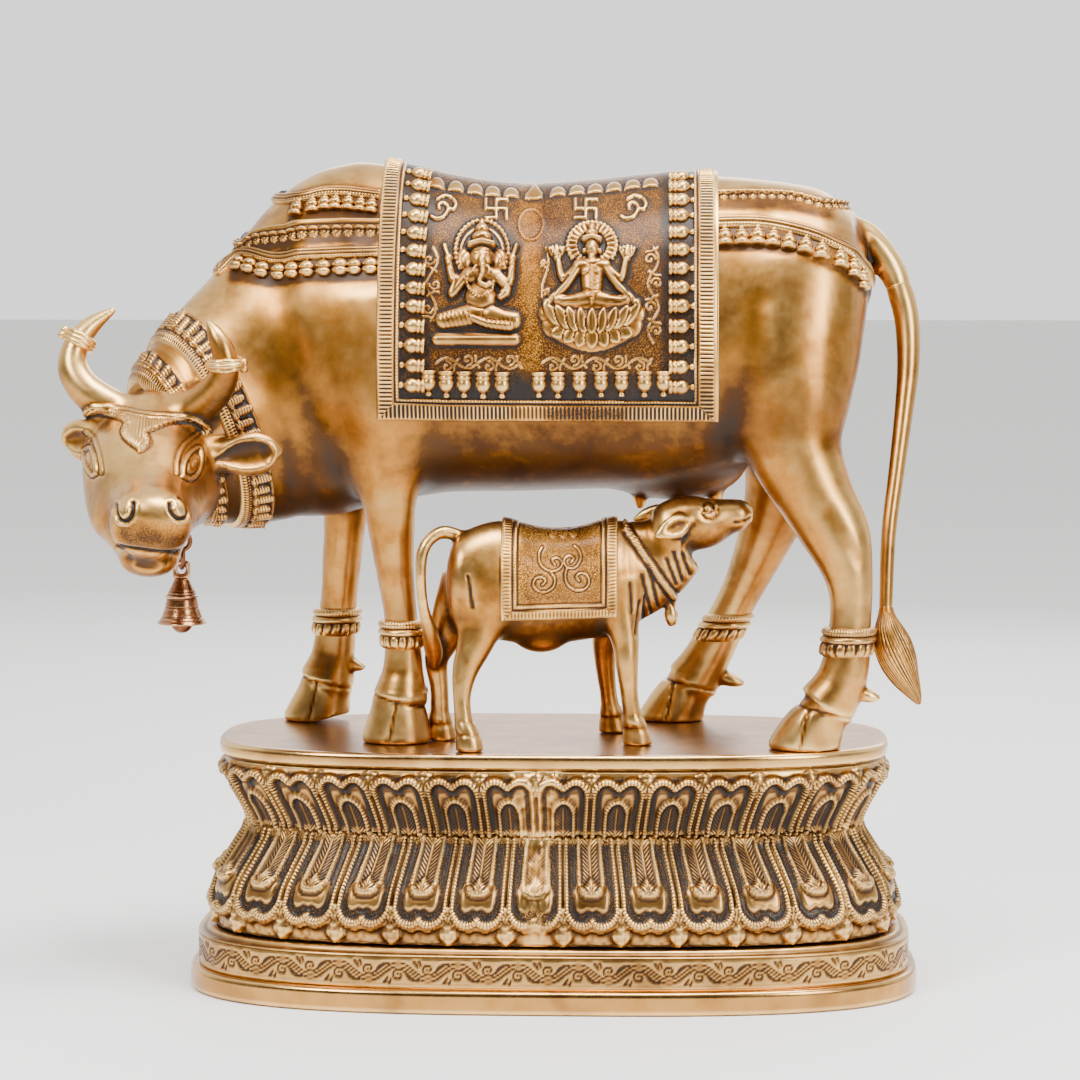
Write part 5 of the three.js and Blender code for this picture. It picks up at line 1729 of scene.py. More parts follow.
@dataclass(frozen=True)
class Scatter:
    """A Geometry Nodes tree that puts one shape at many places, each turned its own way."""

    name: str = "Cast ornament on points"
    unevenness: float = 0.03
    seed: int = 7

    def tree(self) -> bpy.types.NodeTree:
        """The tree, made once and used again."""
        if self.name in bpy.data.node_groups:
            return bpy.data.node_groups[self.name]
        tree = bpy.data.node_groups.new(self.name, "GeometryNodeTree")
        for label, kind in (
            ("Geometry", "NodeSocketGeometry"), ("Shape", "NodeSocketObject"),
            ("Size", "NodeSocketFloat"), ("Unevenness", "NodeSocketFloat"), ("Seed", "NodeSocketInt"),
            ("Finish", "NodeSocketMaterial")
        ):
            tree.interface.new_socket(label, in_out="INPUT", socket_type=kind)
        tree.interface.new_socket("Geometry", in_out="OUTPUT", socket_type="NodeSocketGeometry")
        given = tree.nodes.new("NodeGroupInput").outputs
        shape = add_node(tree, "GeometryNodeObjectInfo", Object=given["Shape"]).outputs["Geometry"]
        way = add_node(
            tree, "GeometryNodeInputNamedAttribute", {"data_type": "FLOAT_VECTOR"}, Name="way"
        ).outputs["Attribute"]
        out = add_node(
            tree, "GeometryNodeInputNamedAttribute", {"data_type": "FLOAT_VECTOR"}, Name="out"
        ).outputs["Attribute"]
        turn = add_node(
            tree, "FunctionNodeAxesToRotation", {"primary_axis": "Z", "secondary_axis": "Y"},
            Primary_Axis=way, Secondary_Axis=out
        )
        less = maths(tree, "SUBTRACT", 1.0, given["Unevenness"])
        more = maths(tree, "ADD", 1.0, given["Unevenness"])
        chance = add_node(tree, "FunctionNodeRandomValue", {"data_type": "FLOAT"}, Seed=given["Seed"])
        tree.links.new(less, chance.inputs[2])
        tree.links.new(more, chance.inputs[3])
        size = maths(tree, "MULTIPLY", given["Size"], chance.outputs[1])
        placed = add_node(
            tree, "GeometryNodeInstanceOnPoints", Points=given["Geometry"], Instance=shape,
            Rotation=turn.outputs[0], Scale=size
        )
        real = add_node(
            tree, "GeometryNodeRealizeInstances", Geometry=placed.outputs["Instances"]
        ).outputs[0]
        dressed = add_node(
            tree, "GeometryNodeSetMaterial", Geometry=real, Material=given["Finish"]
        ).outputs[0]
        tree.links.new(dressed, tree.nodes.new("NodeGroupOutput").inputs["Geometry"])
        return tree

    def build(
        self, name: str, places: Array, ways: Array, outs: Array, size: float, shape: bpy.types.Object,
        finish: bpy.types.Material
    ) -> None:
        """Makes one piece of the cow from many like ornaments.

        Args:
            name: the piece's name.
            places: where each stands, in millimetres.
            ways: the direction of each one's length.
            outs: the direction each faces.
            size: a scale for all of them.
            shape: the ornament.
            finish: its material.
        """
        mesh = bpy.data.meshes.new(name + "_points")
        mesh.from_pydata(((places + UP * PLATE_TOP) * MM).tolist(), [], [])
        for key, values in (("way", ways), ("out", outs)):
            mesh.attributes.new(key, "FLOAT_VECTOR", "POINT").data.foreach_set(
                "vector", unit(values).astype(np.float32).ravel()
            )
        holder = bpy.data.objects.new(name + "_points", mesh)
        bpy.context.scene.collection.objects.link(holder)
        modifier = holder.modifiers.new("ornament", "NODES")
        modifier.node_group = self.tree()
        values = {
            "Shape": shape, "Size": size, "Unevenness": self.unevenness, "Seed": self.seed,
            "Finish": finish
        }
        for item in modifier.node_group.interface.items_tree:
            if item.in_out == "INPUT" and item.name in values:
                modifier[item.identifier] = values[item.name]
        holder.update_tag()
        bpy.context.view_layer.update()
        baked = bpy.data.meshes.new_from_object(holder.evaluated_get(bpy.context.evaluated_depsgraph_get()))
        holder.modifiers.clear()
        bpy.data.objects.remove(holder)
        add_piece(name, baked, finish, Slot.COW, "cow")


def ornament(name: str, profile: Sequence, sides: int, flat: float = 1.0) -> bpy.types.Object:
    """A small turned shape to be scattered, its length up Z.

    Args:
        name: its name.
        profile: rows of radius and height in millimetres.
        sides: its number of sides.
        flat: a share by which it is flattened along Y.

    Returns:
        An object that is not itself in the scene.
    """
    shell = turned(profile, sides)
    shell.points[:, 1] *= flat
    wear = shell.wear(0.54, 1.6, 1, 0.5)
    blank = Marks.blank(len(shell.points))
    mesh = mesh_of(name, shell, wear, blank, 0.0)
    close_poles(mesh)
    return bpy.data.objects.new(name, mesh)


@dataclass
class SmallShapes:
    """The shapes that are repeated: two bells and a round bell."""

    lying_bell: Sequence = (
        (0, 0.8), (4.8, 0.0), (5.9, 0.4), (6.0, 2.0), (4.9, 2.9), (4.7, 3.6), (5.5, 4.2), (5.6, 5.4),
        (4.8, 6.1), (5.0, 7.0), (5.7, 8.6), (5.6, 11.0), (4.6, 13.2), (2.8, 14.8), (1.6, 15.5),
        (1.6, 16.2), (2.5, 17.2), (2.4, 18.9), (0, 20.0),
    )
    hanging_bell: Sequence = (
        (0, 0.8), (5.6, 0.2), (6.6, 0.8), (6.6, 3.2), (5.7, 4.4), (4.4, 5.2), (4.5, 6.0), (5.9, 6.8),
        (6.1, 9.0), (5.4, 10.2), (4.0, 10.9), (4.1, 11.6), (4.8, 12.3), (3.9, 13.6), (1.6, 14.6),
        (1.5, 15.1), (2.6, 16.3), (2.2, 17.8), (0, 18.4),
    )
    round_bell: Sequence = (
        (0, 0), (3.6, 0.7), (5.7, 2.8), (6.2, 4.6), (4.6, 5.5), (4.6, 6.4), (6.2, 7.2), (5.7, 9.6),
        (3.4, 12.0), (1.6, 12.8), (1.7, 14.3), (0, 15),
    )

    def make(self) -> dict[str, bpy.types.Object]:
        """Makes all the shapes, by name."""
        return {
            "lying_bell": ornament("lying_bell", self.lying_bell, 12, 0.9),
            "hanging_bell": ornament("hanging_bell", self.hanging_bell, 12, 0.9),
            "round_bell": ornament("round_bell", self.round_bell, 12, 0.85),
        }


@dataclass(frozen=True)
class Garland:
    """One row of trim: a band along a line on the hide with a row of ornaments below it."""

    name: str
    near: tuple
    crest: tuple
    width: float
    height: float
    ribs: float
    shape: str
    count: int
    size: float = 1.0
    scallops: int = 0


SHOULDER_ROWS = (
    Garland(
        "first", ((-127, 411), (-150, 414), (-170, 414.5), (-193, 410)), (-212, 0), 8.5, 2.6, 1.0,
        "hanging_bell", 7, 0.8
    ),
    Garland(
        "second", ((-126, 386), (-150, 386.4), (-170, 386), (-195, 384), (-226, 379)), (-240, -12), 9.5,
        2.4, 0.0, "", 0, 1.0, 13
    ),
    Garland(
        "third", ((-126, 369), (-150, 368.6), (-182, 367.5), (-209, 364.5), (-238, 368)), (-254, -20),
        9.0, 3.4, 0.5, "round_bell", 10, 1.0
    ),
)
CRUPPER_ROWS = (
    Garland(
        "crupper", ((121, 391), (155, 391), (186, 385), (214, 374), (234, 358)), (243, 0), 11.0, 3.2, 0.5,
        "hanging_bell", 10, 0.95
    ),
    Garland(
        "crupper_top", ((121, 410), (150, 411), (178, 410), (204, 404)), (222, 0), 7.0, 2.2, 0.0, "", 0,
        1.0, 14
    ),
)


class Trim:
    """The rows of trim on the shoulder and rump."""

    @staticmethod
    def line(hide: Hide, row: Garland) -> Array:
        """The row's line on the hide, from its near end over or round to the far one."""
        near = np.array([hide.beside(x, z, -1) for x, z in row.near])
        far = np.array([hide.beside(x, z, 1) for x, z in row.near])
        x, y = row.crest
        found = None
        if row.name == "crupper":
            found = hide.hit(np.array([x + 80.0, y, row.near[-1][1] - 12]), np.array([-1.0, 0, 0]))
        turn = hide.above(x, y) if found is None else found[0]
        return np.concatenate([near, [turn], far[::-1]])

    @staticmethod
    def ribbon(hide: Hide, line: Array, width: float, columns: int, rows: int) -> tuple[Array, Array]:
        """A strip laid on the hide along a line.

        Args:
            hide: the cow's skin.
            line: points of the line.
            width: the strip's width.
            columns: points along it.
            rows: points across it.

        Returns:
            Points, from the strip's lower edge up, and outward directions.
        """
        path = resample(line, columns)
        _, normals = hide.nearest(path)
        for _ in range(8):
            normals[1:-1] = unit(normals[:-2] + normals[1:-1] + normals[2:])
        aside = unit(np.cross(np.gradient(path, axis=0), normals))
        offsets = np.linspace(-width / 2, width / 2, rows)
        grid = path[None] + aside[None] * offsets[:, None, None]
        places, _ = hide.nearest(grid.reshape(-1, 3))
        grid = soften(places.reshape(grid.shape), 3)
        return grid, grid_normals(grid, normals[None])

    def build(self, hide: Hide, finish: bpy.types.Material, scatter: Scatter, shapes: dict) -> None:
        """Makes every row with its ornaments.

        Args:
            hide: the cow's skin.
            finish: the material of all rows.
            scatter: what places the bells.
            shapes: the bells' shapes, by name.
        """
        for row in (*SHOULDER_ROWS, *CRUPPER_ROWS):
            line = self.line(hide, row)
            length = steps_of(curve(line)).sum()
            columns = int(length / (1.0 if row.scallops else 1.25))
            rows = 21 if row.scallops else 13
            width = row.width + (5.5 if row.scallops else 0)
            grid, out = self.ribbon(hide, line, width, columns, rows)
            lower = grid[:2, : columns // 3, 2].mean() < grid[-2:, : columns // 3, 2].mean()
            if not lower:
                grid, out = grid[::-1], out[::-1]
            run = np.linspace(0, length, columns)[None] + np.zeros((rows, 1))
            across = np.linspace(0, width, rows)[:, None] + np.zeros((1, columns))
            marks = Marks.blank(run.shape)
            share = across / width
            if row.scallops:
                beat = length / (2 * row.scallops + 6)
                beside = ((run + beat / 2) % beat) - beat / 2
                coin = np.hypot(beside, across - 5.0)
                radius = beat * 0.53
                marks.rise += (
                    3.4 * np.sqrt(np.clip(1 - (coin / radius) ** 2, 0, 1)) + groove(coin - 1.5, 1.2, 0.6)
                    - 1.7
                )
                marks.cut(
                    np.arctan2(-beside, 5.0 - across) * 3.4,
                    0.9 * (coin > 1.7) * (coin < radius) * (across < 6.2)
                )
                upper = smooth(6.4, 7.2, across)
                marks.rise += upper * (row.height + 1.4 + groove(across - width * 0.72, 1.6, 1.4))
            else:
                marks.rise += row.height * np.sqrt(np.clip(1 - ((share - 0.5) / 0.52) ** 2, 0, 1))
                marks.rise += (
                    groove(across - width * 0.36, 1.4, 1.2) + groove(across - width * 0.68, 1.4, 1.2)
                )
            marks.cut(
                run,
                row.ribs * smooth(0.30, 0.36, np.abs(share - 0.22)) if row.scallops
                else row.ribs * (share < 0.34)
            )
            ends = smooth(0, 3, run) * smooth(0, 3, length - run)
            top = grid + out * (marks.rise * ends + 0.5)[..., None]
            shell, extra = closed_sheet(top, out, 6)
            wear = shell.wear(0.47, 1.4, 3, 0.8)
            add_shell(f"cow_trim_{row.name}", shell, wear, finish, marks.flat().padded(0, extra))
            if row.shape:
                self.bells(hide, row, grid, out, finish, scatter, shapes[row.shape])

    @staticmethod
    def bells(hide: Hide, row: Garland, grid: Array, out: Array, finish: bpy.types.Material,
              scatter: Scatter, shape: bpy.types.Object) -> None:
        """Hangs a row's bells below it on both sides.

        Args:
            hide: the cow's skin.
            row: the row of trim.
            grid: its band's points, from the lower edge up.
            out: the outward direction at each.
            finish: the bells' material.
            scatter: what places them.
            shape: the shape of one bell.
        """
        run = run_along(grid[6])
        near = steps_of(curve([hide.beside(x, z, -1) for x, z in row.near])).sum()
        places, ways, outs = [], [], []
        tall = {"hanging_bell": 18.4, "round_bell": 15.0}[row.shape] * row.size
        for k in range(row.count):
            step = near * (k + 0.55) / row.count
            for at in (step, run[-1] - step):
                j = int(np.clip(np.searchsorted(run, at), 1, grid.shape[1] - 2))
                down = unit(grid[0, j] - grid[-1, j])
                down = unit(down * 0.5 + np.array([0, 0, -1.0]) * 0.5)
                facing = out[0, j]
                down = unit(down - facing * (down @ facing))
                foot, normal = hide.nearest((grid[0, j] + down * (tall - 1.5))[None])
                head = grid[0, j] - down * 0.5 + facing * 1.0
                mouth = foot[0] + normal[0] * 1.4
                places.append(mouth)
                ways.append(head - mouth)
                outs.append(facing)
        scatter.build(
            f"cow_trim_{row.name}_bells", np.array(places), np.array(ways), np.array(outs), row.size,
            shape, finish
        )


def ring_quads(rows: int, columns: int) -> Array:
    """Faces of a grid that closes on itself both ways."""
    return sheet_quads(rows + 1, columns, wrap_columns=True) % (rows * columns)


@dataclass(frozen=True)
class Collar:
    """A collar round the neck, in a plane of its own."""

    name: str
    place: tuple
    facing: tuple
    width: float
    rise: float
    drops: int
    drop_rows: float


COLLARS = (
    Collar("broad", (-261.5, -37.2, 239.6), (0.737, 0.581, 0.344), 26, 6.0, 46, 0.70),
    Collar("narrow", (-282, -55.2, 223), (0.778, 0.522, 0.35), 20, 5.0, 38, 0.60),
)


@dataclass
class Harness:
    """The collars and the anklets."""

    columns: int = 352

    def collar(self, hide: Hide, one: Collar, finish: bpy.types.Material) -> None:
        """Makes one collar, ribbed at its upper edge and hung with leaf drops.

        Args:
            hide: the cow's skin.
            one: the collar.
            finish: its material.
        """
        place, facing = np.array(one.place, float), unit(np.array(one.facing, float))
        side = unit(np.cross(facing, UP))
        up = np.cross(side, facing)
        angles = np.linspace(0, TAU, self.columns, endpoint=False)
        ways = np.cos(angles)[:, None] * up + np.sin(angles)[:, None] * side
        offsets = np.linspace(-one.width / 2, one.width / 2, 24)
        grid = np.zeros((len(offsets), self.columns, 3))
        for i, offset in enumerate(offsets):
            for j, way in enumerate(ways):
                found = hide.hit(place + facing * offset + way * 190, -way)
                grid[i, j] = found[0] if found is not None else place + facing * offset + way * 50
        for _ in range(6):
            grid = mix(grid, (np.roll(grid, 1, 1) + np.roll(grid, -1, 1)) / 2, 0.6)
        out = np.broadcast_to(ways[None], grid.shape)
        run = np.broadcast_to(run_along(grid[9])[None], grid.shape[:2])
        across = np.broadcast_to(((offsets + one.width / 2) / one.width)[:, None], run.shape)
        marks = Marks.blank(run.shape)
        split = 1 - one.drop_rows
        roll = np.sqrt(np.clip(1 - ((across - split / 2) / (split * 0.62)) ** 2, 0, 1))
        marks.rise += one.rise * 0.7 * roll - 0.9 * np.exp(
            -((np.abs(across - split / 2) - split * 0.22) * one.width / 0.8) ** 2
        )
        marks.cut(run, 1.5 * smooth(split * 0.52, split * 0.4, np.abs(across - split / 2)))
        beat = run[0, -1] / one.drops
        order = np.floor((run + beat / 2) / beat)
        beside = np.abs(((run + beat / 2) % beat) - beat / 2)
        along = (across - split) / one.drop_rows
        reach = np.where(order % 2 == 0, 0.94, 0.80)
        tube = np.clip(1 - (beside / (beat * 0.40)) ** 2, 0, 1) * (along > 0.05) * smooth(
            reach + 0.05, reach - 0.03, along + 0.3 * (beside / beat * 2) ** 2
        )
        ball = np.clip(
            1 - (
                (np.abs(beside - beat / 2) / 2.3) ** 2
                + (((along - 0.2) * one.width * one.drop_rows) / 2.3) ** 2
            ),
            0, 1
        )
        marks.rise += (along > -0.04) * (
            one.rise * 0.12 + one.rise * 0.66 * np.sqrt(tube) + 2.6 * np.sqrt(ball)
        )
        marks.rise += (along > 0.93) * one.rise * 0.25
        marks.cut(along * one.width * one.drop_rows * 1.1, 1.3 * (tube > 0.1))
        # Painted shade on the ground between the drops.
        marks.rub_and_painted_light -= 0.26 * (along > 0) * (tube < 0.12) * (ball < 0.05)
        top = grid + out * marks.rise[..., None]
        floor = [grid[-1] - out[-1] * 5, grid[0] - out[0] * 5]
        points = np.concatenate([top, np.array(floor)])
        shell = Shell(points.reshape(-1, 3), ring_quads(len(points), self.columns))
        shell.faced((shell.normals()[9 * self.columns] * out[9, 0]).sum() >= 0)
        wear = shell.wear(0.52, 1.1, 4, 0.9)
        add_shell(f"cow_collar_{one.name}", shell, wear, finish, marks.flat().padded(0, 2 * self.columns))

    @staticmethod
    def anklet(name: str, leg: LegShape, finish: bpy.types.Material) -> None:
        """Makes one anklet: a ribbed ring, a plain ring and a row of drops.

        Args:
            name: the leg's name.
            leg: the leg.
            finish: the anklet's material.
        """
        shank = np.array(leg.shank, float)
        x0, y0, z0, radius = leg.anklet
        order = np.argsort(shank[:, 2])
        rows = [
            (10.5, -3), (10.8, 0.4), (9.6, 3.2), (7.6, 4.0), (5.4, 3.4), (4.6, 1.8), (4.2, 2.2),
            (2.6, 3.8), (0.4, 3.8), (-0.8, 2.0), (-1.6, 2.2), (-3.4, 2.9), (-5.6, 2.9), (-8.0, 2.6),
            (-10.0, 2.0), (-11.2, 0.6), (-11.4, -3)
        ]
        columns = 112
        angle = np.linspace(0, TAU, columns, endpoint=False)
        drops = 15
        rings, marks = [], Marks.blank((len(rows) + 2, columns))
        for i, (dz, lift) in enumerate(rows):
            z = z0 + dz
            cx, cy = (
                np.interp(z, shank[order, 2], shank[order, 0]),
                np.interp(z, shank[order, 2], shank[order, 1])
            )
            a, b = (
                np.interp(z, shank[order, 2], shank[order, 3]),
                np.interp(z, shank[order, 2], shank[order, 4])
            )
            beat = np.abs(((angle * drops / TAU) % 1.0) - 0.5) * 2
            extra = np.zeros(columns)
            if dz < -1.2:
                extra = (
                    2.0 * np.sqrt(
                        np.clip(1 - (beat / 0.82) ** 2, 0, 1)
                    ) * smooth(-11.6 + 2.2 * beat, -8.6, dz)
                    - 1.5
                )
                extra -= 0.9 * np.exp(-((beat / 0.2) ** 2)) * (-9 < dz < -3)
            size = lift + 0.6 + extra
            rings.append(
                np.stack(
                    [
                        cx + (a + size) * np.cos(angle), cy + (b + size) * np.sin(angle),
                        np.full(columns, z)
                    ],
                    axis=1
                )
            )
            if 5 < dz < 10.5:
                marks.rib[i + 1], marks.ribbed[i + 1] = angle * radius, 1.0
        rings = [
            rings[0] * (0.6, 0.6, 1) + (x0 * 0.4, y0 * 0.4, 0), *rings,
            rings[-1] * (0.6, 0.6, 1) + (x0 * 0.4, y0 * 0.4, 0)
        ]
        shell = swept(np.array(rings))
        wear = shell.wear(0.48, 1.7, 4, 0.8)
        add_shell(f"cow_anklet_{name}", shell, wear, finish, marks.flat().padded(columns, columns))

    def build(self, hide: Hide, finish: bpy.types.Material) -> None:
        """Makes the collars and anklets."""
        for one in COLLARS:
            self.collar(hide, one, finish)
        for name, leg in COW_LEGS.items():
            self.anklet(name, leg, finish)


def inside_of(x: Array, y: Array, outline: Sequence) -> Array:
    """Which places lie inside a closed outline.

    Args:
        x: places, across.
        y: places, up.
        outline: the outline's corners.

    Returns:
        True for each place inside.
    """
    points = np.array(outline, float)
    inside = np.zeros(np.shape(x), bool)
    for (ax, ay), (bx, by) in zip(points, np.roll(points, -1, axis=0)):
        crosses = (ay > y) != (by > y)
        at = ax + (y - ay) * (bx - ax) / (by - ay if by != ay else 1e-9)
        inside ^= crosses & (x < at)
    return inside


def outlined(x: Array, y: Array, path: Sequence) -> tuple[Array, Array, Array]:
    """Half of an outline that ends on the line x = 0, its middle.

    Args:
        x: places, across, as distances from the middle.
        y: places, up.
        path: the half outline's points.

    Returns:
        Distances to the outline, shares of its length, and which places lie inside it.
    """
    line = curve(path)
    far = -30.0
    closed = [*line, (far, path[-1][1]), (far, path[0][1])]
    return (*stroke(x, y, line), inside_of(x, y, closed))


@dataclass
class FaceChasing:
    """The cow's eyes, nostrils, mouth and forehead cloth, set out on an upright plane as seen.

    Places are X and height in millimetres on the plane at depth.
    """

    depth: float = -130.0
    near_lid: Sequence = (
        (-266.0, 206), (-265.0, 215), (-260.5, 223), (-253.5, 226.5), (-253.0, 218), (-255.5, 209),
        (-260.5, 204)
    )
    near_brow: Sequence = ((-269.8, 208), (-270.0, 216), (-267.0, 225), (-261.5, 232), (-254.5, 237.5))
    near_ball: tuple = (-259.0, 214.6, 3.9, 7.4, -22)
    left_lid: Sequence = (
        (-337.5, 224), (-333.2, 226.5), (-329.4, 219), (-328.8, 209.5), (-331.8, 207), (-336.4, 215)
    )
    left_brow: Sequence = ((-337.0, 238), (-331.5, 234), (-327.6, 225), (-325.4, 214), (-325.2, 208))
    left_ball: tuple = (-332.6, 216.6, 2.3, 6.8, 12)
    left_nostril: Sequence = (
        (-314.5, 185), (-314.0, 178), (-310.5, 173), (-305.6, 174.5), (-303.2, 179), (-302.6, 186)
    )
    right_nostril: Sequence = (
        (-275.6, 185.5), (-274.5, 180), (-269.5, 175), (-264.0, 176), (-262.8, 181), (-265.5, 187),
        (-269, 190)
    )
    mouth: Sequence = ((-315, 155), (-306, 153), (-296.9, 151.8), (-284, 150.2), (-274, 150.4), (-265, 153))
    band_top: Sequence = (
        (-339, 250.5), (-336.8, 253.5), (-333.2, 256.2), (-328.1, 257.3), (-318.7, 256.6), (-305.6, 254),
        (-292.6, 251.5), (-275.2, 250.4), (-260.6, 249.3), (-253.4, 246.8), (-248.3, 243.1), (-246, 240),
    )
    band_foot: Sequence = (
        (-250, 239.5), (-254, 243.5), (-259.2, 245.7), (-265, 246), (-270.8, 245.7), (-276.6, 244.6),
        (-282.4, 242.4), (-288.2, 240.2), (-291.9, 238), (-289.7, 231.5), (-292.6, 227.1), (-297, 224.2),
        (-299.9, 226.4), (-304.9, 230), (-309.3, 234.4), (-310.7, 239.5), (-308.5, 243.9), (-310, 246.8),
        (-314.4, 248.2), (-320.2, 249.7), (-326, 251.1), (-331.8, 250.4), (-336, 249.3),
    )

    def marks(self, points: Array, normals: Array) -> Marks:
        """How each point of the head is raised, cut and punched by the chasing."""
        x, z = seen(points, self.depth)
        marks = Marks.blank(len(points))
        facing = smooth(0.02, 0.25, -normals[:, 1])
        for lid, brow, ball in (
            (self.near_lid, self.near_brow, self.near_ball),
            (self.left_lid, self.left_brow, self.left_ball)
        ):
            marks.rise += self.eye(x, z, lid, brow, ball)
        front = smooth(-148, -166, points[:, 1])
        for nostril in (self.left_nostril, self.right_nostril):
            path = curve(nostril)
            d, _ = stroke(x, z, path)
            middle = path.mean(0) + (0, 3)
            swell = np.exp(-(((x - middle[0]) / 7) ** 2 + ((z - middle[1]) / 8) ** 2))
            marks.rise += front * (
                1.8 * swell + groove(d, 3.0, 2.8) + 0.6 * ridge(np.abs(d - 3.0), 2.4, 1.0)
            )
            marks.rub_and_painted_light -= 0.3 * front * smooth(1.6, 0.8, d)
        d, _ = stroke(x, z, curve(self.mouth))
        marks.rise += front * (groove(d, 3.0, 3.2) + 0.7 * np.exp(-(((d - 4) / 3) ** 2)))
        marks.rub_and_painted_light -= 0.3 * front * smooth(1.7, 0.9, d)
        muzzle = smooth(176, 171, z) * smooth(152, 157, z) * smooth(-317, -311, x) * smooth(-262, -268, x)
        marks.stipple += 0.42 * front * muzzle
        self.forehead_cloth(x, z, points, marks)
        marks.rise *= facing
        marks.ribbed *= facing
        return marks

    @staticmethod
    def eye(x: Array, z: Array, lid: Sequence, brow: Sequence, ball: tuple) -> Array:
        """An eye: a swelling lid round a ball with a ring chased in it, and a brow fold above.

        Args:
            x: the head's points, across.
            z: the head's points, up.
            lid: the lid's outline.
            brow: the brow's line.
            ball: the ball's middle, its two radii, and its lean in degrees.

        Returns:
            How far each point is raised.
        """
        edge = curve([*lid, lid[0]])
        d, _ = stroke(x, z, edge)
        within = inside_of(x, z, edge)
        cx, cz, rx, rz, lean = ball
        c, s = math.cos(math.radians(lean)), math.sin(math.radians(lean))
        u, v = (x - cx) * c + (z - cz) * s, -(x - cx) * s + (z - cz) * c
        r = np.hypot(u / rx, v / rz)
        swell = 2.4 * np.exp(-(((x - cx) / 10) ** 2 + ((z - cz) / 13) ** 2))
        socket = np.where(within, -1.3 * smooth(0, 1.8, d), 0)
        dome = 2.0 * np.sqrt(np.clip(1 - r * r * 0.9, 0, 1)) * within
        ring = groove((r - 0.55) * min(rx, rz), 1.2, 0.9) * within
        fold, _ = stroke(x, z, curve(brow))
        lids = 1.1 * ridge(d, 2.8, 1.0) + groove(d - 2.3, 1.3, 0.9) * ~within
        return (
            swell + socket + dome + ring + lids + 0.5 * ridge(fold, 4.4, 1.0)
            + groove(fold - 1.8, 1.4, 1.0)
        )

    def forehead_cloth(self, x: Array, z: Array, points: Array, marks: Marks) -> None:
        """The fringed cloth along the horns' foot, with its pendant down the forehead.

        Args:
            x: the head's points, across, as seen.
            z: the head's points, up, as seen.
            points: the head's points.
            marks: the head's marks, which the cloth is added to.
        """
        upper, foot = curve(self.band_top), curve(self.band_foot, 4)
        within = inside_of(x, z, np.concatenate([upper, foot]))
        top, run = stroke(x, z, upper)
        edge, along = stroke(x, z, foot)
        hanging = along < 0.40
        teeth = np.where(hanging, 0.8 * np.abs(np.sin(along * math.pi * 34)) - 0.4, 0)
        length = 112.0
        near = smooth(-62, -74, points[:, 1])
        signed = np.where(within, edge, -edge) + teeth
        marks.rise += near * 1.2 * smooth(-0.5, 0.8, np.minimum(signed, np.where(within, 9, -top) + 9))
        marks.rise += near * (1.0 * ridge(top - 0.8, 1.7, 1.0) + 0.9 * ridge(top - 3.0, 1.5, 1.0) * within)
        marks.rise += near * groove(signed + 1.2, 1.6, 0.7) * (top > 2.5)
        marks.rub_and_painted_light -= near * 0.15 * smooth(1.1, 0.4, np.abs(signed + 1.1)) * (top > 2.5)
        marks.rub_and_painted_light -= near * 0.20 * smooth(0.9, 0.4, np.abs(top - 1.9)) * (z < 262)
        ribbed = within & (top > 4.0) & (edge > 0.7) & (hanging | (edge < 4.2))
        marks.cut(np.where(hanging, run * length, along * 150), near * np.where(ribbed, 1.0, 0.0))


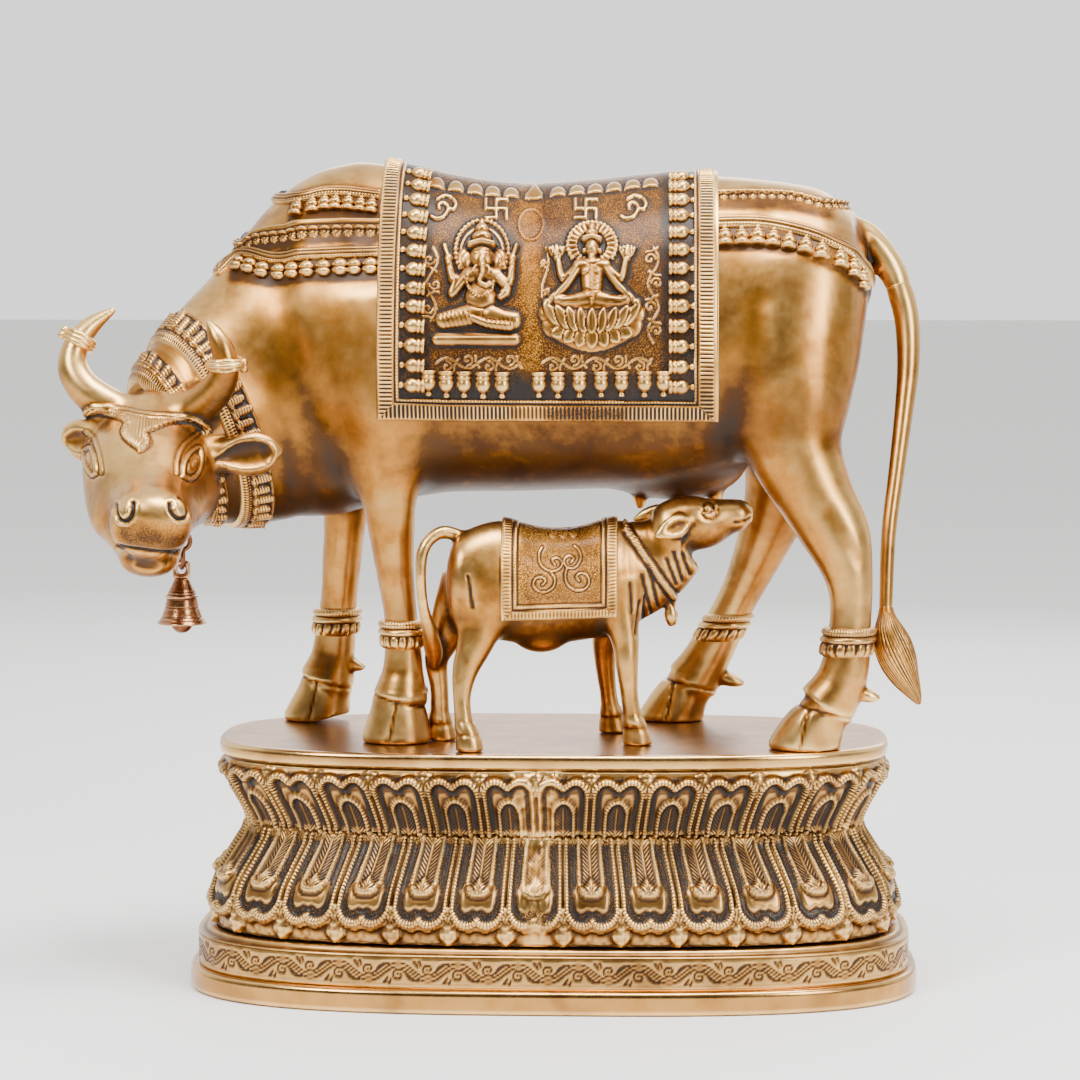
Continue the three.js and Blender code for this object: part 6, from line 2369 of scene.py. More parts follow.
@dataclass
class CowFigure:
    """The cow's own metal: trunk and legs, head and horns, feet, and the tuft of the tail."""

    pitch: float = 3.6
    head_pitch: float = 1.44
    foot_pitch: float = 1.9
    anklet_height: float = 78.0
    finish: CastBrass = field(default_factory=lambda: CastBrass("Brown patinated cast brass"))

    @staticmethod
    def trunk_in(block: Block) -> Block:
        """Joins the trunk, neck and legs in an empty block."""
        block.join(Barrel(BARREL), 4).join(neck_tube(), 14)
        for name, leg in COW_LEGS.items():
            block.join(Tube.limb(leg.shank), 22 if "front" in name else 26)
        return block

    def body_block(self) -> Block:
        """The trunk, neck, legs and tail joined as one field."""
        block = self.trunk_in(Block((-306, -112, 30), (286, 112, 446), self.pitch))
        block.join(UDDER, 14).join(Tube.limb([*TAIL[:5], [267, -11, 320, 5, 5]]), 12)
        for x, y in TEATS:
            block.join(
                Tube.limb(
                    [
                        [x, y, 196, 6, 6], [x, y, 182, 5.4, 5.4], [x, y, 175, 3.6, 3.6],
                        [x, y, 173, 1.5, 1.5]
                    ]
                ),
                4
            )
        return block.keep(beyond_collar(1)).keep(self.above_feet)

    def hide(self) -> Hide:
        """The trunk and neck, uncut, as a skin to lay trappings on."""
        return Hide(self.trunk_in(Block((-320, -112, 150), (256, 112, 446), 4.0)).skin())

    def above_feet(self, p: Array) -> Array:
        """Keeps what is above the feet, but leaves the tail whole."""
        cut = self.anklet_height - p[:, 2]
        return np.where((p[:, 0] > 238) & (p[:, 1] > -72) & (p[:, 2] > 90), -10.0, cut)

    def build_body(self, finish: bpy.types.Material) -> None:
        """Makes the trunk piece."""
        shell = self.body_block().skin()
        x, _, z = shell.points.T
        self.smooth_out(shell, smooth(46, 20, np.abs(x + 190)) * smooth(214, 240, z), 30)
        shell = shell.raised(self.body_chasing(shell.points, shell.normals()))
        # Painted light on the upper sides and painted shade on the undersides.
        wear = shell.wear(0.56, 0.6, 12, 1.6) + self.painted_top_light_under_shade(shell)
        # Painted shade under the rows of trim and their bells, and painted shade on the lower front legs.
        wear -= 0.32 * self.painted_shade_under_trim(shell.points) + 0.09 * smooth(-100, -120, x) * smooth(190, 160, z)
        add_shell("cow_body", shell, wear, finish)

    @staticmethod
    def body_chasing(p: Array, n: Array) -> Array:
        """Soft folds of the shoulder, flank and knees, raised on the trunk."""
        x, y, z = p.T
        side = np.sign(y)
        rise = np.zeros(len(p))
        near = smooth(0.2, 0.6, np.abs(n[:, 1]))
        shoulder, _ = stroke(x, z, curve([(-194, 322), (-190, 288), (-180, 246), (-166, 206)]))
        rise -= 2.4 * np.exp(-((shoulder / 11) ** 2)) * near * smooth(330, 290, z)
        flank, _ = stroke(x, z, curve([(128, 230), (140, 262), (150, 300), (152, 330)]))
        rise -= 2.2 * np.exp(-((flank / 12) ** 2)) * near
        hip = np.exp(-(((x - 168) / 18) ** 2 + ((z - 392) / 13) ** 2)) * near
        rise += 2.0 * hip
        hock, _ = stroke(x, z, [(205, 178), (228, 142)])
        rise -= 0.8 * np.exp(-((hock / 5) ** 2)) * (side < 0)
        return rise

    @staticmethod
    def painted_shade_under_trim(p: Array) -> Array:
        """Painted shade on the trunk, round the rows of trim and under their bells."""
        painted_shade = np.zeros(len(p))
        for row in (*SHOULDER_ROWS, *CRUPPER_ROWS):
            xs, zs = np.array(sorted(row.near)).T
            below = np.interp(p[:, 0], xs, zs) - p[:, 2]
            reach = 24.0 if row.shape else 13.0
            along = smooth(xs[0] - 9, xs[0] - 4, p[:, 0]) * smooth(xs[-1] + 9, xs[-1] + 4, p[:, 0])
            painted_shade = np.maximum(painted_shade, smooth(-7, -4, below) * smooth(reach, reach - 4, below) * along)
        return painted_shade

    @staticmethod
    def painted_top_light_under_shade(shell: Shell) -> Array:
        """How much brighter the upper sides are painted and how much darker the undersides: painted light
        from above and painted shade beneath.
        """
        up = shell.normals()[:, 2]
        return 0.08 * smooth(0.2, 0.9, up) - 0.26 * smooth(0.3, -0.7, up)

    @staticmethod
    def smooth_out(shell: Shell, share: Array, rounds: int) -> None:
        """Evens out the surface where share is above nothing."""
        shell.points = mix(shell.points, shell.mean_of_neighbours(shell.points, rounds), share[:, None])

    def build_head(self, finish: bpy.types.Material) -> None:
        """Makes the head piece, with its horns and ears."""
        across = (1, 0, 0)
        block = Block((-376, -210, 120), (-190, 18, 338), self.head_pitch)
        block.join(neck_tube(), 8).keep(beyond_collar(-1))
        block.join(Tube.limb(HEAD, across), 14).join(Tube.limb(JAW, across), 16)
        block.join(Lump((-266, -84, 196), (16, 30, 30)), 14)
        block.join(Lump((-328, -84, 196), (12, 30, 30)), 14)
        block.limbs((LEFT_HORN, 10), (RIGHT_HORN, 10), (NEAR_EAR, 8), (FAR_EAR, 8))
        block.carve(Tube.limb(NEAR_HOLLOW), 0.8).carve(Tube.limb(FAR_HOLLOW), 1.2)
        shell = block.skin()
        self.smooth_out(shell, smooth(-182, -192, shell.points[:, 1]), 14)
        chasing = FaceChasing()
        marks = chasing.marks(shell.points, shell.normals())
        shell = shell.raised(marks.rise)
        # Painted light on the upper sides and painted shade on the undersides.
        wear = shell.wear(0.60, 1.1, 9, 1.1) + self.painted_top_light_under_shade(shell)
        wear -= 0.10 * self.ear_hollows(shell.points)
        beyond = (shell.points - COLLAR_PLANE[0]) @ COLLAR_PLANE[1]
        # Painted light on the side of the head beyond x = -290, and painted shade on the neck beside the
        # collar.
        wear += 0.07 * smooth(-290, -320, shell.points[:, 0]) - 0.12 * np.exp(-((beyond / 26) ** 2))
        add_shell("cow_head", shell, wear, finish, marks)

    @staticmethod
    def ear_hollows(p: Array) -> Array:
        """Where the points of the head lie in the hollow of an ear."""
        near = np.exp(
            -((((p[:, 0] + 226) / 16) ** 2) + ((p[:, 1] + 96) / 7) ** 2 + ((p[:, 2] - 219) / 10) ** 2)
        )
        far = np.exp(
            -((((p[:, 0] + 352) / 9) ** 2) + ((p[:, 1] + 93) / 7) ** 2 + ((p[:, 2] - 229) / 9) ** 2)
        )
        return np.clip((near + far) * 1.6, 0, 1)

    def build_feet(self, finish: bpy.types.Material) -> None:
        """Makes the four feet, from the anklets down."""
        for name, leg in COW_LEGS.items():
            hoof = np.array(leg.hoof, float)
            low = (hoof[:, 0].min() - 42, hoof[:, 1].min() - 34, -4)
            high = (hoof[:, 0].max() + 60, hoof[:, 1].max() + 34, self.anklet_height + 10)
            block = Block(low, high, self.foot_pitch)
            block.join(Tube.limb(leg.shank), 3).join(hoof_tube(leg.hoof), 12)
            cx, cy, cz = leg.claw
            for side in (-1, 1):
                block.join(
                    Tube.limb(
                        [
                            [cx - 18, cy + side * 3, cz + 3, 6, 5], [cx - 8, cy + side * 4.5, cz, 4.4, 4],
                            [cx - 1, cy + side * 5, cz - 1.5, 1.4, 1.4]
                        ]
                    ),
                    2.5
                )
            block.keep(self.foot_bounds(leg))
            shell = block.skin()
            shell = shell.raised(self.hoof_chasing(shell.points, leg))
            wear = shell.wear(0.54, 1.1, 8, 1.2) + 0.1 * smooth(36, 24, shell.points[:, 2])
            add_shell(f"cow_foot_{name}", shell, wear, finish)

    def foot_bounds(self, leg: LegShape) -> Callable[[Array], Array]:
        """Keeps a foot between its anklet and its sole, which lifts at the heel of a stepping foot."""
        toe = leg.hoof[-1][0]
        top = self.anklet_height + 4

        def field_of(p: Array) -> Array:
            """How far each point lies above the foot or below it."""
            sole = leg.heel * smooth(-8, 26, p[:, 0] - toe)
            return np.maximum(p[:, 2] - top, sole - p[:, 2])

        return field_of

    @staticmethod
    def hoof_chasing(p: Array, leg: LegShape) -> Array:
        """The line round the top of the hoof, the cleft between its toes and the edge of its heel."""
        x, y, z = p.T
        toe_x, toe_y = leg.hoof[-1][0], leg.hoof[-1][1]
        crown = 32.5 - 0.25 * (x - toe_x)
        rise = groove(z - crown, 2.6, 1.2)
        front = smooth(-2, -12, x - toe_x)
        cleft = groove(y - toe_y, 3.4, 3.0) * front * smooth(34, 24, z)
        heel = groove(x - toe_x + 5 - 0.2 * z, 2.8, 1.6) * (z < crown) * smooth(4, 9, np.abs(y - toe_y))
        return (rise + cleft + heel) * smooth(0, 3, z - leg.heel * smooth(-8, 26, x - toe_x))

    @staticmethod
    def build_ropes(finish: bpy.types.Material) -> None:
        """Makes the three-strand rope tied round each horn."""
        shell = None
        for place, axis, radius, pitch, pinch in HORN_ROPES:
            axis = unit(np.array(axis))
            front = unit(np.array([0.0, -1.0, 0.0]) + axis * axis[1])
            side = np.cross(axis, front)
            turn = np.linspace(0, TAU, 49)[:-1]
            for strand in (-1, 0, 1):
                spread = pitch * strand * mix(pinch, 1.0, np.abs(np.cos(turn)))
                bulge = (
                    radius + 0.7 + (1.6 if strand == 0 else 0.6) * (1.0 if pinch < 0.5 else 0.4)
                    + (1 - pinch) * 1.6 * np.abs(np.sin(turn))
                )
                line = (
                    np.array(place) + np.cos(turn)[:, None] * front * bulge[:, None]
                    + np.sin(turn)[:, None] * side * bulge[:, None] + axis * spread[:, None]
                )
                way = unit(line - np.array(place) - axis * spread[:, None])
                lean = np.linspace(0, TAU, 11)[:-1]
                wire = 2.3 + 0.10 * np.sin(turn * 14 + strand)
                points = (
                    line[:, None] + way[:, None] * (np.cos(lean)[None, :] * wire[:, None])[..., None]
                    + axis * (np.sin(lean)[None, :] * wire[:, None])[..., None]
                )
                part = Shell(points.reshape(-1, 3), ring_quads(48, 10))
                part.faced((part.normals()[0] * way[0]).sum() >= 0)
                shell = part if shell is None else shell.plus(part)
            knot = turned([(0, -3.4), (2.4, -2.6), (3.4, 0), (2.4, 2.6), (0, 3.4)], 12)
            for step in (0.0, 4.2):
                bead = Shell(
                    knot.points + np.array(place) + side * (radius + 4.0) * (1 if pinch < 0.5 else -1)
                    - axis * (step - 1) + front * 2,
                    knot.quads
                )
                shell = shell.plus(bead)
        wear = shell.wear(0.52, 1.1, 2, 0.5)
        add_shell("cow_horn_ropes", shell, wear, finish)

    @staticmethod
    def build_tail(finish: bpy.types.Material) -> None:
        """Makes the tail below its root, from inside the root down to the tuft."""
        tube = Tube.limb(TAIL[4:])
        angle = np.linspace(0, TAU, 28, endpoint=False)
        along = np.linspace(0, 1, len(tube.centres))
        grow = mix(0.90, 1.0, smooth(0.0, 0.07, along))[:, None, None]
        round_it = (
            tube.first[:, None] * np.cos(angle)[None, :, None]
            + tube.second[:, None] * np.sin(angle)[None, :, None]
        )
        shell = swept(tube.centres[:, None] + round_it * grow)
        worn = np.repeat(mix(0.74, 0.62, smooth(0.05, 0.4, along)), len(angle))
        worn = np.pad(worn, (len(shell.points) - len(worn)) // 2, mode="edge")
        add_shell("cow_tail", shell, worn, finish)

    @staticmethod
    def build_tuft(finish: bpy.types.Material) -> None:
        """Makes the tail's tuft, its hair in long wavy locks."""
        tube = Tube.limb(TAIL_TUFT, steps=8)
        angle = np.linspace(0, TAU, 96, endpoint=False)
        along = np.linspace(0, 1, len(tube.centres))[:, None]
        sway = angle[None] + 0.16 * np.sin(along * 6.0) - 0.3 * along
        locks = 0.93 + 0.06 * np.abs(np.sin(sway * 3.5)) + 0.05 * np.abs(np.sin(sway * 15 + 2 * along))
        locks = mix(1.0, locks, smooth(0.04, 0.2, along))
        rings = tube.centres[:, None] + (
            tube.first[:, None] * (np.cos(angle)[None] * locks)[..., None]
            + tube.second[:, None] * (np.sin(angle)[None] * locks)[..., None]
        )
        shell = swept(rings)
        marks = Marks.blank(locks.shape)
        marks.cut(sway * 13.0, smooth(0.05, 0.2, along) + np.zeros(locks.shape))
        marks.ribbed[:, [0, -1]] = 0
        wear = shell.wear(0.52, 1.3, 4, 0.8)
        add_shell("cow_tail_tuft", shell, wear, finish, marks.flat().padded(len(angle), len(angle)))

    def build(self) -> None:
        """Makes every piece of the cow's own metal."""
        finish = self.finish.make()
        self.build_body(finish)
        chased = replace(self.finish, name="Punched patinated cast brass", chased=True, rib_mm=2.2).make()
        self.build_head(chased)
        self.build_feet(finish)
        self.build_ropes(finish)
        self.build_tail(finish)
        self.build_tuft(chased)


# The plinth


@dataclass(frozen=True)
class PlanCurve:
    """The plinth's outline seen from above: a rounded oblong that an inset draws in."""

    length: float = 557.0
    width: float = 277.0
    power: float = 3.0

    def at(self, inset: Array, angle: Array) -> Array:
        """Points of the outline at insets and angles."""
        c, s = np.cos(angle), np.sin(angle)
        x = (self.length / 2 - inset) * np.sign(c) * np.abs(c) ** (2 / self.power)
        y = (self.width / 2 - inset) * np.sign(s) * np.abs(s) ** (2 / self.power)
        return np.stack([x, y], axis=-1)

    def angles(self, count: int, inset: float, shift: float = 0.0) -> Array:
        """Angles that divide the outline into equal lengths.

        Args:
            count: how many lengths.
            inset: how far in the outline is measured.
            shift: how far round the first one begins, in millimetres.

        Returns:
            The angles, in radians.
        """
        fine = np.linspace(0, TAU, 7201)
        run = run_along(self.at(inset, fine))
        wanted = (np.arange(count) / count + shift / run[-1]) % 1.0
        return np.interp(wanted * run[-1], run, fine)

    def rings(self, profile: Array, angles: Array) -> Array:
        """Rings of points, one for each row of height and inset."""
        flat = self.at(profile[:, 1:2], angles[None])
        height = np.broadcast_to(profile[:, 0][:, None, None], (*flat.shape[:2], 1))
        return np.concatenate([flat, height], axis=2)


@dataclass
class LotusPlinth:
    """The stand: a slab, a band of engraved vine, two rows of lotus petals and a plain plate."""

    plan: PlanCurve = field(default_factory=PlanCurve)
    petals: int = 30
    half_pitch: float = 21.6
    seam: float = -9.0
    deepest: float = 0.25
    lower_columns: int = 32
    lower_rows: int = 58
    upper_columns: int = 32
    upper_rows: int = 38
    band_columns: int = 42
    slab: Sequence = (
        (0, 2), (0.6, 0.6), (2, 0), (8, -0.3), (14.5, 0), (16.3, 0.8), (17.3, 2.6), (17.5, 5.4), (17.5, 9)
    )
    band: Sequence = (
        (17.5, 8), (17.9, 6.6), (19, 6), (40.6, 6), (41.8, 6.7), (42.2, 8.2), (42.8, 11.5), (45.2, 13),
        (46, 15), (46, 30)
    )
    lower: Sequence = (
        (45, 30), (45.5, 17.6), (48, 17.2), (53, 16.8), (58, 16.0), (64, 15.2), (74, 17), (86, 21),
        (98, 28.2), (108, 34.6), (117, 40), (124.6, 42.5),
    )
    upper: Sequence = (
        (124.4, 42.5), (131, 41), (140, 37), (150, 31.8), (160, 26.8), (166.5, 24.4), (171, 24.4),
        (174.5, 25.4), (178.4, 27.0),
    )
    plate: Sequence = (
        (178, 36), (178.1, 26), (178.8, 24), (180, 23.2), (186.6, 23), (188.4, 23.8), (189, 25.6),
        (189, 40), (189, 70)
    )
    finish: CastBrass = field(
        default_factory=lambda: CastBrass(
            "Olive patinated cast brass", body="#9f7136", bright="#ebbf76", shade="#56391d",
            hollow="#17100a", patch="#84602f", chased=True, rib_mm=2.6, cut=0.24
        )
    )

    def build(self) -> None:
        """Makes the plinth's pieces."""
        finish = self.finish.make()
        plain = CastBrass(
            "Smooth brown cast brass", body="#b47e38", bright="#e9bd76", shade="#754b1f", gloss=0.2,
            cloud_mm=80
        ).make()
        self.ring_piece("plinth_slab", resample(self.slab, 16), 400, None, plain)
        self.ring_piece(
            "plinth_band", resample(self.band, 36), self.band_columns * self.petals, self.vine, finish
        )
        self.ring_piece(
            "plinth_lower_petals", resample(self.lower, self.lower_rows),
            self.lower_columns * self.petals, self.lower_petal, finish
        )
        self.ring_piece(
            "plinth_upper_petals", resample(self.upper, self.upper_rows),
            self.upper_columns * self.petals, self.upper_petal, finish
        )
        self.ring_piece("plinth_plate", resample(self.plate, 26), 400, None, plain)

    def ring_piece(
        self, name: str, profile: Array, columns: int, chase: Callable | None, finish: bpy.types.Material
    ) -> None:
        """Makes one closed course of the plinth.

        Args:
            name: the piece's name.
            profile: rows of height and inset, from the bottom up.
            columns: points round the plinth.
            chase: the marks of one repeat from its rows' heights and columns, or None for a plain course.
            finish: its material.
        """
        angles = self.plan.angles(columns, 42.0, self.seam)
        rings = self.plan.rings(profile, angles)
        shell = swept(rings)
        marks = None
        if chase is not None:
            marks = chase(profile[:, 0], columns // self.petals).tiled(self.petals)
            self.fade_at_seam(marks, rings)
            marks = marks.flat().padded(columns, columns)
            shell = shell.raised(marks.rise)
            wear = np.maximum(shell.wear(0.52, 1.0, 7, 1.3), self.deepest)
        else:
            # The plate's top face is darkened: painted shade.
            wear = shell.wear(0.56, 0.8, 3, 1.0) - 0.13 * (shell.points[:, 2] > 188.9)
        add_piece(name, mesh_of(name, shell, wear, marks, 0.0), finish, Slot.PLINTH, "lotus_plinth")

    def fade_at_seam(self, marks: Marks, rings: Array) -> None:
        """Blurs the carving where the mould was joined, at the middle of the front."""
        x, y, z = rings[..., 0], rings[..., 1], rings[..., 2]
        beside = np.abs(x - self.seam)
        wide = np.where(z > 124.5, 17.0, 9.0)
        near = smooth(wide + 4, wide - 4, beside) * (y < 0) * (z > 46.5)
        lumps = hash_noise(x / 2.3 + 9, z / 5.0, 5) - 0.5
        marks.rise[:] = mix(
            marks.rise, np.where(z > 124.5, 0.45 * marks.rise, -0.2) + 1.6 * lumps, near * 0.8
        )
        marks.ribbed *= 1 - 0.8 * near
        marks.rub_and_painted_light += 0.12 * near

    def repeat(self, columns: int) -> Array:
        """Each column's distance from the middle of its repeat, less than nothing to the left."""
        return ((np.arange(columns) / columns) * 2 - 1) * self.half_pitch

    def lower_petal(self, height: Array, columns: int) -> Marks:
        """The marks of one hanging petal and half a bud on each side.

        Args:
            height: each row's height.
            columns: columns in one repeat.

        Returns:
            Its marks, row by row.
        """
        u, below = np.meshgrid(self.repeat(columns), 122.0 - height)
        at = np.abs(u)
        lip = [(19.6, -9), (19.9, 44), (18.6, 54), (14.2, 61), (7, 64), (3, 63.4), (0, 62)]
        rope = [(18.7, -9), (19.0, 41), (17.5, 50.5), (13, 56.4), (7.4, 58.2), (2.8, 57), (0, 54.2)]
        loop = [(9.0, -9), (9.3, 24), (8.8, 31), (5.9, 35.8), (0, 37.4)]
        bracket = [(13.4, 30), (13.6, 42), (11.6, 48), (7.5, 49.4), (3.4, 47.4), (0, 48.8)]
        d_lip, _, within = outlined(at, below, lip)
        marks = Marks.blank(u.shape)
        depth = mix(mix(2.6, 7.0, smooth(10, 56, below)), 3.2, smooth(60, 68, below))
        marks.rise -= np.where(within, 0.0, depth * smooth(0, 2.6, d_lip))
        marks.rise += 1.4 * np.sqrt(np.clip(1 - (at / 20) ** 2, 0, 1)) * within
        d_rope, along, inner = outlined(at, below, rope)
        rope_width = mix(3.0, 5.6, smooth(42, 56, below))
        marks.rise += inner * -1.5 * smooth(0, 1.6, d_rope)
        marks.rise += ridge(d_rope, rope_width, mix(1.9, 2.8, smooth(42, 56, below)))
        marks.cut(along * 90, 1.2 * smooth(rope_width * 0.65, rope_width * 0.4, d_rope))
        marks.stipple += inner * smooth(1.6, 3.0, d_rope) * 0.9
        d_loop, along, inside_loop = outlined(at, below, loop)
        loop_width = mix(3.0, 4.6, smooth(5, 34, below))
        marks.rise += ridge(d_loop, loop_width, 2.6) - 0.5 * np.exp(
            -(((d_loop - loop_width * 0.6) / 1.0) ** 2)
        )
        marks.cut(along * 60, 0.5 * smooth(loop_width * 0.55, loop_width * 0.3, d_loop))
        marks.stipple *= 1 - inside_loop
        marks.cut(
            below * 0.9 + at * 0.9, inside_loop * 1.1 * smooth(1.0, 2.2, d_loop) * smooth(1.0, 1.6, at)
        )
        marks.rise += ridge(at, 1.7, 1.1) * smooth(29, 26, below) * smooth(2, 4, below)
        tall = np.where(below < 34, 5.6 + 4.0 * np.exp(-((at / 2.4) ** 2)), 5.6)
        boss = np.clip(1 - (at / 9.8) ** 2 - ((below - 34.0) / tall) ** 2, 0, 1)
        marks.rise += 4.4 * np.sqrt(boss)
        marks.stipple *= boss < 0.01
        d_bracket, _, shield = outlined(at, below, bracket)
        shield &= ~inside_loop
        marks.rise += (
            1.3 * shield * smooth(0, 2.0, d_bracket) * smooth(1.4, 3.0, d_loop)
            + groove(d_bracket, 1.6, 0.7) * (below > 38)
        )
        marks.stipple *= ~shield
        low = inner & ~shield & (boss < 0.01)
        marks.rub_and_painted_light -= 0.17 * low * smooth(1.6, 3.0, d_rope) * smooth(
            loop_width * 0.5, loop_width * 0.8, d_loop
        )
        bud = self.half_pitch - at
        reach = np.interp(
            below, [46, 52, 57, 61, 65, 69, 72.5, 75], [0.3, 1.5, 3.4, 6.0, 7.8, 7.8, 5.2, 0.3]
        )
        swell = np.sqrt(np.clip(1 - (bud / reach) ** 2, 0, 1)) * (below > 46) * (below < 75)
        marks.rise += (
            swell * (depth + 2.2 * smooth(56, 64, below))
            + swell * groove(bud - 3.4, 1.6, 1.1) * (below > 60)
        )
        marks.rise += (
            swell * groove(below - 62, 1.6, 1.2) + swell * groove(below - 69.5, 1.4, 0.9) * (bud < 2.8)
        )
        ledge = smooth(63, 68, below) * (swell < 0.05)
        marks.rise += ledge * 0.9 * (hash_noise(u / 3.0 + 40, below / 2.5, 3) - 0.5)
        # The ledge under the hanging petals is lightened: painted light where it lies in shadow.
        marks.rub_and_painted_light -= 0.10 * (below < 3) - 0.10 * swell - 0.12 * ledge
        return marks

    def upper_petal(self, height: Array, columns: int) -> Marks:
        """The marks of one standing petal, half a repeat on from those below, and a bud at each side.

        Args:
            height: each row's height.
            columns: columns in one repeat.

        Returns:
            Its marks, row by row.
        """
        u, above = np.meshgrid(np.roll(self.repeat(columns), columns // 2), height - 127.0)
        at = np.abs(u)
        edge = [(19.4, -9), (19.8, 30), (18.9, 38.6), (14.4, 43.8), (8, 44.4), (3, 41.8), (0, 38.8)]
        rope = [(18.2, -9), (18.5, 29), (17.0, 36.6), (12.8, 40.6), (7.6, 41), (2.8, 38.4), (0, 35.8)]
        arch = [(8.8, -9), (8.9, 13), (8.0, 20), (4.6, 25), (0, 26.6)]
        bracket = [(13.0, 6), (13.4, 26), (11, 31.5), (6.5, 31.8), (2.6, 29.6), (0, 31.5)]
        d_edge, _, within = outlined(at, above, edge)
        marks = Marks.blank(u.shape)
        depth = mix(mix(3.0, 5.6, smooth(5, 38, above)), 2.4, smooth(41, 45, above))
        marks.rise -= np.where(within, 0.0, depth * smooth(0, 2.4, d_edge))
        d_rope, along, inner = outlined(at, above, rope)
        width = mix(3.0, 6.4, smooth(24, 38, above))
        marks.rise += inner * -2.6 * smooth(0, 2.0, d_rope) + ridge(
            d_rope, width, mix(1.8, 3.2, smooth(24, 38, above))
        )
        marks.cut(along * 70, 1.2 * smooth(width * 0.65, width * 0.4, d_rope))
        marks.stipple += inner * smooth(2.6, 3.4, d_rope) * smooth(5.6, 4.6, d_rope) * 0.9
        d_arch, along, inside_arch = outlined(at, above, arch)
        marks.rise += ridge(d_arch, mix(3.2, 5.2, smooth(10, 24, above)), 3.0) + 0.9 * inside_arch
        marks.rub_and_painted_light -= 0.12 * inside_arch * smooth(1.2, 2.4, d_arch)
        marks.cut(along * 40, 0.8 * smooth(2.2, 1.2, d_arch))
        marks.cut(
            above * 0.9 - at * 0.9, inside_arch * 0.8 * smooth(1.2, 2.2, d_arch) * smooth(0.9, 1.5, at)
        )
        marks.rise += ridge(at, 1.7, 1.0) * inside_arch * smooth(22, 20, above)
        d_bracket, _, shield = outlined(at, above, bracket)
        shield &= ~inside_arch
        marks.rise += (
            1.2 * shield * smooth(0, 1.6, d_bracket) * smooth(1.5, 3.0, d_arch) * smooth(12, 24, above)
        )
        bud = self.half_pitch - at
        reach = np.interp(above, [30, 36, 40, 43.5, 46, 48.2, 48.8], [0.3, 1.5, 2.6, 4.4, 5.8, 6.2, 0.3])
        swell = np.sqrt(np.clip(1 - (bud / reach) ** 2, 0, 1)) * (above > 30) * (above < 48.8)
        marks.rise += swell * (depth + 0.6) + swell * groove(above - 45.4, 1.6, 1.3)
        low = inner & (inside_arch | (d_rope < 6)) & (d_arch > 1.6)
        marks.rub_and_painted_light -= 0.08 + 0.10 * low * smooth(1.8, 3.2, d_rope) - 0.10 * swell
        return marks

    def vine(self, height: Array, columns: int) -> Marks:
        """The marks of one repeat of the engraved vine, a running stem with curled leaves.

        Args:
            height: each row's height.
            columns: columns in one repeat.

        Returns:
            Its marks, row by row.
        """
        pitch = 2 * self.half_pitch
        s, w = np.meshgrid(self.repeat(columns) + self.half_pitch, height - 19.0)
        marks = Marks.blank(s.shape)
        face = smooth(0.4, 1.6, w) * smooth(22.6, 21.2, w)
        middle, swing = 11.0, 5.6
        lines = []
        for copy in (-1, 0, 1):
            wave = np.linspace(0, 1, 25)
            for offset in (-1.5, 1.5):
                lines.append(
                    np.stack(
                        [(wave + copy) * pitch, middle + offset + swing * np.sin(wave * TAU)], axis=1
                    )
                )
            for start, way in ((0.25, 1), (0.75, -1)):
                turn = np.linspace(0, 1, 22)
                angle = way * (math.pi * 0.15 + turn * TAU * 1.35)
                size = mix(5.0, 0.9, turn)
                centre = ((start + copy) * pitch, middle - way * 2.2)
                lines.append(
                    np.stack(
                        [centre[0] + size * np.cos(angle), centre[1] + size * np.sin(angle) * 0.95],
                        axis=1
                    )
                )
                for k, reach in enumerate((1.0, 0.72, 0.45)):
                    bend = np.linspace(0, 1, 9)
                    lines.append(
                        np.stack(
                            [
                                centre[0] + 5.4 + bend * 9.5 * reach + k * 0.6,
                                centre[1] + way * (2.2 - k * 1.5 - 6.4 * reach * np.sin(bend * 1.5))
                            ],
                            axis=1
                        )
                    )
                tip = np.array(
                    [(-7.5, -1.5), (-10.5, -5.5), (-7.5, -4.6), (-6.4, -6.4), (-5.2, -3.0)]
                ) * (1, way)
                lines.append(tip + centre)
        best = np.full(s.shape, 9.0)
        for line in lines:
            d, _ = stroke(s, w, line)
            best = np.minimum(best, d)
        marks.rise += (groove(best, 1.5, 0.75) + 0.15) * face
        marks.rub_and_painted_light -= np.exp(-((best / 0.75) ** 2)) * 0.32 * face
        for edge in (1.0, 21.6):
            marks.rise += groove(w - edge, 1.3, 0.8)
            marks.rub_and_painted_light -= 0.3 * np.exp(-(((w - edge) / 0.7) ** 2))
        marks.rub_and_painted_light += 0.1 * (1 - smooth(23, 26, w))
        return marks


# The calf


# Barrel stations: x, y, top, bottom, half width. The others are limb stations, as for the cow.
CALF_BARREL = [
    [-77, -72, 134, 112, 6], [-73, -71, 152, 96, 20], [-64, -69, 162, 88, 27], [-38, -61, 169, 79, 31],
    [-8, -53, 162, 75, 32], [20, -45, 162, 77, 31], [42, -39, 167, 81, 29], [60, -35, 163, 90, 23],
    [70, -33, 148, 106, 12],
]
CALF_NECK = [
    [40, -40, 128, 34, 24], [58, -38, 128, 36, 22], [78, -37, 138, 32, 19], [96, -37, 151, 25, 16.5],
]
CALF_HEAD = [
    [80, -38, 160, 15, 12], [88, -38, 162, 20, 17], [102, -37, 165, 21, 17], [117, -36, 166, 19, 15.5],
    [132, -35, 170, 14, 12], [144, -34, 172, 11, 10.5], [151, -34, 172, 5, 6],
]
CALF_EARS = (
    ((104, -50, 168, 4, 3), (98, -55, 166, 9, 3.5), (88, -60, 162, 8, 3), (78, -63, 157, 1.5, 1.5)),
    ((92, -24, 172, 4, 3), (82, -20, 172, 7, 3.5), (70, -19, 169, 6, 3), (61, -19, 166, 1.5, 1.5)),
)
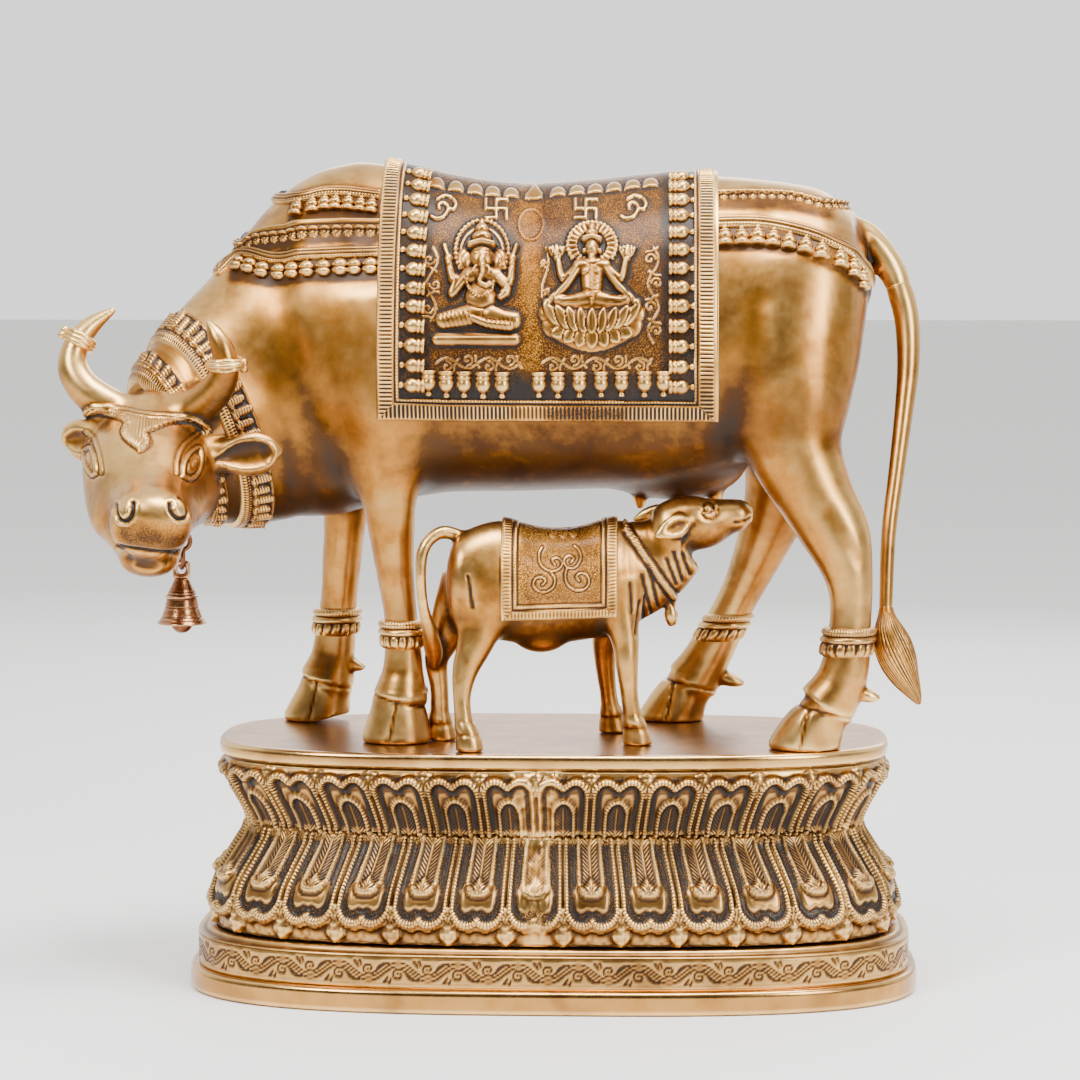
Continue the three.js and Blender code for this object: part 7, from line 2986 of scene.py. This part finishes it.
CALF_HOLLOW = [
    [104, -57, 168, 1.5, 3], [98, -61, 166, 5.8, 4.6], [89, -66, 162.5, 5.4, 4.6],
    [81, -68, 158.5, 1.5, 2.5]
]
CALF_TAIL = [
    [-66, -70, 157, 5, 5], [-79, -73, 161, 5, 5], [-89, -77, 156, 4.5, 4.5], [-95, -80, 145, 4.5, 4.5],
    [-96, -81, 126, 4, 4], [-94, -78, 104, 4, 4], [-90, -70, 86, 6, 5], [-88, -60, 70, 7, 5],
    [-88, -53, 58, 3, 3],
]
CALF_PENDANT = [[84, -38, 116, 4, 4], [89, -38, 104, 4, 4], [90, -38, 95, 5.5, 5.5], [91, -38, 88, 3, 3]]

# Each leg's shank and hoof.
CALF_LEGS = (
    (
        (
            (-44, -72, 122, 28, 17), (-50, -78, 100, 20, 15), (-56, -84, 78, 13.5, 11),
            (-63, -88, 58, 9.5, 8.5), (-65, -91, 38, 6.5, 6.5), (-63, -93, 16, 7, 7)
        ),
        ((-62, -93, 20, 7, 7), (-60, -95, 10, 9.5, 8.5), (-59, -96, 0, 10.5, 9))
    ),
    (
        (
            (-64, -62, 124, 18, 14), (-72, -56, 100, 17, 13), (-82, -49, 76, 12, 10),
            (-87, -46, 61, 9, 8.5), (-85, -43, 39, 7, 7), (-85, -40, 16, 7.5, 7.5)
        ),
        ((-85, -40, 20, 7.5, 7.5), (-84, -39, 10, 10, 8.5), (-83, -38, 0, 11.5, 9))
    ),
    (
        (
            (48, -48, 118, 20, 14), (52, -54, 96, 14, 12), (56, -58, 76, 10, 9), (57, -60, 60, 8.5, 8),
            (59, -59, 36, 6.5, 6.5), (62, -58, 16, 7.5, 7.5)
        ),
        ((62, -58, 20, 7.5, 7.5), (64, -57, 10, 10, 8.5), (65, -57, 0, 11.5, 9))
    ),
    (
        (
            (44, -30, 108, 16, 12), (41, -20, 88, 11, 10), (39, -12, 70, 9, 8.5), (40, -5, 50, 7.5, 7.5),
            (42, 0, 32, 6.5, 6.5), (44, 4, 16, 7.5, 7.5)
        ),
        ((44, 4, 20, 7.5, 7.5), (45, 6, 10, 10, 8.5), (46, 7, 0, 11.5, 9))
    ),
)


@dataclass
class CalfFigure:
    """The calf, drinking: its own metal with the chasing of face, neck and collar."""

    pitch: float = 1.8
    depth: float = -60.0
    eye: tuple = (117.6, 179.0)
    eye_fold: Sequence = ((112.5, 176.5), (114.5, 171.5), (119.5, 170.3), (123.6, 174.3), (124.6, 178))
    jaw: Sequence = ((106.8, 166), (101, 158), (98, 149), (101, 142), (108.5, 138.8), (116, 142))
    collar: Sequence = ((66.2, 163.5), (74.2, 146.5), (80.8, 129.5), (86.5, 111), (88, 102.5))
    wrinkles: Sequence = (
        ((86.5, 140.5), (94, 121.5)), ((92, 145), (98.5, 124)), ((98.5, 144), (104, 129)),
        ((73.5, 136.5), (80, 105)), ((68.5, 128), (75.5, 98)), ((66.5, 108), (63.5, 84)),
        ((70.5, 112), (69, 92)), ((59.5, 122), (61, 100)),
    )
    thigh: Sequence = ((-62.2, 127), (-60.5, 115), (-59, 104))
    mouth: Sequence = ((150, 172), (143, 168.5), (137, 168))
    finish: CastBrass = field(
        default_factory=lambda: CastBrass(
            "Golden patinated cast brass", chased=True, cloud_mm=34, rib_mm=2.2
        )
    )

    def block(self) -> Block:
        """The calf as one field."""
        block = Block((-106, -112, -2), (158, 20, 194), self.pitch)
        barrel = np.array(CALF_BARREL, float)
        rows = spline(barrel, np.linspace(0, len(barrel) - 1, 33))
        tall = (rows[:, 2] - rows[:, 3]) / 2
        trunk = Tube(
            np.stack([rows[:, 0], rows[:, 1], (rows[:, 2] + rows[:, 3]) / 2], axis=1),
            tall[:, None] * np.array([[0, 0, 1.0]]),
            rows[:, 4:5] * np.array([[0, 1.0, 0]]),
        )
        block.join(trunk, 3).limbs((CALF_NECK, 12), (CALF_HEAD, 9))
        for shank, hoof in CALF_LEGS:
            block.join(Tube.limb(shank), 9).join(hoof_tube(hoof), 3)
        block.limbs((CALF_TAIL, 3), (CALF_PENDANT, 2))
        block.join(Lump((-8, -52, 78), (16, 14, 9)), 8)
        block.limbs(*((ear, 2.5) for ear in CALF_EARS)).carve(Tube.limb(CALF_HOLLOW), 0.6)
        return block.keep(lambda p: -p[:, 2])

    def height(self, points: Array, normals: Array) -> Marks:
        """The marks of the face, neck and collar."""
        x, z = seen(points, self.depth)
        near = smooth(0.05, 0.3, -normals[:, 1])
        marks = Marks.blank(len(points))
        r = np.hypot(x - self.eye[0], z - self.eye[1])
        marks.rise += near * (
            1.3 * np.sqrt(np.clip(1 - (r / 3.2) ** 2, 0, 1)) + groove(r - 4.0, 1.6, 1.0)
            + 0.6 * ridge(r - 5.6, 2.0, 1.0)
        )
        for path, width, depth in (
            (self.eye_fold, 2.2, 1.0), (self.jaw, 3.0, 0.9), (self.thigh, 2.4, 1.6),
            (self.mouth, 2.0, 1.2)
        ):
            d, _ = stroke(x, z, curve(path))
            marks.rise += near * groove(d, width, depth)
        for line in self.wrinkles:
            d, _ = stroke(x, z, line)
            marks.rise += near * groove(d, 2.4, 1.7)
        ring = (
            points @ unit(np.array([0.62, 0.0, 0.42]))
            - np.array([76.5, -38.0, 133.0]) @ unit(np.array([0.62, 0.0, 0.42]))
        )
        neck = (points[:, 0] > 54) & (points[:, 0] < 98) & (points[:, 2] > 99)
        marks.rise += neck * (ridge(ring, 5.6, 2.0) + groove(np.abs(ring) - 3.6, 1.8, 1.0))
        run = np.arctan2(points[:, 1] + 38, points[:, 2] - 133) * 26
        marks.cut(run, neck * smooth(2.8, 1.8, np.abs(ring)))
        for _, hoof in CALF_LEGS:
            away = np.hypot(points[:, 0] - hoof[-1][0], points[:, 1] - hoof[-1][1])
            marks.rise += groove(points[:, 2] - 12.5, 2.0, 0.8) * (away < 16)
        return marks

    def build(self) -> None:
        """Makes the calf's pieces."""
        finish = self.finish.make()
        shell = self.block().skin()
        hide = Hide(shell)
        marks = self.height(shell.points, shell.normals())
        shell = shell.raised(marks.rise)
        # Painted light on the upper sides and painted shade on the undersides.
        wear = shell.wear(0.56, 1.0, 8, 1.0) + CowFigure.painted_top_light_under_shade(shell)
        add_shell("calf_body", shell, wear, finish, marks, Slot.CALF, "calf")
        CalfCloth().build(hide, finish)


@dataclass
class CalfCloth:
    """The calf's small saddle cloth: a double ribbed border round a punched ground with four curls."""

    front: float = 49.5
    back: float = -36.5
    hem: float = 97.0
    thickness: float = 2.0
    depth: float = -75.0
    curls: Sequence = (
        (
            (-5.8, 150.5), (-8.2, 145), (-7.6, 138), (-2.5, 133.2), (3.5, 132.6), (8, 135.6), (8.2, 140),
            (4.6, 142.4), (1.4, 140.6), (3.6, 137)
        ),
        (
            (18.2, 151.5), (22, 147), (22.4, 141), (19, 135.6), (14, 134.6), (10.6, 137.6), (11, 142),
            (14.4, 144), (17.4, 141.8), (15, 138.8)
        ),
        (
            (0.4, 131.2), (3.2, 127), (2.4, 121), (-2.6, 117), (-8.6, 117.2), (-12.6, 121.4),
            (-11.4, 126.4), (-7, 127.8), (-3.6, 125.2), (-6, 122)
        ),
        (
            (12, 134), (11, 128), (13.2, 121.8), (18.6, 118.2), (25, 118.8), (28.8, 123.6), (27.4, 129),
            (23, 131), (19.2, 128.4), (21.6, 125)
        ),
    )

    def side(self, hide: Hide, side: int, rows: int, columns: int) -> tuple[Array, Array]:
        """Half of the sheet, from its hem up to the middle of the back.

        Args:
            hide: the calf's skin.
            side: -1 for the near half, 1 for the far one.
            rows: rows of points from hem to middle.
            columns: points from back to front.

        Returns:
            Points on the skin, and the outward direction at each.
        """
        lines = []
        for x in np.linspace(self.back, self.front, 24):
            middle = np.interp(x, [-77, -38, -8, 20, 42, 70], [-72, -61, -53, -45, -39, -33])
            line = hide.section((x, middle, 120.0), side, 140, 44, 90)
            end = max(2, int(np.argmax(line[:, 2] < self.hem)))
            line = line[: end + 1]
            run = run_along(line)
            stop = np.interp(-self.hem, -line[-2:, 2], run[-2:])
            lines.append(points_at(line, run, np.linspace(stop, 0, 26)))
        coarse = soften(np.array(lines).transpose(1, 0, 2), 2)
        grid = refined(coarse, rows, columns)
        return grid, grid_normals(grid, np.array([0.0, side, 0.35]))

    def marks(self, grid: Array, out: Array, near: bool) -> Marks:
        """The border, the curls and the scallops on the back.

        Args:
            grid: the half's points.
            out: the outward direction at each.
            near: whether this is the near half.

        Returns:
            The marks of each point.
        """
        up = run_along(grid)
        x = grid[..., 0]
        ends = np.minimum(x - self.back, self.front - x)
        edge = np.minimum(ends, up)
        run = np.where(ends < up, up, x)
        marks = Marks.blank(x.shape)
        marks.rise += (
            1.1 * smooth(8.4, 7.8, edge) + 0.7 * ridge(edge - 10.4, 2.6, 1.3) - 0.7 * smooth(1, 0, edge)
        )
        marks.rise += groove(edge - 8.3, 1.3, 0.8) + groove(edge - 12.4, 1.4, 0.6)
        marks.cut(run * 0.85, smooth(0.9, 1.5, edge) * smooth(7.8, 7.0, edge))
        marks.cut(run, 0.6 * smooth(1.3, 0.7, np.abs(edge - 10.4)))
        marks.stipple += smooth(12.6, 13.6, edge)
        if near:
            sx, sz = (
                a.reshape(x.shape) for a in seen((grid + out * self.thickness).reshape(-1, 3), self.depth)
            )
            lines = [curve(one) for one in self.curls]
        else:
            sx, sz = x, up
            lines = [scroll(0.2, 42, 8.6, 1.3, -1.2, 1), scroll(17.4, 42, 8.8, 1.3, 4.2, -1)]
        best = np.full(x.shape, 9.0)
        for line in lines:
            best = np.minimum(best, stroke(sx, sz, line)[0])
        marks.rise += groove(best - 1.25, 1.1, 0.7) + ridge(best, 1.6, 0.3)
        marks.rub_and_painted_light -= 0.22 * np.exp(-(((best - 1.25) / 0.5) ** 2))
        marks.stipple *= smooth(1.6, 2.6, best)
        down = up[-1] - up
        for place in (2.0, 9.5, 17.0):
            away = np.hypot((x - place) / 1.0, (down - 12) / 1.6)
            marks.rise += 0.9 * np.sqrt(np.clip(1 - (away / 4.2) ** 2, 0, 1))
        return marks

    def build(self, hide: Hide, finish: bpy.types.Material) -> None:
        """Makes both halves of the calf's cloth."""
        for name, side, rows, columns in (("near", -1, 84, 104), ("far", 1, 44, 56)):
            grid, out = self.side(hide, side, rows, columns)
            marks = self.marks(grid, out, side < 0)
            top = grid + out * (self.thickness + marks.rise)[..., None]
            shell, extra = closed_sheet(top, out, self.thickness + 2.5)
            wear = shell.wear(0.55, 1.0, 6 if side < 0 else 3, 0.8)
            add_shell(
                f"calf_cloth_{name}", shell, wear, finish, marks.flat().padded(0, extra), Slot.CALF,
                "calf"
            )


# The bell that hangs under the throat


@dataclass
class ThroatBell:
    """The bell, its clapper, and the link that it hangs by."""

    bell_at: tuple = (-277.0, -66.0)
    crown: float = 314.3
    sides: int = 64
    shape: Sequence = (
        (0, 0), (4.6, 0), (5.5, -0.5), (7.1, -4.2), (9.1, -8.2), (9.9, -9.1), (9.5, -9.8), (10.5, -10.5),
        (10.6, -11.4), (10.2, -12.0), (12.3, -12.5), (12.8, -13.3), (12.2, -14.3), (11.3, -14.8),
        (11.6, -16.2), (12.0, -18.4), (12.5, -21.2), (12.2, -21.7), (12.9, -22.3), (13.9, -25.6),
        (15.2, -28.4), (14.9, -28.9), (15.8, -29.5), (17.2, -32.0), (18.4, -33.2), (18.3, -34),
        (16.8, -33.8), (14.8, -30), (12.8, -26), (11.2, -20), (10.4, -16), (9.2, -13), (7.2, -8.6),
        (4.4, -4.4), (0, -3.2),
    )
    link_height: float = 330.4
    link_radius: float = 8.3
    link_wire: float = 1.7
    lug_height: float = 153.0
    lug_radius: float = 6.6
    lug_wire: float = 1.9
    stem: Sequence = ((0, 192), (4.0, 191.5), (3.2, 176), (2.3, 164), (1.9, 159), (0, 158.4))
    knob: Sequence = (
        (0, 8.4), (1.2, 8.2), (1.2, -22), (2.4, -23.6), (5.2, -24.2), (7.6, -25.4), (8.0, -26.6),
        (7.0, -29), (4.6, -31.4), (2.2, -32.4), (0, -32.6),
    )
    knob_drop: float = 8.6
    finish: CastBrass = field(
        default_factory=lambda: CastBrass(
            "Brown cast bell metal", body="#8f5a33", bright="#d6a073", shade="#5c3620", patch="#7a452a",
            gloss=0.26, cloud_mm=22
        )
    )

    @staticmethod
    def ring(centre: Array, radius: float, wire: float, facing: Sequence) -> Shell:
        """A ring of round wire.

        Args:
            centre: its middle.
            radius: from its middle to the middle of the wire.
            wire: the wire's radius.
            facing: the direction square to it.

        Returns:
            The ring.
        """
        turn = np.linspace(0, TAU, 33)[:-1]
        out = np.array(facing, float)
        side = unit(np.cross(out, UP)) if abs(out[2]) < 0.9 else np.array([1.0, 0, 0])
        up = np.cross(side, out)
        around = np.cos(turn)[:, None] * side + np.sin(turn)[:, None] * up
        lean = np.linspace(0, TAU, 13)[:-1]
        points = (
            centre + around[:, None] * (radius + wire * np.cos(lean)[None, :, None])
            + out * (wire * np.sin(lean))[None, :, None]
        )
        quads = sheet_quads(33, 12, wrap_columns=True)
        shell = Shell(points.reshape(-1, 3), quads % (32 * 12))
        middle = shell.points[shell.quads].mean(1)
        face = np.cross(
            shell.points[shell.quads[:, 2]] - shell.points[shell.quads[:, 0]],
            shell.points[shell.quads[:, 3]] - shell.points[shell.quads[:, 1]]
        )
        return shell.faced((face * (middle - centre)).sum() >= 0)

    @staticmethod
    def tab(base: Array) -> Shell:
        """The upright tab on the bell's crown, with the hole that the link runs through."""
        turn = np.linspace(0, TAU, 49)[:-1]
        wide, tall, thick, hole = 6.4, 7.4, 1.7, 3.3
        square = (np.abs(np.cos(turn)) ** 5 + np.abs(np.sin(turn)) ** 5) ** -0.2
        outer = np.stack([wide * square * np.cos(turn), tall * square * np.sin(turn)], axis=1)
        inner = np.stack([hole * np.cos(turn), hole * np.sin(turn) + 0.6], axis=1)
        rows = []
        for flat, depth in (
            (outer, -thick * 0.8), (outer * 0.93, -thick), (inner * 1.25, -thick), (inner, -thick * 0.5),
            (inner, thick * 0.5), (inner * 1.25, thick), (outer * 0.93, thick), (outer, thick * 0.8)
        ):
            rows.append(np.stack([flat[:, 0], np.full(48, depth), flat[:, 1] + 6.2], axis=1) + base)
        shell = Shell(np.concatenate(rows), ring_quads(8, 48))
        return shell.faced((shell.normals()[0] * (shell.points[0] - base - (0, 0, 6.2))).sum() >= 0)

    def build(self) -> None:
        """Makes the bell, clapper and link."""
        finish = self.finish.make()
        base = np.array([self.bell_at[0], self.bell_at[1], self.crown - PLATE_TOP])
        bell = turned(resample(self.shape, 84, 4), self.sides)
        bell = bell.moved(base).plus(self.tab(base)).plus(
            self.ring(base + (0, 0, -5.6), 3.0, 0.9, (0, 1, 0))
        )
        wear = bell.wear(0.56, 1.2, 3, 0.6)
        add_shell("throat_bell", bell, wear, finish, None, Slot.BELL, "bell")
        link_at = np.array([base[0], base[1], self.link_height - PLATE_TOP])
        link = self.ring(link_at, self.link_radius, self.link_wire, (0.95, 0.31, 0))
        lug_at = np.array([base[0], base[1], self.lug_height])
        lug = self.ring(lug_at, self.lug_radius, self.lug_wire, (0, 1, 0))
        stem = turned(self.stem, 16)
        lug = lug.plus(stem.moved((base[0], base[1], 0)))
        add_shell("throat_lug", lug, np.full(len(lug.points), UNRUBBED), finish)
        add_shell(
            "throat_link", link, np.full(len(link.points), UNRUBBED), finish, None, Slot.LINK, "bell_link"
        )
        clapper = turned(resample(self.knob, 30, 3), 20).moved(base).moved((0, 0, -self.knob_drop))
        add_shell(
            "throat_clapper", clapper, np.full(len(clapper.points), UNRUBBED), finish, None, Slot.BELL,
            "bell_clapper"
        )


# Floor, light and camera


@dataclass(frozen=True)
class Studio:
    """A pale floor, soft light from large panels, and the camera in the photograph's place."""

    eye: tuple = (0.0845, -2.4986, 0.549)
    pitch: float = 0.084
    yaw: float = 0.038
    focal_pixels: float = 3274
    picture_pixels: float = 1080
    sensor_mm: float = 36

    @staticmethod
    def floor() -> None:
        """Lays the floor."""
        bpy.ops.mesh.primitive_plane_add(size=60, location=(0, 0, -0.0005))
        floor = bpy.context.object
        floor.name = "floor"
        material = bpy.data.materials.new("Matt white paper")
        material.use_nodes = True
        shader = material.node_tree.nodes["Principled BSDF"]
        shader.inputs["Base Color"].default_value = linear("#f4f3f1")
        shader.inputs["Roughness"].default_value = 0.9
        floor.data.materials.append(material)

    @staticmethod
    def panel(name: str, at: tuple, aim: tuple, size: tuple, power: float, warmth: str = "#ffffff") -> None:
        """Hangs one light panel.

        Args:
            name: the panel's name.
            at: its place, in metres.
            aim: the point that it faces.
            size: its width and height.
            power: its power in watts.
            warmth: its colour.
        """
        data = bpy.data.lights.new(name, "AREA")
        data.shape = "RECTANGLE"
        data.size, data.size_y = size
        data.energy = power
        data.color = linear(warmth)[:3]
        light = bpy.data.objects.new(name, data)
        light.location = at
        light.rotation_euler = (Vector(aim) - Vector(at)).to_track_quat("-Z", "Y").to_euler()
        bpy.context.scene.collection.objects.link(light)

    def light(self) -> None:
        """Sets the sky and the panels."""
        world = bpy.data.worlds.new("pale room")
        world.use_nodes = True
        tree = world.node_tree
        tree.nodes.clear()
        where = add_node(tree, "ShaderNodeTexCoord").outputs["Generated"]
        parts = add_node(tree, "ShaderNodeSeparateXYZ", Vector=where).outputs
        raised = maths(tree, "MULTIPLY_ADD", parts["Z"], 0.32, 0.42)
        back = maths(tree, "MULTIPLY_ADD", parts["Y"], 0.42, raised)
        ramp = add_node(tree, "ShaderNodeValToRGB", Fac=back)
        set_ramp(ramp, [(0.03, "#1f1b17"), (0.24, "#4d4945"), (0.46, "#a3a19e"), (0.66, "#ffffff")])
        sky = add_node(tree, "ShaderNodeBackground", Color=ramp.outputs[0], Strength=1.5).outputs[0]
        add_node(tree, "ShaderNodeOutputWorld", Surface=sky)
        bpy.context.scene.world = world
        self.panel("key", (-1.3, -1.7, 2.0), (0, 0, 0.35), (0.8, 1.0), 58)
        self.panel("fill", (1.7, -1.9, 1.3), (0, 0, 0.3), (0.8, 1.5), 56)
        self.panel("top", (0.35, -0.5, 2.2), (0, 0, 0.4), (1.5, 0.6), 72)
        self.panel("back", (0.4, 2.2, 1.4), (0, 0, 0.4), (2.2, 1.2), 30)

    def camera(self) -> None:
        """Sets the camera."""
        data = bpy.data.cameras.new("camera")
        data.sensor_width = self.sensor_mm
        data.lens = self.focal_pixels * self.sensor_mm / self.picture_pixels
        data.clip_start = 0.05
        camera = bpy.data.objects.new("camera", data)
        camera.location = self.eye
        camera.rotation_mode = "XYZ"
        camera.rotation_euler = (math.pi / 2 - self.pitch, 0, self.yaw)
        bpy.context.scene.collection.objects.link(camera)
        bpy.context.scene.camera = camera

    def build(self) -> None:
        """Sets the whole studio."""
        self.floor()
        self.light()
        self.camera()


def main() -> None:
    """Builds the statue and its studio."""
    LotusPlinth().build()
    cow = CowFigure()
    cow.build()
    hide = cow.hide()
    chased = CastBrass("Chased patinated cast brass", chased=True).make()
    shapes = SmallShapes().make()
    scatter = Scatter()
    SaddleCloth().build(hide, chased, scatter, shapes["lying_bell"])
    Trim().build(hide, chased, scatter, shapes)
    Harness().build(hide, chased)
    CalfFigure().build()
    ThroatBell().build()
    Studio().build()


if __name__ == "__main__":
    main()
